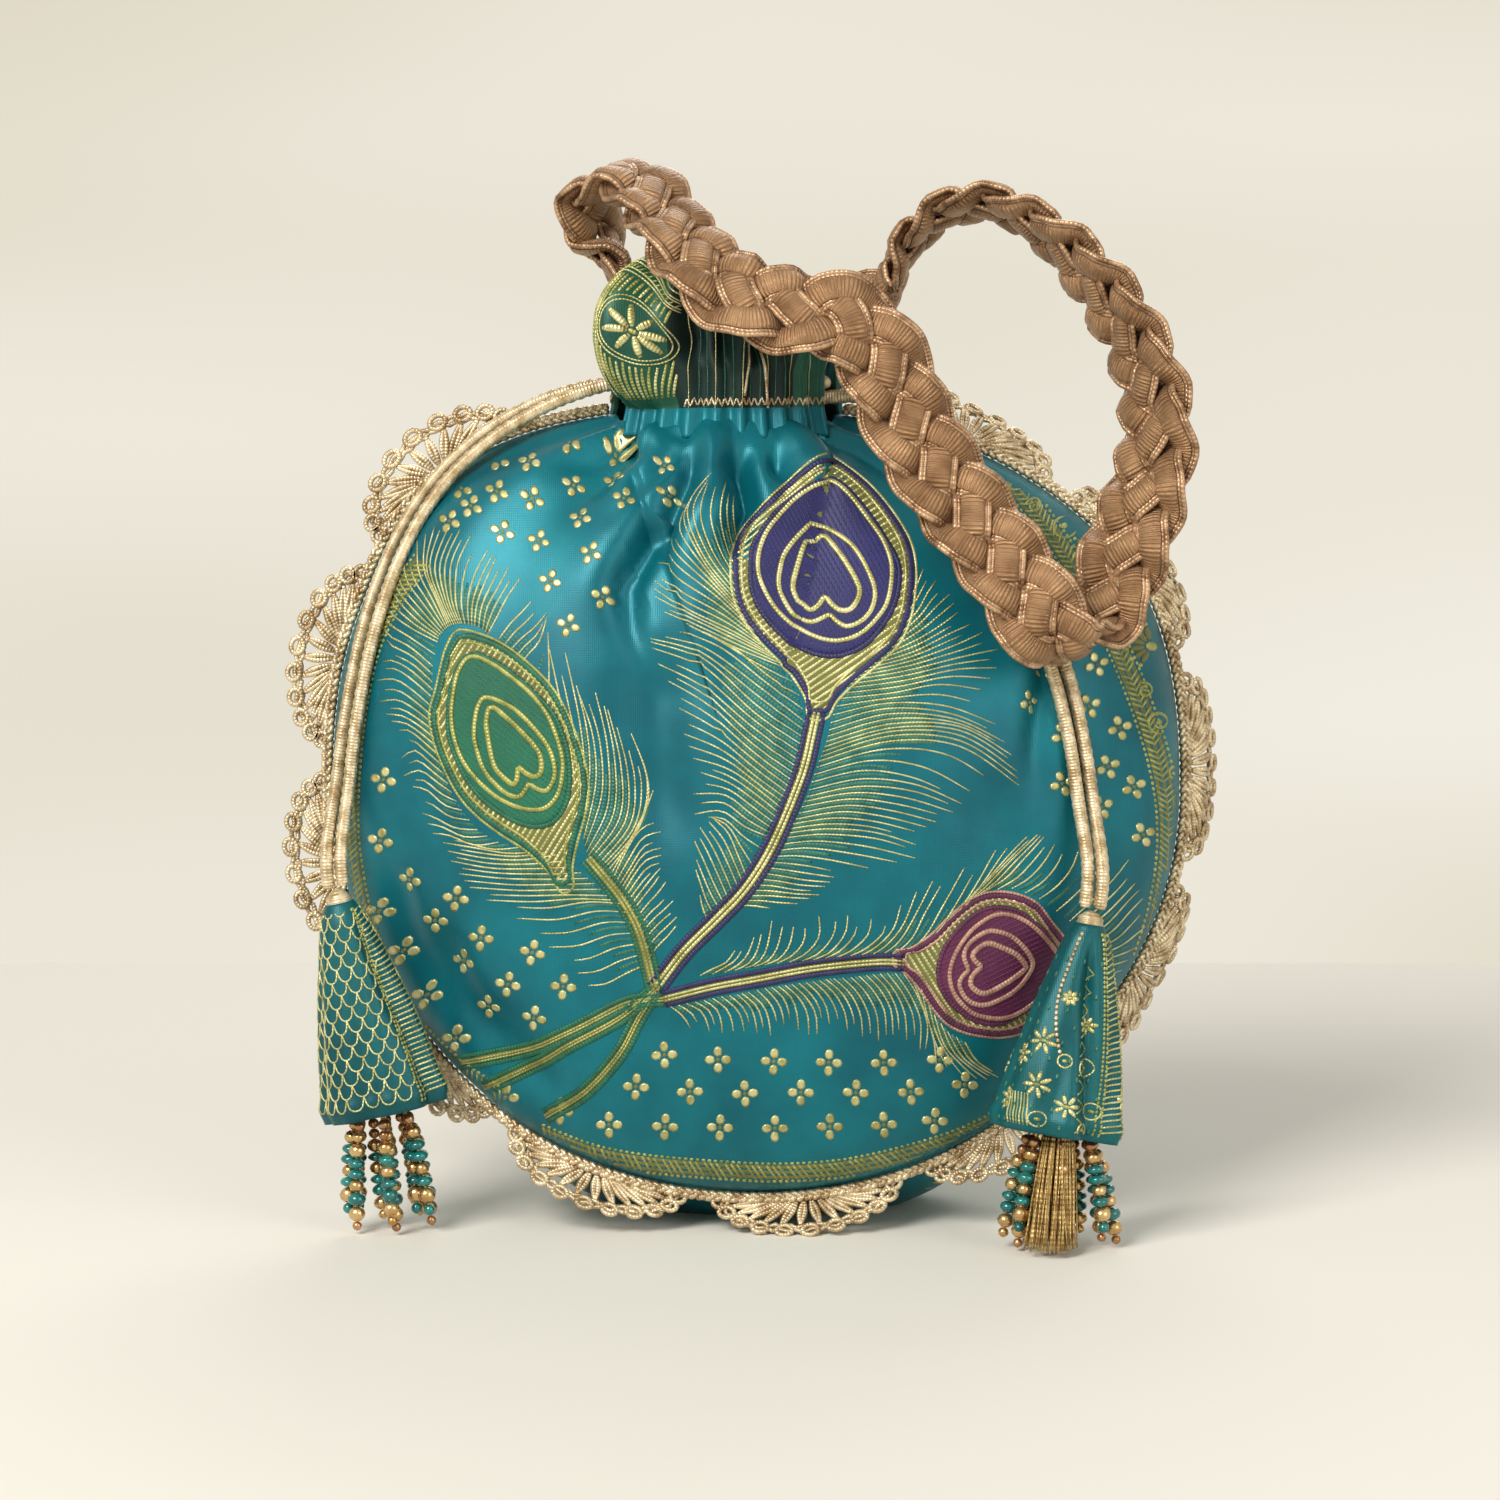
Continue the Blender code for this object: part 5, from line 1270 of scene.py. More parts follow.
def make_core(side, pivot, mouth):
    """The bound stem above and inside the cone, with the wound knot that the beads hang from."""
    origin, down, across, depth = tassel_frame(pivot, mouth)
    length = np.linalg.norm(np.array(mouth) - origin)
    foot = length - KNOT_ABOVE_MOUTH
    top = foot - KNOT_HEIGHT
    shape = Shape()
    share = np.linspace(0.0, 1.0, 90)
    along = -STEM_RADIUS + share * (foot + STEM_RADIUS)
    rounded = np.sqrt(np.clip(1.0 - (np.minimum(along, 0.0) / STEM_RADIUS) ** 2, 0.02, 1.0))
    knot = np.sin(math.pi * np.clip((along - top) / (1.15 * KNOT_HEIGHT), 0.0, 1.0))
    radius = STEM_RADIUS * rounded + (KNOT_RADIUS - STEM_RADIUS) * knot ** 0.7
    wound = 0.00018 * np.sin(along / 0.0007 * 2.0 * math.pi)
    turns = round_turn(CORE_SIDES)
    ring = across * np.cos(turns)[:, None] + depth * np.sin(turns)[:, None]
    points = (origin + down * along[:, None])[:, None, :] + (radius + wound)[:, None, None] * ring[None]
    shape.grid(points, 0, True, True, np.stack(np.broadcast_arrays(along[:, None], turns[None, :]), axis=-1))
    shape.cap(0, CORE_SIDES)
    shape.cap(shape.count - CORE_SIDES, CORE_SIDES, 0, True)
    shape.made(side + "_tassel_knot", [CORD], side + "_tassel", "gold_cord", [side + "_tassel_core"])


# The looks on a string of beads
STRING, YELLOW, COPPER, GREEN = range(4)

# Each bead is a look, a radius and a share of its height, from the knot down
STRAND_BEADS = [
    [(COPPER, 0.0014, 1.0), (YELLOW, 0.0016, 0.95), (YELLOW, 0.0021, 0.95), (GREEN, 0.0022, 0.62),
     (GREEN, 0.0022, 0.62), (YELLOW, 0.0019, 0.9), (GREEN, 0.0024, 0.75), (YELLOW, 0.0021, 0.95),
     (COPPER, 0.0012, 1.0)],
    [(COPPER, 0.0014, 1.0), (COPPER, 0.0014, 1.0), (YELLOW, 0.0020, 0.95), (GREEN, 0.0021, 0.6),
     (YELLOW, 0.0020, 0.9), (GREEN, 0.0022, 0.6), (GREEN, 0.0021, 0.8), (YELLOW, 0.0021, 0.9),
     (YELLOW, 0.0013, 1.0)],
    [(COPPER, 0.0014, 1.0), (YELLOW, 0.0020, 0.9), (GREEN, 0.0022, 0.6), (GREEN, 0.0023, 0.6),
     (YELLOW, 0.0018, 0.9), (GREEN, 0.0022, 0.6), (YELLOW, 0.0022, 0.95), (GREEN, 0.0014, 1.0)],
]


def make_strand(name, pivot, mouth, number, spread, replaced, order):
    """One string of beads: its thread and beads of gold, copper and teal."""
    origin, down, across, depth = tassel_frame(pivot, mouth)
    length = np.linalg.norm(np.array(mouth) - origin)
    turn = 2.0 * math.pi * (number + 0.5) / STRANDS_ROUND
    ring = across * math.cos(turn) * 1.15 + depth * math.sin(turn) * 0.62
    top = origin + down * (length - KNOT_ABOVE_MOUTH + 3.0 * FIT_GAP) + ring * (0.5 * KNOT_RADIUS)
    bottom = np.array(mouth) + np.array((0.0015, 0.0, 0.0)) + ring * spread
    bottom[2] = FLOOR_CLEARANCE + 0.9 * BEAD_RADIUS * (order % 3)
    middle = 0.5 * (top + bottom) + ring * 0.0012 + np.array((0.0, 0.0, 0.001))
    route, _, total = spline([top, middle, bottom], 0.0008)
    shape = Shape()
    shape.tube(route, carried_normals(route, (0.3, 0.9, 0.1)), ring_profile(0.00035, 5), 1.0, STRING)
    beads = STRAND_BEADS[order % len(STRAND_BEADS)]
    heights = np.array([2.0 * radius * flat for _, radius, flat in beads])
    room = total - KNOT_ABOVE_MOUTH - 0.0006
    squeeze = min(room / heights.sum(), 1.12)
    at = total
    along = distances(route)
    for (kind, radius, flat), height in zip(reversed(beads), reversed(list(heights))):
        at -= height * squeeze
        middle_at = at + 0.5 * height * squeeze
        centre = at_marks([middle_at], along, route)[0]
        step = max(1, int(middle_at / total * (len(route) - 1)))
        shape.ball(centre, radius, route[step] - route[step - 1], flat * min(squeeze, 1.0), kind)
    body = name.split("_")[0] + "_beads"
    shape.made(name, [ZARI, BEAD_GOLD, BEAD_COPPER, BEAD_TEAL], body, "beads", replaced)


def cone_radius(share):
    """The mean radius of a cone at a share of its length."""
    swell = share + 0.10 * np.sin(math.pi * share)
    return CONE_TOP_RADIUS + (0.5 * (CONE_HALF_WIDTH + CONE_HALF_DEPTH) - CONE_TOP_RADIUS) * swell


class ConePattern:
    """Threads and dots on a cone, in metres across from its front's middle line and down from its pivot."""

    def __init__(self, pivot, mouth, creases):
        self.shape = Shape()
        self.pivot = np.array(pivot)
        self.mouth = np.array(mouth)
        self.creases = creases
        self.length = float(np.linalg.norm(self.mouth - self.pivot))

    def offset(self, across, down):
        """How far round from the front's middle line a place is, as an angle."""
        return across / cone_radius(np.clip(down / self.length, 0.0, 1.0))

    def here(self, turn, share):
        return cone_points(self.pivot, self.mouth, turn, share, 0.0, self.creases)

    def place(self, across, down):
        """Points and normals on the cone."""
        share = np.clip(np.asarray(down, float) / self.length, 0.02, 0.985)
        turn = -0.5 * math.pi + np.asarray(across, float) / cone_radius(share)
        around = self.here(turn + 0.01, share) - self.here(turn - 0.01, share)
        along = self.here(turn, share + 0.004) - self.here(turn, share - 0.004)
        points = self.here(turn, share)
        normals = unit(np.cross(around, along))
        away = points - (self.pivot + (self.mouth - self.pivot) * share[..., None])
        return points, np.where(np.sum(normals * away, axis=-1)[..., None] < 0.0, -normals, normals)

    def thread(self, line, width, kind=0):
        """Draws the stretches of a line that lie on the cone without meeting at its back."""
        line = np.asarray(line, float)
        down = line[:, 1] / self.length
        kept = (np.abs(self.offset(*line.T)) < 3.05) & (down > 0.03) & (down < 0.975)
        for first, last in stretches(kept):
            if last - first > 1:
                laid_thread(self.shape, self.place, line[first:last], width, 0.00020, kind, 0.8)

    def dot(self, across, down, reach, rise, kind):
        laid_dot(self.shape, self.place, (across, down), reach, rise, kind)

    def border(self, low, high, pitch):
        """A strip down the cone between two turns from the front, with slanted stitches and beaded edges."""
        for down in np.arange(0.05 * self.length, 0.96 * self.length, pitch):
            radius = cone_radius(down / self.length)
            self.thread([(low * radius, down), (0.5 * (low + high) * radius, down - 0.5 * pitch),
                         (high * radius, down - pitch)], 0.00060)
        for turn in (low - 0.10, low, high):
            for down in np.arange(0.04 * self.length, 0.97 * self.length, 0.0011):
                self.dot(turn * cone_radius(down / self.length), down, (0.0, 0.00042, 0.00080), 0.00032, 1)

    def net(self, pitch, rows):
        """Rows of scales, apart from where the border is."""
        t = np.linspace(-1.0, 1.0, 9)
        drop = rows * np.sqrt(np.clip(1.0 - np.abs(t) ** 2.4, 0, 1))
        for row in range(int(self.length / rows) + 1):
            for column in range(-14, 15):
                middle = (column + 0.5 * (row % 2)) * pitch
                offset = self.offset(middle, row * rows)
                if -2.9 < offset < 0.66 or 1.55 < offset < 2.9:
                    self.thread(np.stack([middle + 0.5 * pitch * t, row * rows + drop], axis=1), 0.00052)

    def flower(self, across, down, size):
        for petal in range(7):
            angle = 2.0 * math.pi * petal / 7.0 + 100.0 * down
            x, y = size * math.cos(angle), size * math.sin(angle)
            self.dot(across + 0.60 * x, down + 0.60 * y, (0.36 * x, 0.36 * y, 0.0014), 0.00030, 0)
        self.dot(across, down, (0.25 * size, 0.0, 0.0011), 0.00034, 1)

    def small_dots(self):
        """A ground of small dots, apart from where the border is."""
        for row in range(11):
            for column in range(-9, 10):
                across, down = (column + 0.5 * (row % 2)) * 0.0042, 0.009 + 0.0040 * row
                offset = self.offset(across, down)
                if -2.0 < offset < 0.76 or 1.45 < offset < 2.9:
                    self.dot(across, down, (0.0, 0.0007, 0.0010), 0.00022, 3)


# Places on the right cone, in millimetres across and down, with a size
CONE_FLOWERS = [(-6.3, 29.0, 3.4), (0.8, 43.6, 3.0), (-5.9, 39.5, 3.4), (-2.0, 18.0, 2.0), (3.6, 24.0, 2.2),
                (-11.5, 33.0, 3.0), (-14.5, 44.0, 3.0), (17.0, 40.0, 3.2), (-20.0, 36.0, 3.0)]
CONE_RINGS = [(4.6, 34.0, 2.2), (8.0, 44.0, 2.0), (-1.0, 33.0, 1.6), (5.4, 48.6, 1.6), (-4.6, 47.6, 1.8)]
CONE_BEADED_LINE = [(-1.9, 2.5), (-3.4, 10.0), (-4.6, 18.0), (-4.0, 25.0), (-2.4, 31.0)]


def make_cone_pattern(side, pivot, mouth, creases):
    """Gold weave on a cone: a net of scales and a striped border, or flowers, leaves and borders."""
    made = ConePattern(pivot, mouth, creases)
    if side == "left":
        made.net(0.0034, 0.0031)
        made.border(0.78, 1.50, 0.0013)
    else:
        made.border(0.84, 1.36, 0.0014)
        made.border(-2.55, -2.1, 0.0014)
        for across, down, size in np.array(CONE_FLOWERS) / 1000.0:
            if abs(made.offset(across, down)) <= 2.9:
                made.flower(across, down, size)
        for across, down, size in np.array(CONE_RINGS) / 1000.0:
            made.thread(ring_of((across, down), size, size, 18), 0.00060)
            made.dot(across, down, (0.0006, 0.0, 0.0011), 0.00034, 1)
        for stripe in range(7):
            start = -0.0126 + 0.00085 * stripe
            line = [(start + 0.0012 * t, 0.042 + 0.0075 * t) for t in np.linspace(0.0, 1.0, 8)]
            made.thread(line, 0.00055, stripe % 2)
        made.small_dots()
        for across, down in curved(np.array(CONE_BEADED_LINE) / 1000.0, 22):
            made.dot(across, down, (0.0, 0.00055, 0.00110), 0.00050, 2)
        for number in range(9):
            down = 0.010 + 0.0045 * number
            left, right = 0.0012 + 0.00025 * number, 0.0030 + 0.00035 * number
            made.thread([(left, down), (right, down + 0.0016), (left, down + 0.0034)], 0.00050, 1)
    made.shape.made(side + "_tassel_brocade", [GOLD, LIME, LACE, HAZE], side + "_tassel", "gold_thread")


# The turn and reach of each further string of beads
EXTRA_STRANDS = {"left": ((0.5, 1.15), (2.5, 1.1), (4.1, 0.75), (1.6, 0.45), (5.3, 0.55)),
                 "right": ((2.5, 1.15), (3.1, 1.05), (-0.4, 1.15), (0.5, 0.85), (5.3, 0.9), (2.8, 0.7))}


def make_tassel(side, pivot, mouth, spread, creases):
    """A cone with its weave, its knot and its strings of beads."""
    make_cone(side, pivot, mouth, creases)
    make_cone_pattern(side, pivot, mouth, creases)
    make_core(side, pivot, mouth)
    for number in range(STRANDS_ROUND):
        make_strand(f"{side}_beads_{number + 1}", pivot, mouth, number, spread,
                    [f"{side}_bead_strand_{number + 1}"], number)
    for number, (place, reach) in enumerate(EXTRA_STRANDS[side]):
        make_strand(f"{side}_beads_{number + 7}", pivot, mouth, place, spread * reach, [], number + 1)


make_tassel("left", LEFT_PIVOT, LEFT_MOUTH, 0.0092, LEFT_CREASES)
make_tassel("right", RIGHT_PIVOT, RIGHT_MOUTH, 0.0106, RIGHT_CREASES)


FRINGE_THREADS = 230


def make_fringe():
    """The bunch of metal thread between the bead strings of the right tassel."""
    origin, down, _, _ = tassel_frame(RIGHT_PIVOT, RIGHT_MOUTH)
    length = np.linalg.norm(np.array(RIGHT_MOUTH) - origin)
    top = origin + down * (length - KNOT_ABOVE_MOUTH + 3.0 * FIT_GAP)
    bottom = np.array(RIGHT_MOUTH) + np.array((-0.0012, -0.0060, 0.0))
    chance = np.random.default_rng(11)
    shape = Shape()
    for _ in range(FRINGE_THREADS):
        turn = chance.uniform(0.0, 2.0 * math.pi)
        away = math.sqrt(chance.uniform(0.0, 1.0))
        start = top + np.array((math.cos(turn), math.sin(turn), 0.0)) * 0.0024 * away
        end = bottom + np.array((math.cos(turn), math.sin(turn), 0.0)) * 0.0066 * away
        end[2] = FLOOR_CLEARANCE + 0.0006 + 0.0030 * chance.uniform(0.0, 1.0) ** 2
        middle = 0.5 * (start + end) + chance.normal(0.0, 0.0005, 3)
        route = spline([start, middle, end], 0.0035)[0]
        shape.tube(route, carried_normals(route, (0.5, 0.8, 0.1)), ring_profile(0.00020, 3))
    shape.made("right_fringe_threads", [ZARI], "right_beads", "gold_thread", ["right_thread_fringe"])


make_fringe()


# The woven pattern, drawn at places of the camera's 1500 by 1500 picture

PATTERN_EDGE = 0.983
PATTERN_FLOOR = 0.005

# The looks of the pattern's threads, and the place of each in this list
THREAD_LOOKS = [GOLD, HAZE, OLIVE, NAVY, LEAF, PLUM, DARK_BLUE, DARK_GREEN, DARK_RED, LIME, ROSE]
(IN_GOLD, IN_HAZE, IN_OLIVE, IN_NAVY, IN_LEAF, IN_PLUM, IN_DARK_BLUE, IN_DARK_GREEN, IN_DARK_RED, IN_LIME,
 IN_ROSE) = range(len(THREAD_LOOKS))


def inside(polygon, spots):
    """Whether spots lie inside a polygon."""
    corners = np.asarray(polygon, float)
    after = np.roll(corners, -1, axis=0)
    x, y = spots[..., 0, None], spots[..., 1, None]
    crosses = (corners[:, 1] > y) != (after[:, 1] > y)
    rise = np.where(np.abs(after[:, 1] - corners[:, 1]) < 1e-9, 1e-9, after[:, 1] - corners[:, 1])
    at = corners[:, 0] + (y - corners[:, 1]) / rise * (after[:, 0] - corners[:, 0])
    return np.sum(crosses & (x < at), axis=-1) % 2 == 1


def closed_curve(points, step):
    """Evenly spaced points on a smooth closed curve through the given ones."""
    loop = [tuple(point) for point in points]
    route, marks, _ = spline(loop[-2:] + loop + loop[:3], step)
    kept = (marks >= 2.0) & (marks < 2.0 + len(loop) - 1e-6)
    return route[kept]


class Pattern:
    """Threads, patches and dots woven into the front panel, and mirrored into the back one."""

    def __init__(self):
        self.threads = []
        self.patches = []
        self.dots = []

    def thread(self, spots, width, kind, rise=0.20, lift=0.0, taper=0.45, closed=False, step=8.0):
        """A thread; its width is in pixels of the picture, its rise and lift in millimetres."""
        route = closed_curve(spots, step) if closed else spline(spots, step)[0]
        self.threads.append((route, width * PIXEL, kind, rise / 1000.0, lift / 1000.0, taper, closed))

    def patch(self, outline, centre, kind, lift):
        """A filled shape round its centre."""
        edge = closed_curve(outline, 9.0)
        rings = np.linspace(0.02, 1.0, 15)[:, None, None]
        self.patches.append((np.asarray(centre) + (edge - centre)[None] * rings, kind, lift / 1000.0))

    def dot(self, x, y, rx, ry, turn, kind, rise=0.22):
        """A small raised oval."""
        self.dots.append((x, y, rx, ry, math.radians(turn), kind, rise / 1000.0))

    def flower(self, x, y, size, turn):
        """Four petals round a small middle."""
        for petal in range(4):
            angle = math.radians(turn + 90.0 * petal)
            self.dot(x + size * math.cos(angle), y + size * math.sin(angle), 0.66 * size, 0.56 * size,
                     turn + 90.0 * petal, IN_GOLD, 0.12)
        self.dot(x, y, 0.26 * size, 0.26 * size, 0.0, IN_OLIVE, 0.12)

    def family(self, rows, count, kind, width, share=1.0, offset=0.0, rise=0.20):
        """Threads that change evenly from each of the drawn ones to the next."""
        rows = np.array(rows, float).reshape(len(rows), -1, 2)
        for number in range(count):
            at = min((number + offset) / (count - 1) * (len(rows) - 1), len(rows) - 1.0)
            low = min(int(at), len(rows) - 2)
            curve = rows[low] * (1.0 - at + low) + rows[low + 1] * (at - low)
            route = spline(curve, 8.0)[0]
            wave = 1.0 - 0.10 * (number * 7 % 5) / 4.0
            last = max(3, int(len(route) * share * (wave if number % 2 else 1.0)))
            self.thread(route[:last], width, kind, rise)

    def hatched(self, outer, inner, pitch, slope, width, kind, lift, rise=0.12):
        """Parallel threads across the room between two outlines, or all over one."""
        outer = np.asarray(outer, float)
        middle = outer.mean(axis=0)
        way = np.array((math.cos(math.radians(slope)), -math.sin(math.radians(slope))))
        side = np.array((-way[1], way[0]))
        reach = np.max(np.linalg.norm(outer - middle, axis=1))
        along = np.arange(-reach, reach, 2.0)
        for away in np.arange(-reach, reach, pitch):
            spots = middle + side * away + way * along[:, None]
            kept = inside(outer, spots)
            if inner is not None:
                kept = kept & ~inside(inner, spots)
            for start, end in stretches(kept):
                if end - start >= 3:
                    self.thread([spots[start], spots[end - 1]], width, kind, rise, lift, 0.8)

    def woven(self, panel, name):
        """Lays all of the pattern on a panel, apart from what would lie past its edge or on the floor."""
        shape = Shape()
        dots = np.array(self.dots, float)
        turns = round_turn(8)
        rings = []
        for reach in (0.55, 1.0, 0.8):
            x = dots[:, 2, None] * reach * np.cos(turns)
            y = dots[:, 3, None] * reach * np.sin(turns)
            cosine, sine = np.cos(dots[:, 4, None]), np.sin(dots[:, 4, None])
            rings.append(np.stack([dots[:, 0, None] + x * cosine - y * sine,
                                   dots[:, 1, None] + x * sine + y * cosine], axis=-1))
        rings = np.stack(rings, axis=1)
        groups = [route for route, *_ in self.threads] + [grid.reshape(-1, 2) for grid, *_ in self.patches]
        groups.append(rings.reshape(-1, 2))
        x, z = seen_on(FRONT, np.concatenate(groups))
        if panel.side > 0:
            x = 2.0 * BODY_OFFSET - x
        share = panel.polar(x, z)[2]
        points, normals = panel.place(x, z)
        share = np.where(points[:, 2] < PATTERN_FLOOR, 1.0, share)
        first = 0
        for route, width, kind, rise, lift, taper, closed in self.threads:
            part = slice(first, first + len(route))
            first += len(route)
            kept = share[part] < PATTERN_EDGE
            if not kept.all():
                runs = stretches(kept)
                if not runs:
                    continue
                start, end = max(runs, key=lambda run: run[1] - run[0])
                part = slice(part.start + start, part.start + end)
                closed = False
            count = part.stop - part.start
            if count < 2:
                continue
            ends = 1.0 if closed else tapered(taper, count)
            line = points[part] + normals[part] * lift
            shape.tube(line, normals[part], thread_profile(width, rise), ends, kind, closed)
        for grid, kind, lift in self.patches:
            rows, columns = grid.shape[:2]
            part = slice(first, first + rows * columns)
            first += rows * columns
            if share[part].max() > PATTERN_EDGE:
                continue
            here = points[part].reshape(rows, columns, 3)
            out = normals[part].reshape(rows, columns, 3)
            self.closed_fill(shape, [here + out * lift, (here - out * SUNK)[::-1]], panel, kind)
        rows = points[first:].reshape(len(dots), 3, 8, 3)
        out = normals[first:].reshape(len(dots), 3, 8, 3)
        seen = share[first:].reshape(len(dots), -1).max(axis=1) < PATTERN_EDGE
        for number in np.flatnonzero(seen):
            kind, rise = int(dots[number, 5]), dots[number, 6]
            lifts = np.array((rise, 0.25 * rise, -SUNK))[:, None, None]
            self.closed_fill(shape, [rows[number] + out[number] * lifts], panel, kind)
        shape.made(name, THREAD_LOOKS, "bag", "gold_thread")

    @staticmethod
    def closed_fill(shape, layers, panel, kind):
        """Rings of points that close over a shape, with a small face at each end."""
        rows = np.concatenate(layers)
        edge = layers[0][-1]
        x, z = edge[:, 0], edge[:, 2]
        area = np.sum(x * np.roll(z, -1) - np.roll(x, -1) * z)
        flip = (area > 0.0) == (panel.side < 0)
        count = rows.shape[1]
        shape.grid(rows, kind, True, flip)
        shape.cap(shape.count - len(rows) * count, count, kind, not flip)
        shape.cap(shape.count - count, count, kind, flip)


# One feather eye, in hundredths of its half width and half height, with its stem below
EYE_RIM = [(0, -118), (38, -102), (66, -82), (93, -53), (110, -26), (116, 3), (114, 32), (108, 59),
           (94, 85), (68, 107), (38, 128), (14, 148), (2, 166), (-22, 166), (-26, 144), (-50, 112),
           (-80, 86), (-105, 59), (-119, 32), (-122, -3), (-118, -29), (-106, -53), (-80, -72), (-54, -92),
           (-30, -108)]
EYE_FILL = [(0, -97), (27, -85), (58, -59), (82, -29), (98, -3), (99, 21), (93, 44), (79, 67), (58, 88),
            (34, 100), (10, 104), (-18, 100), (-45, 88), (-69, 70), (-90, 47), (-100, 23), (-101, -3),
            (-97, -26), (-82, -47), (-62, -68), (-31, -88)]
EYE_RING = [(0, -94), (28, -80), (55, -55), (77, -29), (88, -3), (88, 20), (82, 44), (69, 61), (51, 76),
            (31, 84), (10, 86), (-14, 81), (-38, 70), (-62, 53), (-79, 32), (-90, 9), (-90, -15),
            (-79, -41), (-58, -64), (-31, -85)]
EYE_PEAR = [(-6, -48), (17, -37), (38, -21), (55, 3), (66, 29), (62, 50), (48, 64), (29, 70), (15, 64),
            (5, 56), (-5, 60), (-21, 64), (-40, 56), (-55, 38), (-62, 18), (-55, -12), (-38, -32),
            (-21, -44)]
EYE_HEART = [(-2, -37), (14, -21), (28, -3), (43, 21), (45, 35), (34, 50), (19, 51), (7, 43), (-1, 35),
             (-9, 44), (-21, 50), (-34, 38), (-41, 23), (-34, 0), (-24, -21), (-14, -31)]

# The threads of the feathers, each through four places of the picture from its quill to its tip
BLUE_RIGHT = [
    (908, 603, 913, 593, 918, 583, 924, 568), (905, 624, 918, 611, 928, 593, 937, 580),
    (896, 642, 920, 624, 938, 606, 951, 594), (887, 654, 920, 639, 943, 625, 959, 613),
    (874, 664, 915, 652, 951, 634, 972, 625), (864, 672, 910, 662, 954, 647, 984, 633),
    (854, 680, 905, 672, 959, 659, 1000, 651), (846, 689, 903, 682, 956, 671, 997, 670),
    (839, 700, 890, 695, 936, 687, 979, 693), (832, 718, 887, 705, 948, 710, 1000, 731),
    (829, 733, 890, 716, 956, 721, 1007, 745), (826, 744, 892, 726, 961, 728, 1014, 758),
    (822, 754, 892, 733, 961, 738, 1019, 775), (818, 764, 890, 744, 959, 749, 1021, 789),
    (813, 779, 864, 767, 910, 774, 951, 792), (808, 795, 862, 784, 918, 789, 967, 809),
    (803, 805, 852, 797, 900, 802, 947, 814), (797, 818, 844, 810, 887, 815, 931, 826),
    (790, 828, 829, 823, 867, 825, 905, 834), (786, 837, 826, 833, 879, 837, 922, 851),
    (779, 850, 812, 847, 859, 853, 912, 863), (771, 862, 789, 863, 812, 866, 839, 872),
    (763, 873, 783, 876, 806, 880, 831, 882), (754, 885, 773, 886, 796, 890, 820, 891),
    (748, 896, 769, 896, 793, 898, 819, 899), (741, 906, 753, 906, 766, 908, 777, 909),
]
BLUE_LEFT = [
    (742, 547, 737, 529, 733, 504, 734, 481), (738, 573, 727, 547, 719, 514, 725, 473),
    (739, 591, 711, 552, 698, 514, 705, 481), (742, 603, 701, 555, 684, 501, 712, 466),
    (746, 616, 711, 578, 678, 539, 671, 517), (755, 629, 716, 593, 676, 560, 664, 542),
    (762, 642, 724, 613, 678, 588, 654, 568), (770, 652, 732, 629, 686, 608, 653, 585),
    (778, 659, 737, 639, 693, 619, 655, 603), (785, 667, 747, 652, 706, 634, 673, 619),
    (801, 698, 770, 677, 734, 647, 698, 629), (806, 726, 760, 690, 701, 649, 650, 635),
    (804, 741, 757, 710, 704, 662, 650, 642), (802, 759, 752, 723, 701, 682, 655, 659),
    (799, 774, 752, 741, 706, 700, 665, 675), (794, 789, 757, 761, 714, 726, 678, 705),
    (789, 800, 757, 777, 721, 749, 683, 733), (783, 810, 757, 789, 727, 769, 693, 759),
    (778, 820, 755, 802, 729, 784, 701, 774), (771, 830, 749, 815, 724, 797, 692, 798),
    (766, 838, 744, 830, 721, 815, 695, 819), (749, 876, 740, 853, 730, 830, 715, 817),
    (740, 886, 730, 863, 720, 843, 706, 825), (730, 900, 720, 876, 708, 850, 696, 830),
    (721, 910, 711, 893, 701, 870, 693, 851), (708, 920, 703, 910, 700, 896, 698, 887),
]
PLUM_ABOVE = [
    (700, 976, 713, 969, 726, 963, 735, 951), (723, 973, 736, 966, 746, 956, 753, 939),
    (743, 969, 756, 963, 764, 949, 769, 920), (759, 966, 773, 961, 783, 949, 789, 930),
    (783, 963, 799, 954, 811, 939, 810, 918), (806, 961, 824, 953, 839, 933, 841, 913),
    (826, 959, 842, 951, 856, 936, 860, 920), (846, 958, 866, 949, 884, 933, 886, 918),
    (869, 956, 885, 946, 902, 926, 915, 893), (892, 954, 909, 939, 922, 913, 945, 873),
    (915, 953, 935, 933, 952, 906, 975, 866), (932, 939, 955, 920, 982, 886, 1008, 847),
    (948, 920, 972, 896, 1002, 870, 1035, 835), (965, 905, 992, 886, 1015, 863, 1040, 835),
    (988, 893, 1011, 880, 1028, 860, 1046, 837), (1015, 891, 1031, 880, 1045, 863, 1055, 845),
    (1038, 898, 1055, 885, 1068, 868, 1074, 850), (1068, 920, 1088, 901, 1111, 878, 1128, 856),
    (1081, 930, 1104, 911, 1121, 895, 1134, 880), (1094, 939, 1111, 926, 1128, 906, 1141, 893),
    (1104, 949, 1121, 939, 1134, 926, 1147, 911), (1111, 959, 1128, 953, 1144, 944, 1158, 938),
    (1114, 973, 1128, 968, 1141, 962, 1153, 956),
]
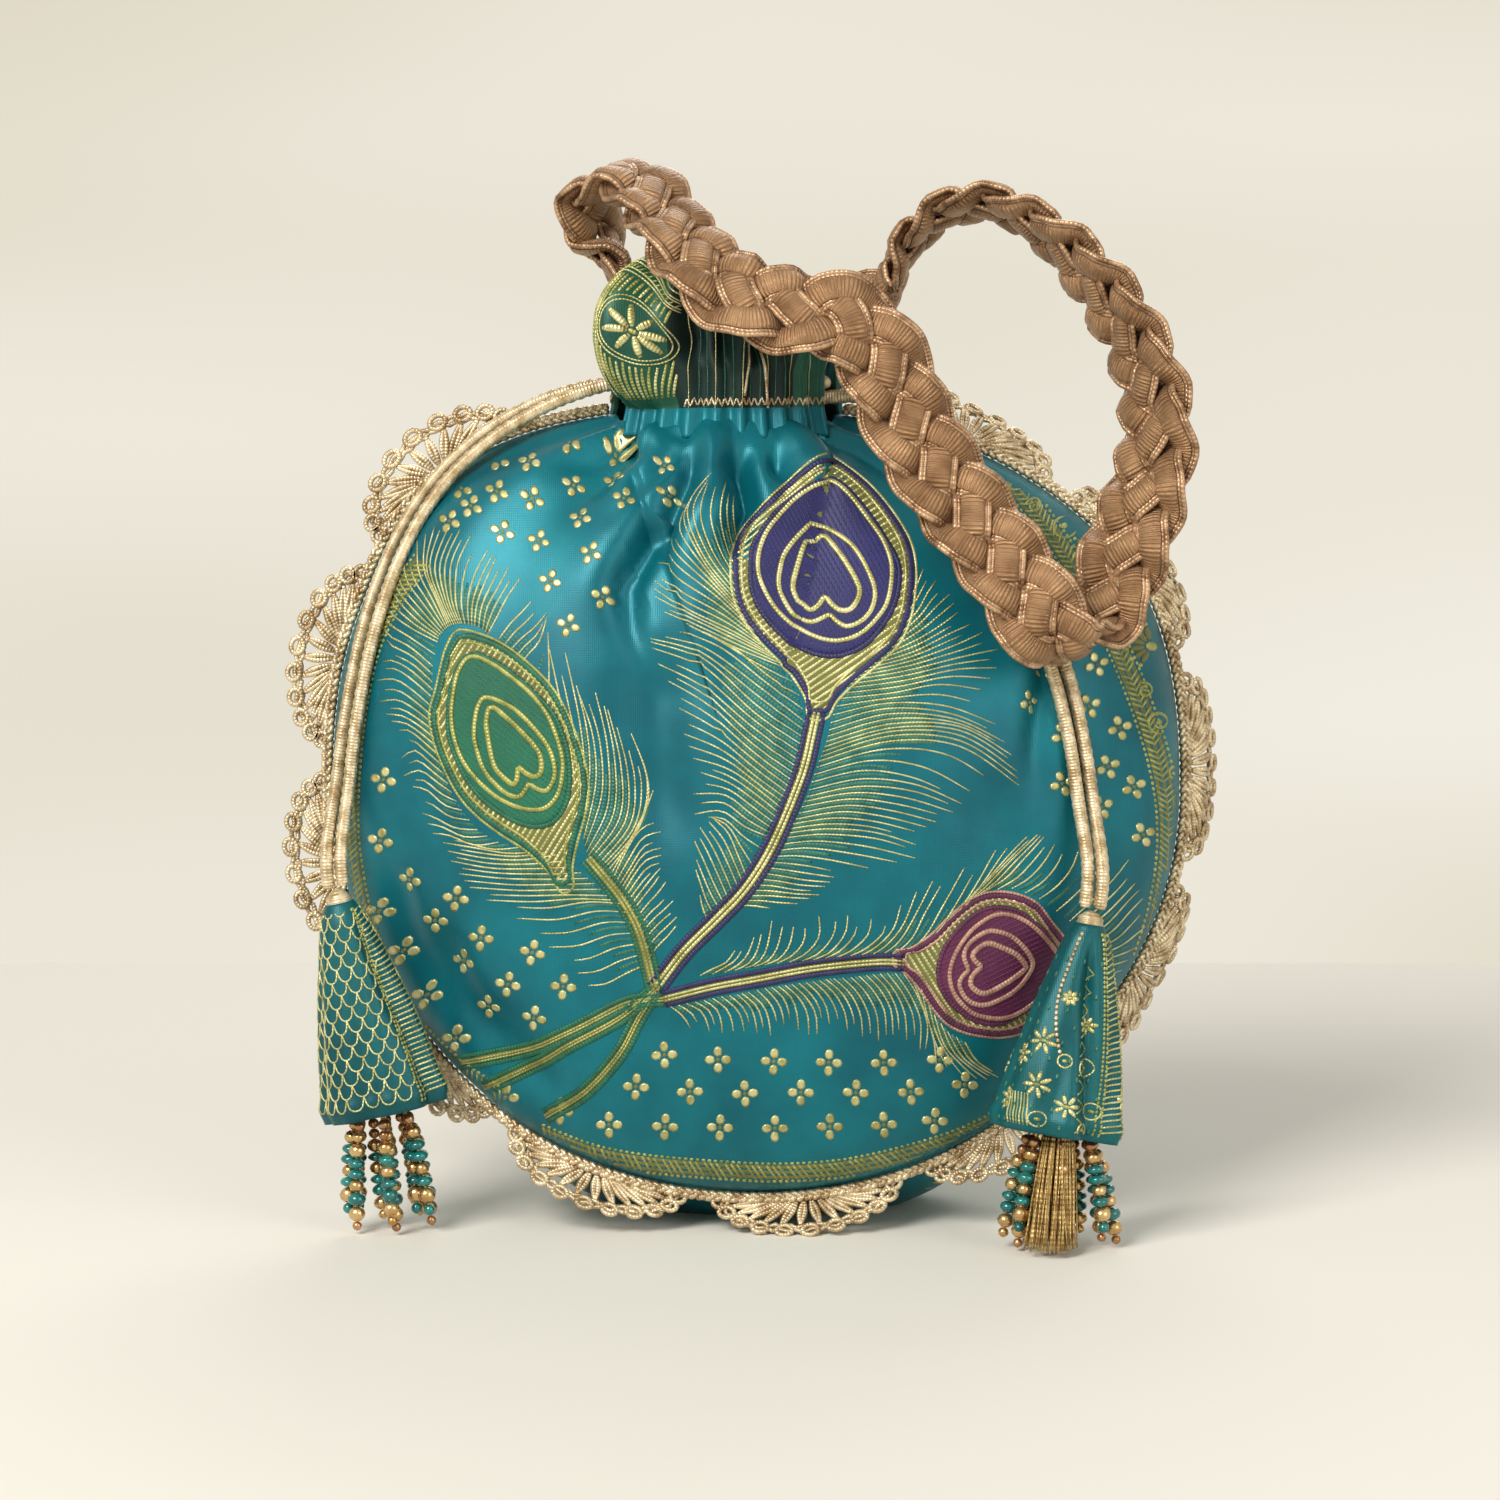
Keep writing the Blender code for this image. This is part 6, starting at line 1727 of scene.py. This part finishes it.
PLUM_BELOW = [
    (670, 1007, 680, 1014, 686, 1021, 690, 1028), (686, 1004, 700, 1011, 706, 1021, 709, 1032),
    (703, 1001, 715, 1009, 720, 1021, 721, 1033), (720, 997, 733, 1007, 740, 1017, 743, 1031),
    (736, 995, 748, 1006, 753, 1017, 756, 1033), (746, 993, 761, 1006, 767, 1021, 769, 1038),
    (763, 989, 774, 1001, 780, 1012, 782, 1024), (776, 987, 788, 997, 793, 1012, 795, 1028),
    (789, 985, 804, 999, 814, 1016, 815, 1038), (803, 983, 814, 993, 822, 1006, 825, 1022),
    (816, 981, 831, 994, 841, 1012, 844, 1029), (829, 979, 846, 994, 856, 1014, 858, 1033),
    (846, 978, 861, 993, 872, 1016, 874, 1044), (862, 976, 875, 989, 887, 1009, 889, 1033),
    (875, 974, 889, 989, 899, 1012, 901, 1038), (889, 973, 904, 993, 915, 1016, 917, 1043),
    (905, 973, 919, 996, 929, 1026, 925, 1059), (922, 986, 929, 1022, 939, 1052, 953, 1075),
    (935, 1016, 945, 1046, 962, 1065, 978, 1079), (948, 1032, 962, 1056, 978, 1069, 997, 1080),
    (965, 1042, 975, 1059, 988, 1069, 1000, 1075),
]
GREEN_LEFT = [
    (485, 634, 495, 615, 505, 595, 518, 576), (481, 629, 485, 607, 495, 588, 506, 566),
    (473, 625, 476, 602, 485, 578, 494, 556), (468, 624, 468, 600, 476, 573, 488, 550),
    (461, 623, 456, 600, 459, 564, 472, 535), (458, 623, 449, 600, 447, 564, 461, 531),
    (454, 624, 444, 600, 437, 564, 453, 524), (450, 625, 439, 600, 427, 564, 438, 521),
    (447, 627, 435, 598, 422, 568, 421, 535), (444, 629, 427, 602, 410, 576, 405, 547),
    (441, 633, 420, 610, 398, 583, 396, 556), (438, 636, 413, 617, 392, 593, 391, 571),
    (437, 641, 410, 627, 388, 610, 385, 593), (432, 665, 410, 646, 388, 634, 381, 622),
    (431, 680, 413, 663, 393, 653, 390, 652), (432, 695, 410, 675, 393, 665, 378, 667),
    (432, 714, 413, 697, 396, 686, 376, 686), (433, 728, 415, 714, 398, 705, 381, 707),
    (436, 743, 418, 728, 403, 719, 387, 716), (438, 758, 422, 743, 410, 733, 402, 733),
    (444, 777, 430, 765, 415, 753, 402, 761), (451, 794, 437, 784, 420, 772, 404, 777),
    (461, 811, 444, 806, 427, 791, 413, 787), (476, 830, 454, 828, 435, 818, 422, 813),
    (495, 842, 471, 845, 447, 835, 432, 833), (534, 852, 505, 853, 471, 847, 442, 842),
    (553, 853, 519, 859, 483, 857, 447, 850), (570, 865, 531, 867, 490, 867, 449, 859),
    (585, 876, 544, 877, 498, 876, 456, 871), (597, 886, 558, 887, 515, 888, 466, 884),
    (609, 898, 570, 897, 524, 898, 476, 897), (625, 905, 590, 903, 550, 910, 505, 908),
    (634, 925, 605, 925, 570, 935, 535, 936), (641, 945, 615, 950, 590, 960, 568, 962),
    (646, 965, 625, 975, 605, 985, 588, 986),
]
GREEN_RIGHT = [
    (495, 641, 507, 624, 519, 612, 530, 600), (507, 652, 519, 639, 534, 627, 546, 613),
    (519, 665, 529, 653, 539, 641, 546, 617), (580, 799, 573, 750, 561, 702, 549, 652),
    (582, 818, 585, 762, 580, 714, 567, 653), (584, 842, 597, 787, 594, 738, 580, 699),
    (587, 854, 609, 811, 609, 750, 598, 691), (592, 859, 621, 821, 622, 770, 609, 714),
    (599, 867, 631, 828, 636, 787, 632, 762), (604, 871, 638, 830, 648, 782, 628, 724),
    (609, 884, 626, 845, 641, 825, 660, 819), (614, 891, 631, 864, 643, 845, 659, 840),
    (619, 898, 633, 874, 645, 859, 661, 854), (624, 905, 638, 886, 648, 874, 657, 870),
    (630, 912, 645, 893, 655, 880, 662, 868), (637, 928, 650, 912, 660, 903, 668, 893),
    (642, 942, 655, 927, 668, 915, 677, 908), (647, 960, 658, 946, 668, 936, 676, 926),
]
BLUE_STEM = [(817, 712), (812, 735), (803, 772), (783, 823), (766, 858), (743, 892), (714, 922),
             (683, 953), (655, 990)]
GREEN_STEM = [(588, 858), (604, 877), (622, 900), (636, 925), (644, 948), (649, 968), (655, 992)]
PLUM_STEM = [(904, 963), (880, 962), (836, 966), (800, 971), (759, 979), (710, 988), (663, 1000)]
TAILS = [[(655, 990), (621, 1018), (568, 1046), (530, 1069), (484, 1088)],
         [(655, 992), (637, 1021), (618, 1056), (583, 1094), (545, 1117)],
         [(663, 1000), (625, 1006), (568, 1033), (514, 1056), (453, 1063)]]

# The small flowers, by the part of the panel that they are on
BUTI_TOP_LEFT = [(568, 437), (613, 437), (496, 455), (528, 458), (659, 455), (612, 468), (459, 485),
                 (496, 490), (530, 494), (571, 476), (624, 498), (664, 489), (579, 514), (500, 529),
                 (536, 537), (591, 554), (549, 580), (603, 597), (568, 625), (531, 429), (572, 407),
                 (448, 520), (470, 505)]
BUTI_LOW_LEFT = [(383, 780), (380, 841), (407, 881), (455, 899), (378, 912), (433, 922), (480, 939),
                 (532, 953), (400, 953), (458, 965), (507, 985), (563, 987), (424, 997), (483, 1010),
                 (533, 1019), (455, 1039)]
BUTI_BOTTOM = [(664, 1056), (718, 1060), (774, 1062), (829, 1063), (884, 1063), (940, 1060), (636, 1087),
               (690, 1092), (745, 1094), (801, 1093), (856, 1093), (911, 1092), (965, 1085), (609, 1125),
               (665, 1127), (720, 1128), (775, 1129), (830, 1127), (884, 1125), (935, 1121), (560, 1112),
               (505, 1098)]
BUTI_RIGHT = [(1098, 664), (1090, 706), (1034, 702), (1121, 728), (1109, 767), (1135, 787), (1064, 784),
              (1102, 807), (1144, 835), (1052, 668), (1066, 735)]
RIGHT_STRIP = [(1004, 462), (1030, 498), (1060, 540), (1090, 590), (1114, 636), (1130, 672), (1146, 715),
               (1160, 762), (1168, 812), (1167, 865), (1157, 918), (1140, 968), (1118, 1012)]
LEFT_STRIP = [(420, 560), (392, 600), (370, 645), (357, 700), (350, 760), (348, 820), (354, 880),
              (366, 930), (388, 985), (418, 1032), (460, 1072), (510, 1106)]
SCROLLS = [(1066, 524, 13, 30), (1036, 503, 8, 200), (1160, 722, 12, 80), (1146, 690, 8, 250),
           (1098, 566, 8, 120), (1176, 772, 8, 60), (1008, 478, 7, 0)]
BOTTOM_STRIP = [(540, 1134), (590, 1153), (640, 1163), (700, 1169), (772, 1173), (830, 1170), (872, 1163),
                (920, 1151), (960, 1138), (1000, 1120)]


def eye_placed(outline, centre, wide, high, turn):
    """An eye's outline at a place of the picture; a turn is clockwise, in degrees."""
    x, y = np.array(outline, float).T / 100.0 * np.array(((wide,), (high,)))
    cosine, sine = math.cos(math.radians(turn)), math.sin(math.radians(turn))
    return np.stack([centre[0] + x * cosine - y * sine, centre[1] + x * sine + y * cosine], axis=1)


def draw_eye(made, centre, wide, high, turn, fill, dark, ring, edge):
    """A feather's eye: a hatched gold surround, a dark fill, and three rings of gold thread."""
    rim, patch, loop, pear, heart = (eye_placed(outline, centre, wide, high, turn) for outline in
                                     (EYE_RIM, EYE_FILL, EYE_RING, EYE_PEAR, EYE_HEART))
    made.patch(rim, centre, IN_OLIVE, 0.06)
    made.patch(patch, centre, fill, 0.30)
    made.hatched(closed_curve(rim, 6.0), closed_curve(patch, 6.0), 6.0, 34.0 - turn, 3.6, IN_GOLD, 0.04)
    made.hatched(closed_curve(patch, 6.0), None, 4.5, 118.0 - turn, 2.2, dark, 0.27, 0.09)
    made.thread(rim, 7.0, dark, 0.22, 0.06, closed=True, step=6.0)
    made.thread(closed_curve(patch, 6.0), 5.5, dark, 0.22, 0.20, closed=True, step=6.0)
    made.thread(np.array(centre) + (rim - centre) * 1.06, 3.4, edge, 0.20, 0.0, closed=True, step=6.0)
    made.thread(np.array(centre) + (rim - centre) * 0.935, 3.2, ring, 0.20, 0.08, closed=True, step=6.0)
    for outline, width in ((loop, 5.6), (pear, 6.0), (heart, 6.8)):
        made.thread(outline, width, ring, 0.24, 0.42, closed=True, step=4.0)


def draw_stem(made, line, middle, edge, wide=9.0):
    """A gold quill between two dark edges."""
    route = spline(line, 7.0)[0]
    way = unit(np.gradient(route, axis=0))
    side = np.stack([-way[:, 1], way[:, 0]], axis=1)
    made.thread(route, wide + 3.0, IN_OLIVE, 0.16, 0.0, 0.9)
    for away in (-1.0, 1.0):
        made.thread(route + side * (away * (0.5 * wide + 2.6)), 6.0, edge, 0.26, 0.05, 0.9)
        made.thread(route + side * (away * 0.22 * wide), 0.40 * wide, middle, 0.24, 0.06, 0.9)


def draw_strip(made, line, width, pitch, slanted):
    """A border along the seam: a ground, herringbone or slanted stitches, and a beaded line on each edge."""
    route = spline(line, 3.0)[0]
    way = unit(np.gradient(route, axis=0))
    side = np.stack([-way[:, 1], way[:, 0]], axis=1)
    count = len(route)
    for away in (-0.33, 0.0, 0.33):
        made.thread(route[::3] + side[::3] * (away * width), width * 0.46, IN_OLIVE, 0.06, 0.0, 1.0)
    for at in np.arange(2, count - 4, pitch / 3.0):
        spot, along, across = route[int(at)], way[int(at)] * width, side[int(at)] * width
        if slanted:
            reach = across * 0.46 + along * 0.35
            made.thread([spot - reach, spot + reach], 3.2, IN_LIME, 0.16, 0.06, 0.7, step=6.0)
        else:
            for away in (-0.44, 0.44):
                line = [spot + along * 0.36, spot + across * away]
                made.thread(line, 3.2, IN_LIME, 0.18, 0.06, 0.7, step=6.0)
    for away in (-0.58, 0.58):
        for at in range(0, count, 2):
            x, y = route[at] + side[at] * (away * width)
            turn = math.degrees(math.atan2(way[at, 1], way[at, 0]))
            made.dot(x, y, 2.2, 1.5, turn, IN_LIME, 0.20)


def draw_scroll(made, x, y, size, turn):
    """A curl of thick thread with a dot in it."""
    angles = np.radians(turn + np.linspace(0.0, 430.0, 16))
    reach = size * np.linspace(1.0, 0.42, 16)
    curl = np.stack([x + reach * np.cos(angles), y + reach * np.sin(angles)], axis=1)
    made.thread(curl, 4.4, IN_LIME, 0.22, step=4.0)
    made.dot(x, y, 0.24 * size, 0.24 * size, 0.0, IN_LIME)


def draw_palmette(made, x, y, size, turn):
    """Petals that fan out from a stalk, each with a knob at its tip."""
    for petal in range(-3, 4):
        slope = turn + petal * 27.0
        reach = size * (1.0 - 0.05 * abs(petal))
        over, down = reach * math.cos(math.radians(slope)), reach * math.sin(math.radians(slope))
        made.dot(x + 0.62 * over, y + 0.62 * down, 0.34 * reach, 0.13 * size, slope, IN_OLIVE)
        made.dot(x + 1.06 * over, y + 1.06 * down, 0.11 * size, 0.10 * size, 0.0, IN_LIME)
    made.dot(x, y, 0.26 * size, 0.20 * size, turn, IN_LIME)


def draw_pattern():
    """The feathers with their stems and eyes, the small flowers, and the borders along the seam."""
    made = Pattern()
    for rows, count in ((BLUE_RIGHT, 52), (BLUE_LEFT, 54), (GREEN_LEFT, 66), (GREEN_RIGHT, 36),
                        (PLUM_ABOVE, 42), (PLUM_BELOW, 40)):
        made.family(rows, count, IN_GOLD, 2.2)
        made.family(rows, count, IN_HAZE, 5.0, 0.60, 0.5, 0.06)
    draw_stem(made, GREEN_STEM, IN_LIME, IN_DARK_GREEN)
    draw_stem(made, PLUM_STEM, IN_GOLD, IN_DARK_BLUE, 8.0)
    draw_stem(made, BLUE_STEM, IN_GOLD, IN_DARK_BLUE, 10.0)
    for line in TAILS:
        draw_stem(made, line, IN_LIME, IN_DARK_GREEN, 6.0)
    draw_eye(made, (826, 565), 74, 87, 0.0, IN_NAVY, IN_DARK_BLUE, IN_GOLD, IN_GOLD)
    draw_eye(made, (505, 737), 54, 94, -24.0, IN_LEAF, IN_DARK_GREEN, IN_LIME, IN_LIME)
    draw_eye(made, (1003, 968), 57, 62, 92.0, IN_PLUM, IN_DARK_RED, IN_ROSE, IN_ROSE)
    for spots, turn, size in ((BUTI_TOP_LEFT, 22.0, 7.6), (BUTI_LOW_LEFT, 10.0, 8.2), (BUTI_BOTTOM, 0.0, 8.2),
                              (BUTI_RIGHT, -22.0, 7.8)):
        for x, y in spots:
            made.flower(x, y, size, turn + 4.0 * math.sin(x + y))
    draw_strip(made, RIGHT_STRIP, 19.0, 6.5, False)
    draw_strip(made, LEFT_STRIP, 17.0, 6.5, True)
    draw_strip(made, BOTTOM_STRIP, 15.0, 7.0, True)
    for scroll in SCROLLS:
        draw_scroll(made, *scroll)
    draw_palmette(made, 1152, 646, 24.0, 200.0)
    draw_palmette(made, 1092, 548, 18.0, 215.0)
    return made


pattern = draw_pattern()
pattern.woven(FRONT, "front_brocade")
pattern.woven(BACK, "back_brocade")


# The floor, the light and the camera

FLOOR_SIDE = 3.0
FLOOR_NEAR = -2.0
FLOOR_FAR = 0.36


def make_stage():
    """A pale floor, which turns into a glow far from the bag where the camera looks at it."""
    floor = bpy.data.meshes.new("floor")
    corners = [(-FLOOR_SIDE, FLOOR_NEAR, 0.0), (FLOOR_SIDE, FLOOR_NEAR, 0.0), (FLOOR_SIDE, FLOOR_FAR, 0.0),
               (-FLOOR_SIDE, FLOOR_FAR, 0.0)]
    floor.from_pydata(corners, [], [(0, 1, 2, 3)])
    item = bpy.data.objects.new("floor", floor)
    bpy.context.scene.collection.objects.link(item)
    look = look_of("pale_floor", (0.84, 0.81, 0.73), 0.9)
    glow = node(look, "ShaderNodeEmission", Color=(0.83, 0.79, 0.69, 1.0), Strength=1.0)
    far = node(look, "ShaderNodeMapRange", interpolation_type="SMOOTHSTEP")
    far.inputs["From Min"].default_value = 0.38
    far.inputs["From Max"].default_value = 1.1
    away = node(look, "ShaderNodeVectorMath", operation="LENGTH")
    seen = node(look, "ShaderNodeMath", operation="MULTIPLY")
    either = node(look, "ShaderNodeMixShader")
    nodes = look.node_tree.nodes
    for source, output, target, place in (
            (node(look, "ShaderNodeTexCoord"), "Object", away, 0), (away, "Value", far, "Value"),
            (far, "Result", seen, 0), (node(look, "ShaderNodeLightPath"), "Is Camera Ray", seen, 1),
            (seen, 0, either, 0), (nodes["Principled BSDF"], 0, either, 1), (glow, 0, either, 2),
            (either, 0, nodes["Material Output"], "Surface")):
        joined(look, source, output, target, place)
    floor.materials.append(look)


def lamp(name, place, aim, size, power, colour=(1.0, 1.0, 1.0)):
    data = bpy.data.lights.new(name, "AREA")
    data.shape = "RECTANGLE"
    data.size, data.size_y = size
    data.energy = power
    data.color = colour
    item = bpy.data.objects.new(name, data)
    item.location = place
    item.rotation_euler = Vector(np.subtract(aim, place)).to_track_quat("-Z", "Y").to_euler()
    bpy.context.scene.collection.objects.link(item)


def make_camera():
    data = bpy.data.cameras.new("camera")
    data.sensor_width = 36.0
    data.lens = data.sensor_width * CAMERA_DISTANCE / VIEW_WIDTH
    data.clip_end = 20.0
    item = bpy.data.objects.new("camera", data)
    item.location = CAMERA_EYE
    item.rotation_euler = (0.5 * math.pi - CAMERA_TILT, 0.0, 0.0)
    bpy.context.scene.collection.objects.link(item)
    bpy.context.scene.camera = item


def make_world():
    """Soft light from all sides, and pale drapes where the camera, a mirror or a clear thing looks."""
    world = bpy.data.worlds.new("studio")
    bpy.context.scene.world = world
    world.use_nodes = True
    plain = world.node_tree.nodes["Background"]
    plain.inputs["Color"].default_value = (0.90, 0.87, 0.80, 1.0)
    plain.inputs["Strength"].default_value = 0.34
    seen = node(world, "ShaderNodeBackground", Strength=1.0)
    turned = node(world, "ShaderNodeMapping", Rotation=(0.0, 0.75, 0.0), Scale=(1.0, 1.0, 4.0))
    drapes = node(world, "ShaderNodeTexNoise", Scale=2.6, Detail=1.0, Roughness=0.4)
    ramp = two_tones(world, drapes, (0.74, 0.69, 0.56), (0.89, 0.86, 0.77), (0.30, 0.68))
    rays = node(world, "ShaderNodeLightPath")
    two = node(world, "ShaderNodeMath", operation="ADD", use_clamp=True)
    three = node(world, "ShaderNodeMath", operation="ADD", use_clamp=True)
    either = node(world, "ShaderNodeMixShader")
    for source, output, target, place in (
            (node(world, "ShaderNodeTexCoord"), "Generated", turned, "Vector"),
            (turned, "Vector", drapes, "Vector"), (ramp, "Color", seen, "Color"),
            (rays, "Is Camera Ray", two, 0), (rays, "Is Glossy Ray", two, 1), (two, 0, three, 0),
            (rays, "Is Transmission Ray", three, 1), (three, 0, either, 0), (plain, 0, either, 1),
            (seen, 0, either, 2), (either, 0, world.node_tree.nodes["World Output"], 0)):
        joined(world, source, output, target, place)


make_stage()
lamp("key_light", (-0.9, -1.3, 1.3), (0.0, 0.0, 0.1), (0.9, 0.9), 36.0, (1.0, 0.98, 0.95))
lamp("fill_light", (1.3, -1.2, 0.7), (0.0, 0.0, 0.1), (1.2, 1.2), 9.0, (0.97, 0.98, 1.0))
lamp("back_light", (0.3, 1.5, 1.2), (0.0, 0.0, 0.12), (1.2, 0.8), 10.0)
make_camera()
make_world()
bpy.context.scene.view_settings.view_transform = "Standard"
